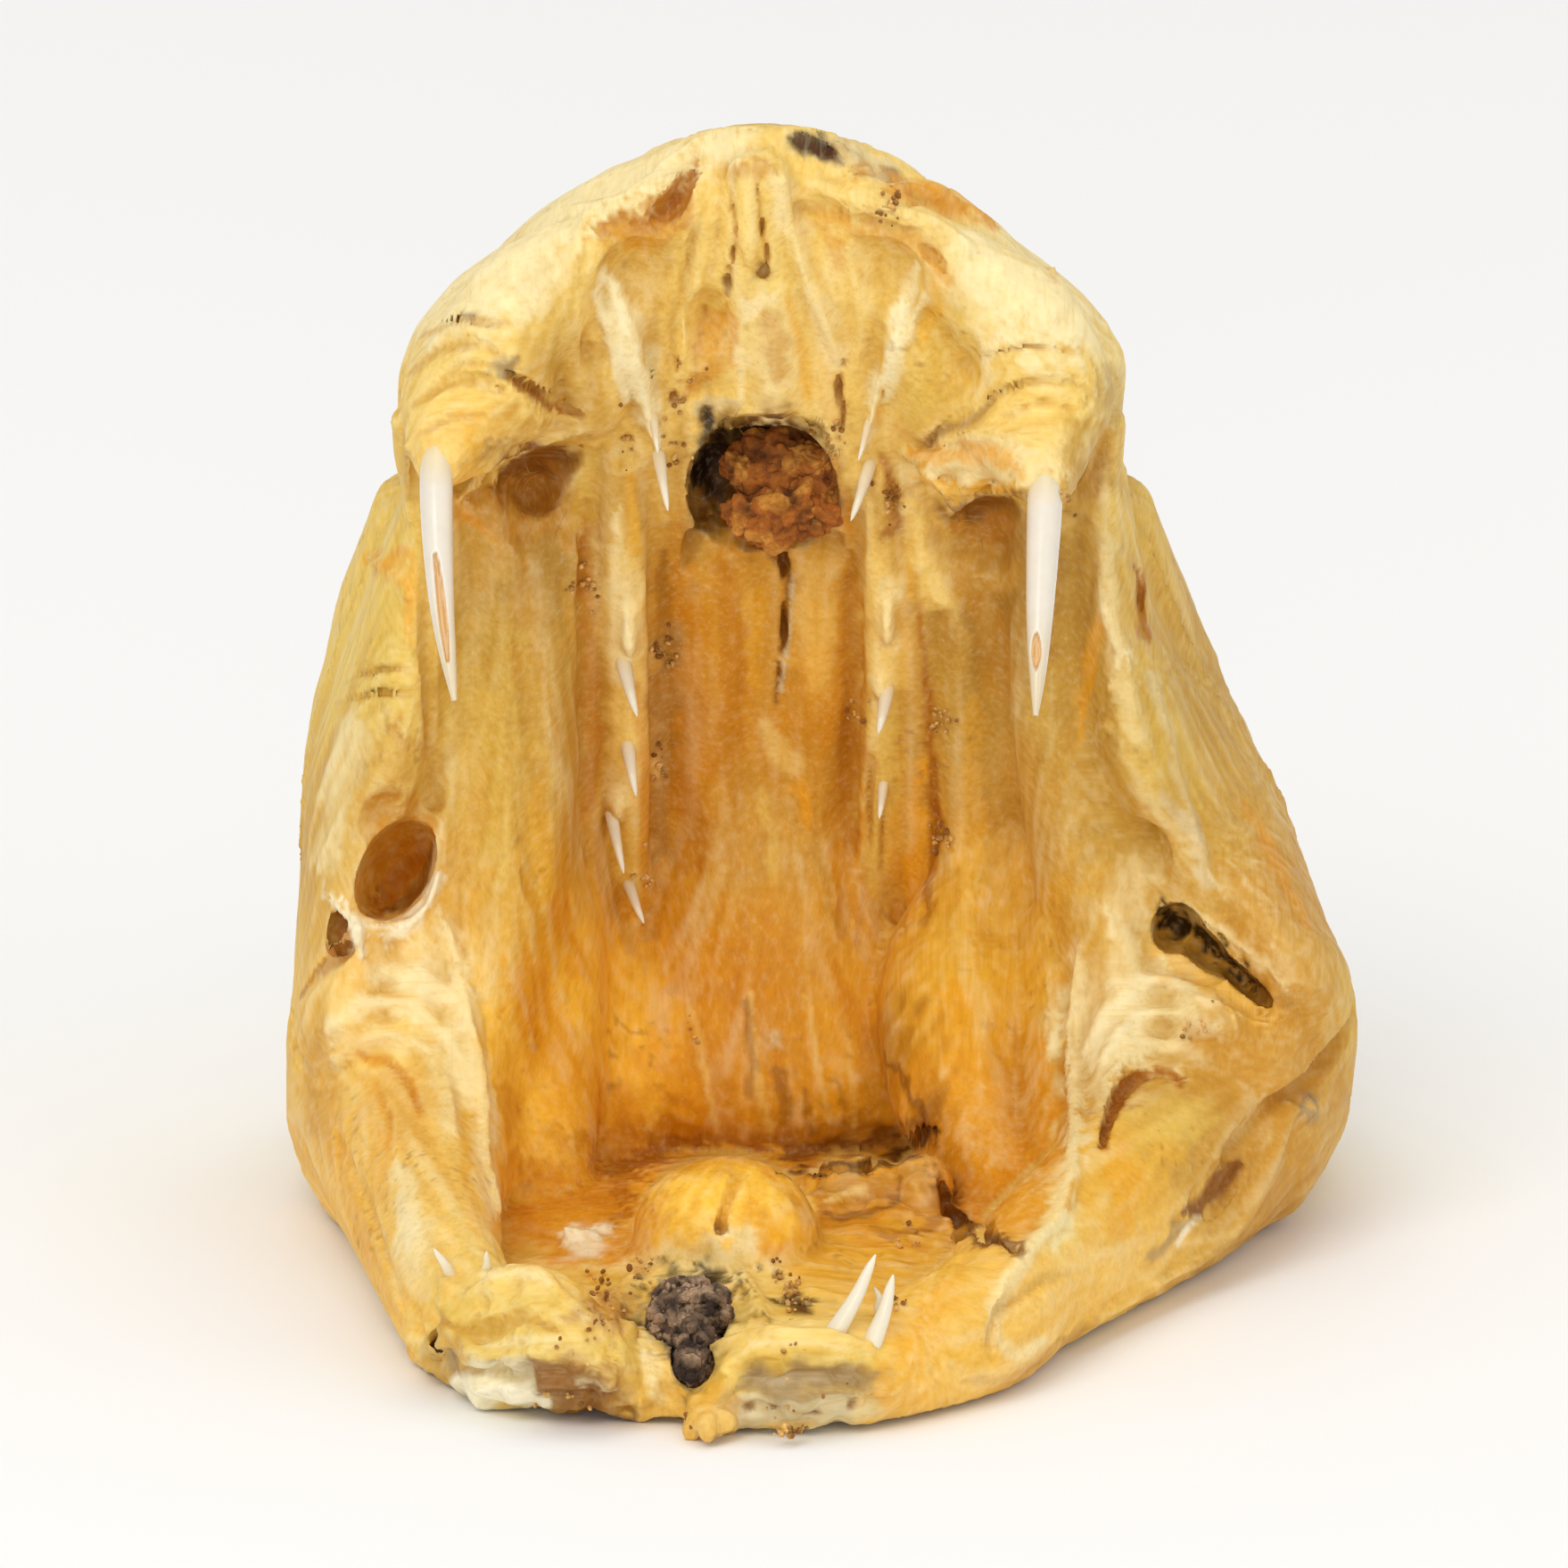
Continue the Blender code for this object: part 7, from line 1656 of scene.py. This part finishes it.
smallTeeth = {
    "palateLeft": [((-6.55, 40.0), (-6.2, 37.9), .26)],
    "palateRight": [((1.75, 39.4), (1.1, 37.5), .26)],
    "ridgeLeft": [((-7.95, 31.6), (-7.45, 29.7), .3), ((-7.8, 28.3), (-7.5, 26.5), .28),
                  ((-8.45, 25.5), (-8.0, 23.4), .26), ((-7.75, 22.8), (-7.2, 21.4), .24)],
    "ridgeRight": [((2.5, 30.4), (2.2, 29.0), .28), ((2.4, 26.8), (2.25, 25.6), .2)],
    "streakLeft": [((-6.75, 41.4), (-6.6, 40.2), .18)],
    "streakRight": [((1.75, 41.2), (1.4, 39.9), .16)],
}
jawTeeth = {  # root, tip and root radius
    "left": [((-14.6, -20.4, 7.0), (-15.45, -21.4, 8.6), .3), ((-13.6, -21, 7.2), (-13.35, -22, 8.5), .26)],
    "right": [((.2, -25.0, 4.9), (2.05, -25.5, 8.4), .44), ((1.75, -24.8, 4.5), (2.75, -25.4, 7.6), .44),
              ((2.15, -24.3, 6.3), (2.0, -24.6, 7.1), .18)],
}


def tubeMesh(path, around, along):
    dense = curveThrough(path, max(2, along // (len(path) - 1)))
    points, faces = [], []
    tangents = np.gradient(dense[:, :3], axis=0)
    for (x, y, z, wide, deep), way in zip(dense, unit(tangents)):
        side = np.cross(way, (0, 1, 0))
        side = side / np.linalg.norm(side) * (1 if side[0] > 0 else -1)
        front = np.cross(way, side)
        for a in np.arange(around) * 2 * math.pi / around:
            points.append(np.array((x, y, z)) + side * wide * math.cos(a) + front * deep * math.sin(a))
    n = len(dense)
    for i in range(n - 1):
        for j in range(around):
            k = (j + 1) % around
            faces.append((i * around + j, i * around + k, (i + 1) * around + k, (i + 1) * around + j))
    faces.append(tuple(range(around))[::-1])
    faces.append(tuple((n - 1) * around + j for j in range(around)))
    return np.array(points), faces


def closedPiece(name, points, faces, material):
    piece = meshFrom(name, toWorld(points), faces, material)
    grown = bmesh.new()
    grown.from_mesh(piece.data)
    bmesh.ops.recalc_face_normals(grown, faces=grown.faces)
    grown.to_mesh(piece.data)
    grown.free()
    piece.data.update()
    return piece


def joined(parts):  # points, faces and colours of several parts as one
    points, faces, colours = [], [], []
    count = 0
    for somePoints, someFaces, colour in parts:
        faces += [tuple(i + count for i in face) for face in someFaces]
        count += len(somePoints)
        points.append(somePoints)
        colours.append(colour)
    return np.concatenate(points), faces, np.concatenate(colours)


def makeFangs(material):
    for name, fang in fangShapes.items():
        points, faces = tubeMesh(fang["path"], fangSizes["around"], fangSizes["along"])
        top, tip = fang["path"][0][2], fang["path"][-1][2]
        t = np.clip((top - points[:, 2]) / (top - tip), 0, 1)
        colour = evenColour("#E4DBCB", points)
        towards(colour, "#E6CF98", np.clip(1 - t * 6, 0, 1) * 0.9)
        towards(colour, "#D8C6A0", (np.clip(t - 0.55, 0, 1) * 2.6).clip(0, 0.8))
        away = np.full(len(points), 9.0)
        for x, _, z, w, _ in curveThrough([(x, 0, z, w, 0) for x, z, w in fang["slit"]], 12):
            away = np.minimum(away, np.sqrt((points[:, 0] - x) ** 2 + (points[:, 2] - z) ** 2) / w)
        spine = np.interp(-points[:, 2], [-p[2] for p in fang["path"]], [p[1] for p in fang["path"]])
        inSlit = np.clip((1.3 - away) * 2.2, 0, 1) * (points[:, 1] < spine)
        towards(colour, "#C98F2C", inSlit * 0.9)
        points[:, 1] += inSlit * fangSizes["slitDepth"]
        piece = closedPiece(name, points, faces, material)
        addTone(piece, colour)
        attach(piece, "root")
        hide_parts(fang["node"])
    print("fangs made")


def toothPath(root, tip, radius, bend):
    root, tip = np.array(root, float), np.array(tip, float)
    middle = (root + tip) / 2 + bend
    return [
        (*(root - (tip - root) * 0.35), radius * 0.95, radius), (*root, radius, radius * 1.05),
        (*middle, radius * 0.68, radius * 0.72), (*((middle + tip * 2) / 3), radius * 0.42, radius * 0.44),
        (*tip, radius * 0.08, radius * 0.08),
    ]


def makeTeeth(relief, material):
    groups = {"palateTeeth": [], "lowerTeeth": []}
    for teeth in smallTeeth.values():
        for (x0, z0), (x1, z1), radius in teeth:
            y = float(relief.at(x0, z0)) - radius * 0.3
            path = toothPath((x0, y, z0), (x1, y - toothSizes["reach"], z1), radius, (0, -0.28, -0.05))
            groups["palateTeeth"].append(path)
    for teeth in jawTeeth.values():
        for root, tip, radius in teeth:
            groups["lowerTeeth"].append(toothPath(root, tip, radius, (0.12, -0.12, 0)))
    for name, paths in groups.items():
        parts = []
        for path in paths:
            points, faces = tubeMesh(path, toothSizes["around"], toothSizes["along"])
            colour = evenColour("#E9DFC6", points)
            towards(colour, "#E2C27E", np.clip(1 - np.linspace(0, 1, len(points)) * 3, 0, 1) * 0.9)
            parts.append((points, faces, colour))
        points, faces, colour = joined(parts)
        piece = closedPiece(name, points, faces, material)
        addTone(piece, colour)
        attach(piece, "root")
    print("teeth made")


# Eyes, debris, soil and crumbs

def lumpyBall(centre, radii, roughness, size, seed, level=5):
    ball = bmesh.new()
    bmesh.ops.create_icosphere(ball, subdivisions=level, radius=1.0)
    points = np.array([v.co[:] for v in ball.verts])
    faces = [tuple(v.index for v in f.verts) for f in ball.faces]
    ball.free()
    placed = points * radii + np.array(centre)
    rise = lumps(placed, size, seed) + 0.5 * lumps(placed, size * 0.45, seed + 1)
    rise = roughness * (rise + 0.25 * lumps(placed, size * 0.2, seed + 2))
    return placed + points * rise[:, None], faces, rise


eyeLook = {"radius": 2.25, "sunk": 0.25, "slitWide": 0.22, "slitTall": 1.3}  # mm; the dried cornea has sunk


def makeEyes(material):
    for side, spot in eyeSpots.items():
        centre = np.array(onRoof(*spot))
        points, faces, _ = lumpyBall(centre, (eyeLook["radius"],) * 3, 0.05, 1.1, 41)
        outward = -1 if side == "left" else 1
        front = (points[:, 0] - centre[0]) * outward > 0
        offAxis = np.sqrt(((points - centre)[:, 1:] ** 2).sum(axis=1))
        points[:, 0] -= outward * eyeLook["sunk"] * np.clip(1.2 - offAxis / 1.2, 0, 1)
        colour = evenColour("#9A6E38", points)
        ring = np.clip((1.9 - offAxis) * 1.2 + 0.25 * lumps(points, 0.5, 44), 0, 1)
        towards(colour, "#5E3E1A", ring * front)
        dy, dz = (points - centre)[:, 1:].T
        slit = np.clip(1.3 - np.hypot(dy / eyeLook["slitWide"], dz / eyeLook["slitTall"]), 0, 1)
        towards(colour, "#120C07", np.clip(slit * front * 2, 0, 1))
        piece = closedPiece(side + "Eye", points, faces, material)
        addTone(piece, colour)
        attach(piece, "root")
        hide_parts("eye_" + side)
    print("eyes made")


debrisParts = [  # centre, radii and seed of each lump
    ((-1.7, -2.8, 39.5), (2.2, 1.6, 1.9), 3), ((-1.2, -4.2, 37.9), (1.4, 1.2, 1.1), 7),
    ((-2.8, -3.9, 37.8), (1.15, 1.1, .9), 9), ((-.3, -3.5, 39.1), (.9, 1, 1.5), 12),
    ((-2.1, -4.3, 37.2), (1, .8, .6), 13), ((-3.1, -3.3, 39.6), (.9, 1, .8), 14),
    ((-1.1, -3.9, 39.9), (1.2, .8, .6), 16), ((-.3, -4.2, 37.7), (.7, .7, .6), 18),
]
soilParts = [
    ((-5.4, -19.4, 5.9), (1.4, 1.9, 1.5), 15), ((-5.1, -21.4, 4.7), (1, 1.6, 1.2), 25),
    ((-5.2, -22.6, 3.9), (.7, 1.2, .8), 26), ((-6.1, -20.4, 5.6), (.8, 1.2, .9), 27),
    ((-4.5, -20.6, 6.2), (.8, 1.1, .8), 28),
]


def makeDebris(material, soilMaterial):
    parts = []
    for centre, radii, seed in debrisParts:
        points, faces, rise = lumpyBall(centre, radii, 0.3, 0.6, seed)
        colour = evenColour("#A05A14", points)
        # painted shade: darker down in the dips of each lump
        towards(colour, "#6C3A0C", np.clip(0.4 - rise * 2.4, 0, 1))
        towards(colour, "#C48632", np.clip(lumps(points, 0.7, seed + 4) * 1.5 - 0.3, 0, 0.8))
        parts.append((points, faces, colour))
    points, faces, colour = joined(parts)
    piece = closedPiece("choanaDebris", points, faces, material)
    addTone(piece, colour)
    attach(piece, "root")
    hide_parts("choana_debris")
    parts = []
    for centre, radii, seed in soilParts:
        points, faces, rise = lumpyBall(centre, radii, 0.22, 0.55, seed, level=4)
        colour = evenColour("#6A5340", points)
        # painted shade: darker down in the dips of each lump
        towards(colour, "#2A1E14", np.clip(0.3 - rise * 4, 0, 1))
        parts.append((points, faces, colour))
    points, faces, colour = joined(parts)
    soil = closedPiece("soilCore", points, faces, soilMaterial)
    addTone(soil, colour)
    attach(soil, "root")
    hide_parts("soil_plug")
    print("debris made")


def newTree(name, inputs):  # a geometry tree with named inputs, and the identifier of each
    tree = bpy.data.node_groups.new(name, "GeometryNodeTree")
    tree.interface.new_socket("Geometry", in_out="INPUT", socket_type="NodeSocketGeometry")
    sockets = {}
    for label, kind, value in inputs:
        socket = tree.interface.new_socket(label, in_out="INPUT", socket_type=kind)
        socket.default_value = value
        sockets[label] = socket.identifier
    tree.interface.new_socket("Geometry", in_out="OUTPUT", socket_type="NodeSocketGeometry")
    return tree, sockets, addNode(tree, "NodeGroupInput").outputs


def endTree(tree, geometry, material):
    real = addNode(tree, "GeometryNodeRealizeInstances", {"Geometry": geometry})
    done = addNode(tree, "GeometryNodeSetMaterial", {"Geometry": real.outputs[0]}, {"Material": material})
    addNode(tree, "NodeGroupOutput", {"Geometry": done.outputs[0]})


def grainTree(name, material):
    # lays rough grains on the points of a mesh: sizes vary between least and most
    tree, sockets, given = newTree(name, [
        ("Least Size", "NodeSocketFloat", 0.0001), ("Most Size", "NodeSocketFloat", 0.0003),
        ("Seed", "NodeSocketInt", 1)])
    size = addNode(tree, "FunctionNodeRandomValue", {
        2: given["Least Size"], 3: given["Most Size"], "Seed": given["Seed"]}, data_type="FLOAT")
    turn = addNode(tree, "FunctionNodeRandomValue", {"Seed": given["Seed"]}, {1: (6.28,) * 3},
                   data_type="FLOAT_VECTOR")
    squash = addNode(tree, "FunctionNodeRandomValue", {"Seed": given["Seed"]}, {
        0: (0.6, 0.6, 0.6), 1: (1.3, 1.0, 1.0)}, data_type="FLOAT_VECTOR")
    scale = addNode(tree, "ShaderNodeVectorMath", {0: squash.outputs[0], "Scale": size.outputs[1]},
                    operation="SCALE")
    grain = addNode(tree, "GeometryNodeMeshIcoSphere", values={"Radius": 1.0, "Subdivisions": 1})
    jag = addNode(tree, "ShaderNodeTexNoise", values={"Scale": 1.7, "Detail": 2.0})
    push = addNode(tree, "ShaderNodeVectorMath", {0: jag.outputs["Color"]}, {1: (0.5, 0.5, 0.5)},
                   operation="SUBTRACT")
    rough = addNode(tree, "GeometryNodeSetPosition", {
        "Geometry": grain.outputs["Mesh"], "Offset": push.outputs[0]})
    spots = addNode(tree, "GeometryNodeMeshToPoints", {"Mesh": given["Geometry"]})
    laid = addNode(tree, "GeometryNodeInstanceOnPoints", {
        "Points": spots.outputs[0], "Instance": rough.outputs[0], "Rotation": turn.outputs[0],
        "Scale": scale.outputs[0]})
    endTree(tree, laid.outputs[0], material)
    return tree, sockets


def grow(name, points, edges, treeAndSockets, values, material):
    # runs a node tree on points or paths and keeps the result as a plain mesh
    tree, sockets = treeAndSockets
    mesh = bpy.data.meshes.new(name + "Guide")
    mesh.from_pydata(toWorld(points).tolist(), edges, [])
    guide = bpy.data.objects.new(name + "Guide", mesh)
    bpy.context.scene.collection.objects.link(guide)
    modifier = guide.modifiers.new("grow", "NODES")
    modifier.node_group = tree
    for label, value in values.items():
        modifier[sockets[label]] = value
    bpy.context.view_layer.update()
    result = bpy.data.meshes.new_from_object(guide.evaluated_get(bpy.context.evaluated_depsgraph_get()))
    bpy.data.objects.remove(guide)
    result.name = name
    if not result.materials:
        result.materials.append(material)
    piece = bpy.data.objects.new(name, result)
    bpy.context.scene.collection.objects.link(piece)
    return piece


def hairTree(name, material):
    # turns paths into thin round hairs
    tree, sockets, given = newTree(name, [("Thickness", "NodeSocketFloat", 0.00003)])
    path = addNode(tree, "GeometryNodeMeshToCurve", {"Mesh": given["Geometry"]})
    ring = addNode(tree, "GeometryNodeCurvePrimitiveCircle", {"Radius": given["Thickness"]}, {
        "Resolution": 5})
    tube = addNode(tree, "GeometryNodeCurveToMesh", {
        "Curve": path.outputs[0], "Profile Curve": ring.outputs[0]}, {"Fill Caps": True})
    endTree(tree, tube.outputs[0], material)
    return tree, sockets


def toneAll(piece, low, high, seed):
    co = np.zeros(len(piece.data.vertices) * 3)
    piece.data.vertices.foreach_get("co", co)
    pick = np.clip(0.5 + lumps(co.reshape(-1, 3) * 1000, 0.5, seed), 0, 1)
    colour = evenColour(low, pick)
    towards(colour, high, pick)
    addTone(piece, colour)


crumbSizes = {  # metres
    "soilCount": 520, "soilLeast": 0.00008, "soilMost": 0.00034,
    "crumbLeast": 0.00005, "crumbMost": 0.00016,
}
deepest = 25  # crumbs and threads lie on nothing further back than this
crumbTrails = [  # x, z, spread, count: flakes and granules stuck to the tissue
    (-6, 40.6, .7, 14), (-9.6, 35, .5, 16), (-6.4, 32.4, .5, 26), (-6.5, 28, .4, 18), (2.6, 38.4, .5, 26),
    (-8, 40.6, .5, 8), (4.6, 29.6, .35, 18), (4.7, 25, .35, 20), (1.2, 30, .5, 8), (-7.2, 22.6, .8, 12),
    (.4, 40.6, .5, 16), (-5.4, 42.6, .8, 10), (3.4, 8.7, .6, 12), (-8.8, 6.5, .7, 34), (-7.3, 7.8, .4, 14),
    (-1.4, 6.6, .5, 30), (-1.8, 7.6, .25, 10), (2.9, 6.6, .25, 8), (-5.3, 1.4, .5, 16), (-1, 2, 1.6, 26),
    (-10, 2.6, 1.2, 18), (15.2, 17.3, .5, 7), (14.4, 17, .2, 3), (2.6, 49.9, .4, 16), (-5.3, 16.9, .3, 5),
    (9.6, 38.4, .25, 8), (-13, 49, .4, 10),
]
looseCrumbs = [  # x, y, z, spread and count of crumbs beside the chin and on the right jaw
    (-1.5, -26.4, 1.5, .22, 26), (14.1, -3.4, 7, .12, 8), (11.7, -6.6, 6.2, .1, 6),
]


def makeCrumbs(relief, soilMaterial, debrisMaterial):
    random = np.random.default_rng(17)
    count = crumbSizes["soilCount"]
    way = unit(random.normal(size=(count, 3)))
    way[:, 1] = -np.abs(way[:, 1])
    pick = random.integers(0, len(soilParts), count)
    centres, radii = [np.array([soilParts[i][part] for i in pick]) for part in (0, 1)]
    points = centres + way * radii * random.uniform(0.94, 1.1, (count, 1))
    grains = grow("soilGrains", points[inBox(points)], [], grainTree("grainsOfSoil", soilMaterial), {
        "Least Size": crumbSizes["soilLeast"], "Most Size": crumbSizes["soilMost"], "Seed": 3},
        soilMaterial)
    toneAll(grains, "#33241A", "#A88A6C", 51)
    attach(grains, "root")
    spots = []
    for x, z, spread, number in crumbTrails:
        px = x + random.normal(size=number) * spread * 0.6
        pz = z + random.normal(size=number) * spread
        depth = relief.at(px, pz)
        ok = depth < deepest
        spots.append(np.stack([px[ok], depth[ok] + 0.02, pz[ok]], axis=1))
    for x, y, z, spread, number in looseCrumbs:
        spots.append(np.array((x, y, z)) + random.normal(size=(number, 3)) * spread * (1, 0.7, 0.6))
    spots = np.concatenate(spots)
    crumbs = grow("tissueCrumbs", spots[inBox(spots)], [], grainTree("grainsOfTissue", debrisMaterial), {
        "Least Size": crumbSizes["crumbLeast"], "Most Size": crumbSizes["crumbMost"], "Seed": 5},
        debrisMaterial)
    toneAll(crumbs, "#8A5616", "#DDAE62", 52)
    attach(crumbs, "root")
    print("crumbs laid", len(grains.data.polygons) + len(crumbs.data.polygons), "faces")


threadSizes = {"thickness": 0.000008, "steps": 8}  # radius in metres, straight bits of each thread
hairPatches = [  # x, z, spread, count and length of loose dried threads
    (-11.8, 39.2, 1.3, 6, 1.7), (-11.4, 38, .9, 4, 1.3), (6.6, 37.6, .9, 5, 1.2), (.2, 40.2, .4, 14, .5),
    (-.3, 41.2, .3, 8, .4), (-2.6, 41.5, .9, 8, .4), (2.9, 38.2, .4, 10, .5), (-5.2, 38.4, .2, 6, .5),
    (-2, 39.2, 1.2, 22, 1.2), (9.5, 38.4, .25, 8, .35), (5.4, 38.4, .7, 10, .3), (-12.6, 49.4, .3, 5, .3),
    (-3.6, 1.2, .6, 10, .5), (-5.6, .9, .4, 6, .5), (18.6, 18.3, .5, 10, .5),
]


def makeHairs(relief, material):
    random = np.random.default_rng(23)
    points, edges = [], []
    steps = threadSizes["steps"]
    for x, z, spread, number, length in hairPatches:
        for _ in range(number):
            px, pz = x + random.normal() * spread * 0.5, z + random.normal() * spread * 0.5
            depth = float(relief.at(px, pz))
            if depth > deepest:
                continue
            a = random.uniform(0, 2 * math.pi)
            bend = random.normal() * 0.5
            hair = []
            for i in range(steps + 1):
                t = i / steps
                qx = px + length * (t - 0.5) * math.cos(a + bend * t)
                qz = pz + length * (t - 0.5) * math.sin(a + bend * t)
                qy = float(relief.at(qx, qz))
                lift = 0.05 + 0.3 * length * t * (1 - t)
                hair.append((qx, min(depth, qy if abs(qy - depth) < 1.5 else depth) - lift, qz))
            if inBox(hair).all():
                edges += [(len(points) + i, len(points) + i + 1) for i in range(steps)]
                points += hair
    hairs = grow("driedThreads", np.array(points), edges, hairTree("threads", material), {
        "Thickness": threadSizes["thickness"]}, material)
    toneAll(hairs, "#7A5420", "#C29A54", 53)
    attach(hairs, "root")
    print("threads laid")


# Studio

studio = {
    "floorSize": 3.0, "floorDrop": 0.00002,  # metres
    "distance": 2.0, "centreX": -1.57, "centreZ": 27.0, "width": 62.8,  # camera, and what it takes in, in mm
    "world": 0.66, "aim": (0, 0, 0.02),
    "panels": [  # name, place and size in metres, watts
        ("keyPanel", (-0.28, -0.55, 0.62), 0.5, 2.1), ("fillPanel", (0.55, -0.5, 0.3), 0.6, 0.7),
        ("topPanel", (0.05, 0.1, 0.8), 0.7, 1.0), ("frontPanel", (-0.05, -1.1, 0.2), 0.4, 1.5),
    ],
}


def makeStudio():
    scene = bpy.context.scene
    half = studio["floorSize"]
    floorMaterial, tree, shader = newMaterial("paleFloor")
    place = addNode(tree, "ShaderNodeTexCoord").outputs["Object"]
    grain = addNode(tree, "ShaderNodeTexNoise", {"Vector": place}, {"Scale": 900.0, "Detail": 2.0})
    bump = addNode(tree, "ShaderNodeBump", {"Height": grain.outputs["Fac"]}, {"Distance": 0.00001})
    tree.links.new(bump.outputs[0], shader.inputs["Normal"])
    shader.inputs["Base Color"].default_value = hexColour("#FBFBFA")
    shader.inputs["Roughness"].default_value = 0.9
    points = [(x * half, y * half, -studio["floorDrop"]) for x, y in ((-1, -1), (1, -1), (1, 1), (-1, 1))]
    meshFrom("paleFloor", points, [(0, 1, 2, 3)], floorMaterial)

    world = bpy.data.worlds.new("softRoom")
    world.use_nodes = True
    background = world.node_tree.nodes["Background"]
    background.inputs[0].default_value = (1.0, 0.99, 0.975, 1)
    background.inputs[1].default_value = studio["world"]
    scene.world = world
    for name, spot, size, watts in studio["panels"]:
        light = bpy.data.lights.new(name, "AREA")
        light.shape = "DISK"
        light.size = size
        light.energy = watts
        lamp = bpy.data.objects.new(name, light)
        lamp.visible_camera = False
        lamp.location = spot
        lamp.rotation_euler = (Vector(studio["aim"]) - Vector(spot)).to_track_quat("-Z", "Y").to_euler()
        scene.collection.objects.link(lamp)

    lens = bpy.data.cameras.new("photoView")
    lens.sensor_width = 36.0
    lens.lens = 36.0 * studio["distance"] * 1000 / studio["width"]
    lens.clip_start, lens.clip_end = 0.1, 20.0
    camera = bpy.data.objects.new("photoView", lens)
    camera.location = toWorld([(studio["centreX"], -studio["distance"] * 1000, studio["centreZ"])])[0]
    camera.rotation_euler = (math.radians(90) - pose["pitch"], 0, 0)
    scene.collection.objects.link(camera)
    scene.camera = camera
    scene.view_settings.view_transform = "Standard"


def build():
    makeStudio()
    clay, relief = shapeClay()
    tissueMaterial = driedTissue()
    # dense dentine, polished by growth: a soft gloss, with light passing a little way in
    ivory = paintedSolid("fangIvory", 0.24, 0.0009, 0.000004, 0.03, subsurface=0.15, coat=0.3)
    # collapsed cornea, still a little wet-looking
    driedCornea = paintedSolid("driedCornea", 0.3, 0.0006, 0.00001, 0.12, coat=0.5)
    crumbly = paintedSolid("crumblyDebris", 0.9, 0.0002, 0.00006, 0.3)  # dust and fibre caked together, matt
    soilGrain = paintedSolid("greySoil", 0.95, 0.00015, 0.00005, 0.35)  # dry garden soil
    thread = paintedSolid("driedThread", 0.5, 0.0004, 0.00001, 0.15)  # loose strands of connective tissue
    makeSkin(clay, relief, tissueMaterial)
    makeFangs(ivory)
    makeTeeth(relief, ivory)
    makeEyes(driedCornea)
    makeDebris(crumbly, soilGrain)
    makeCrumbs(relief, soilGrain, crumbly)
    makeHairs(relief, thread)


build()
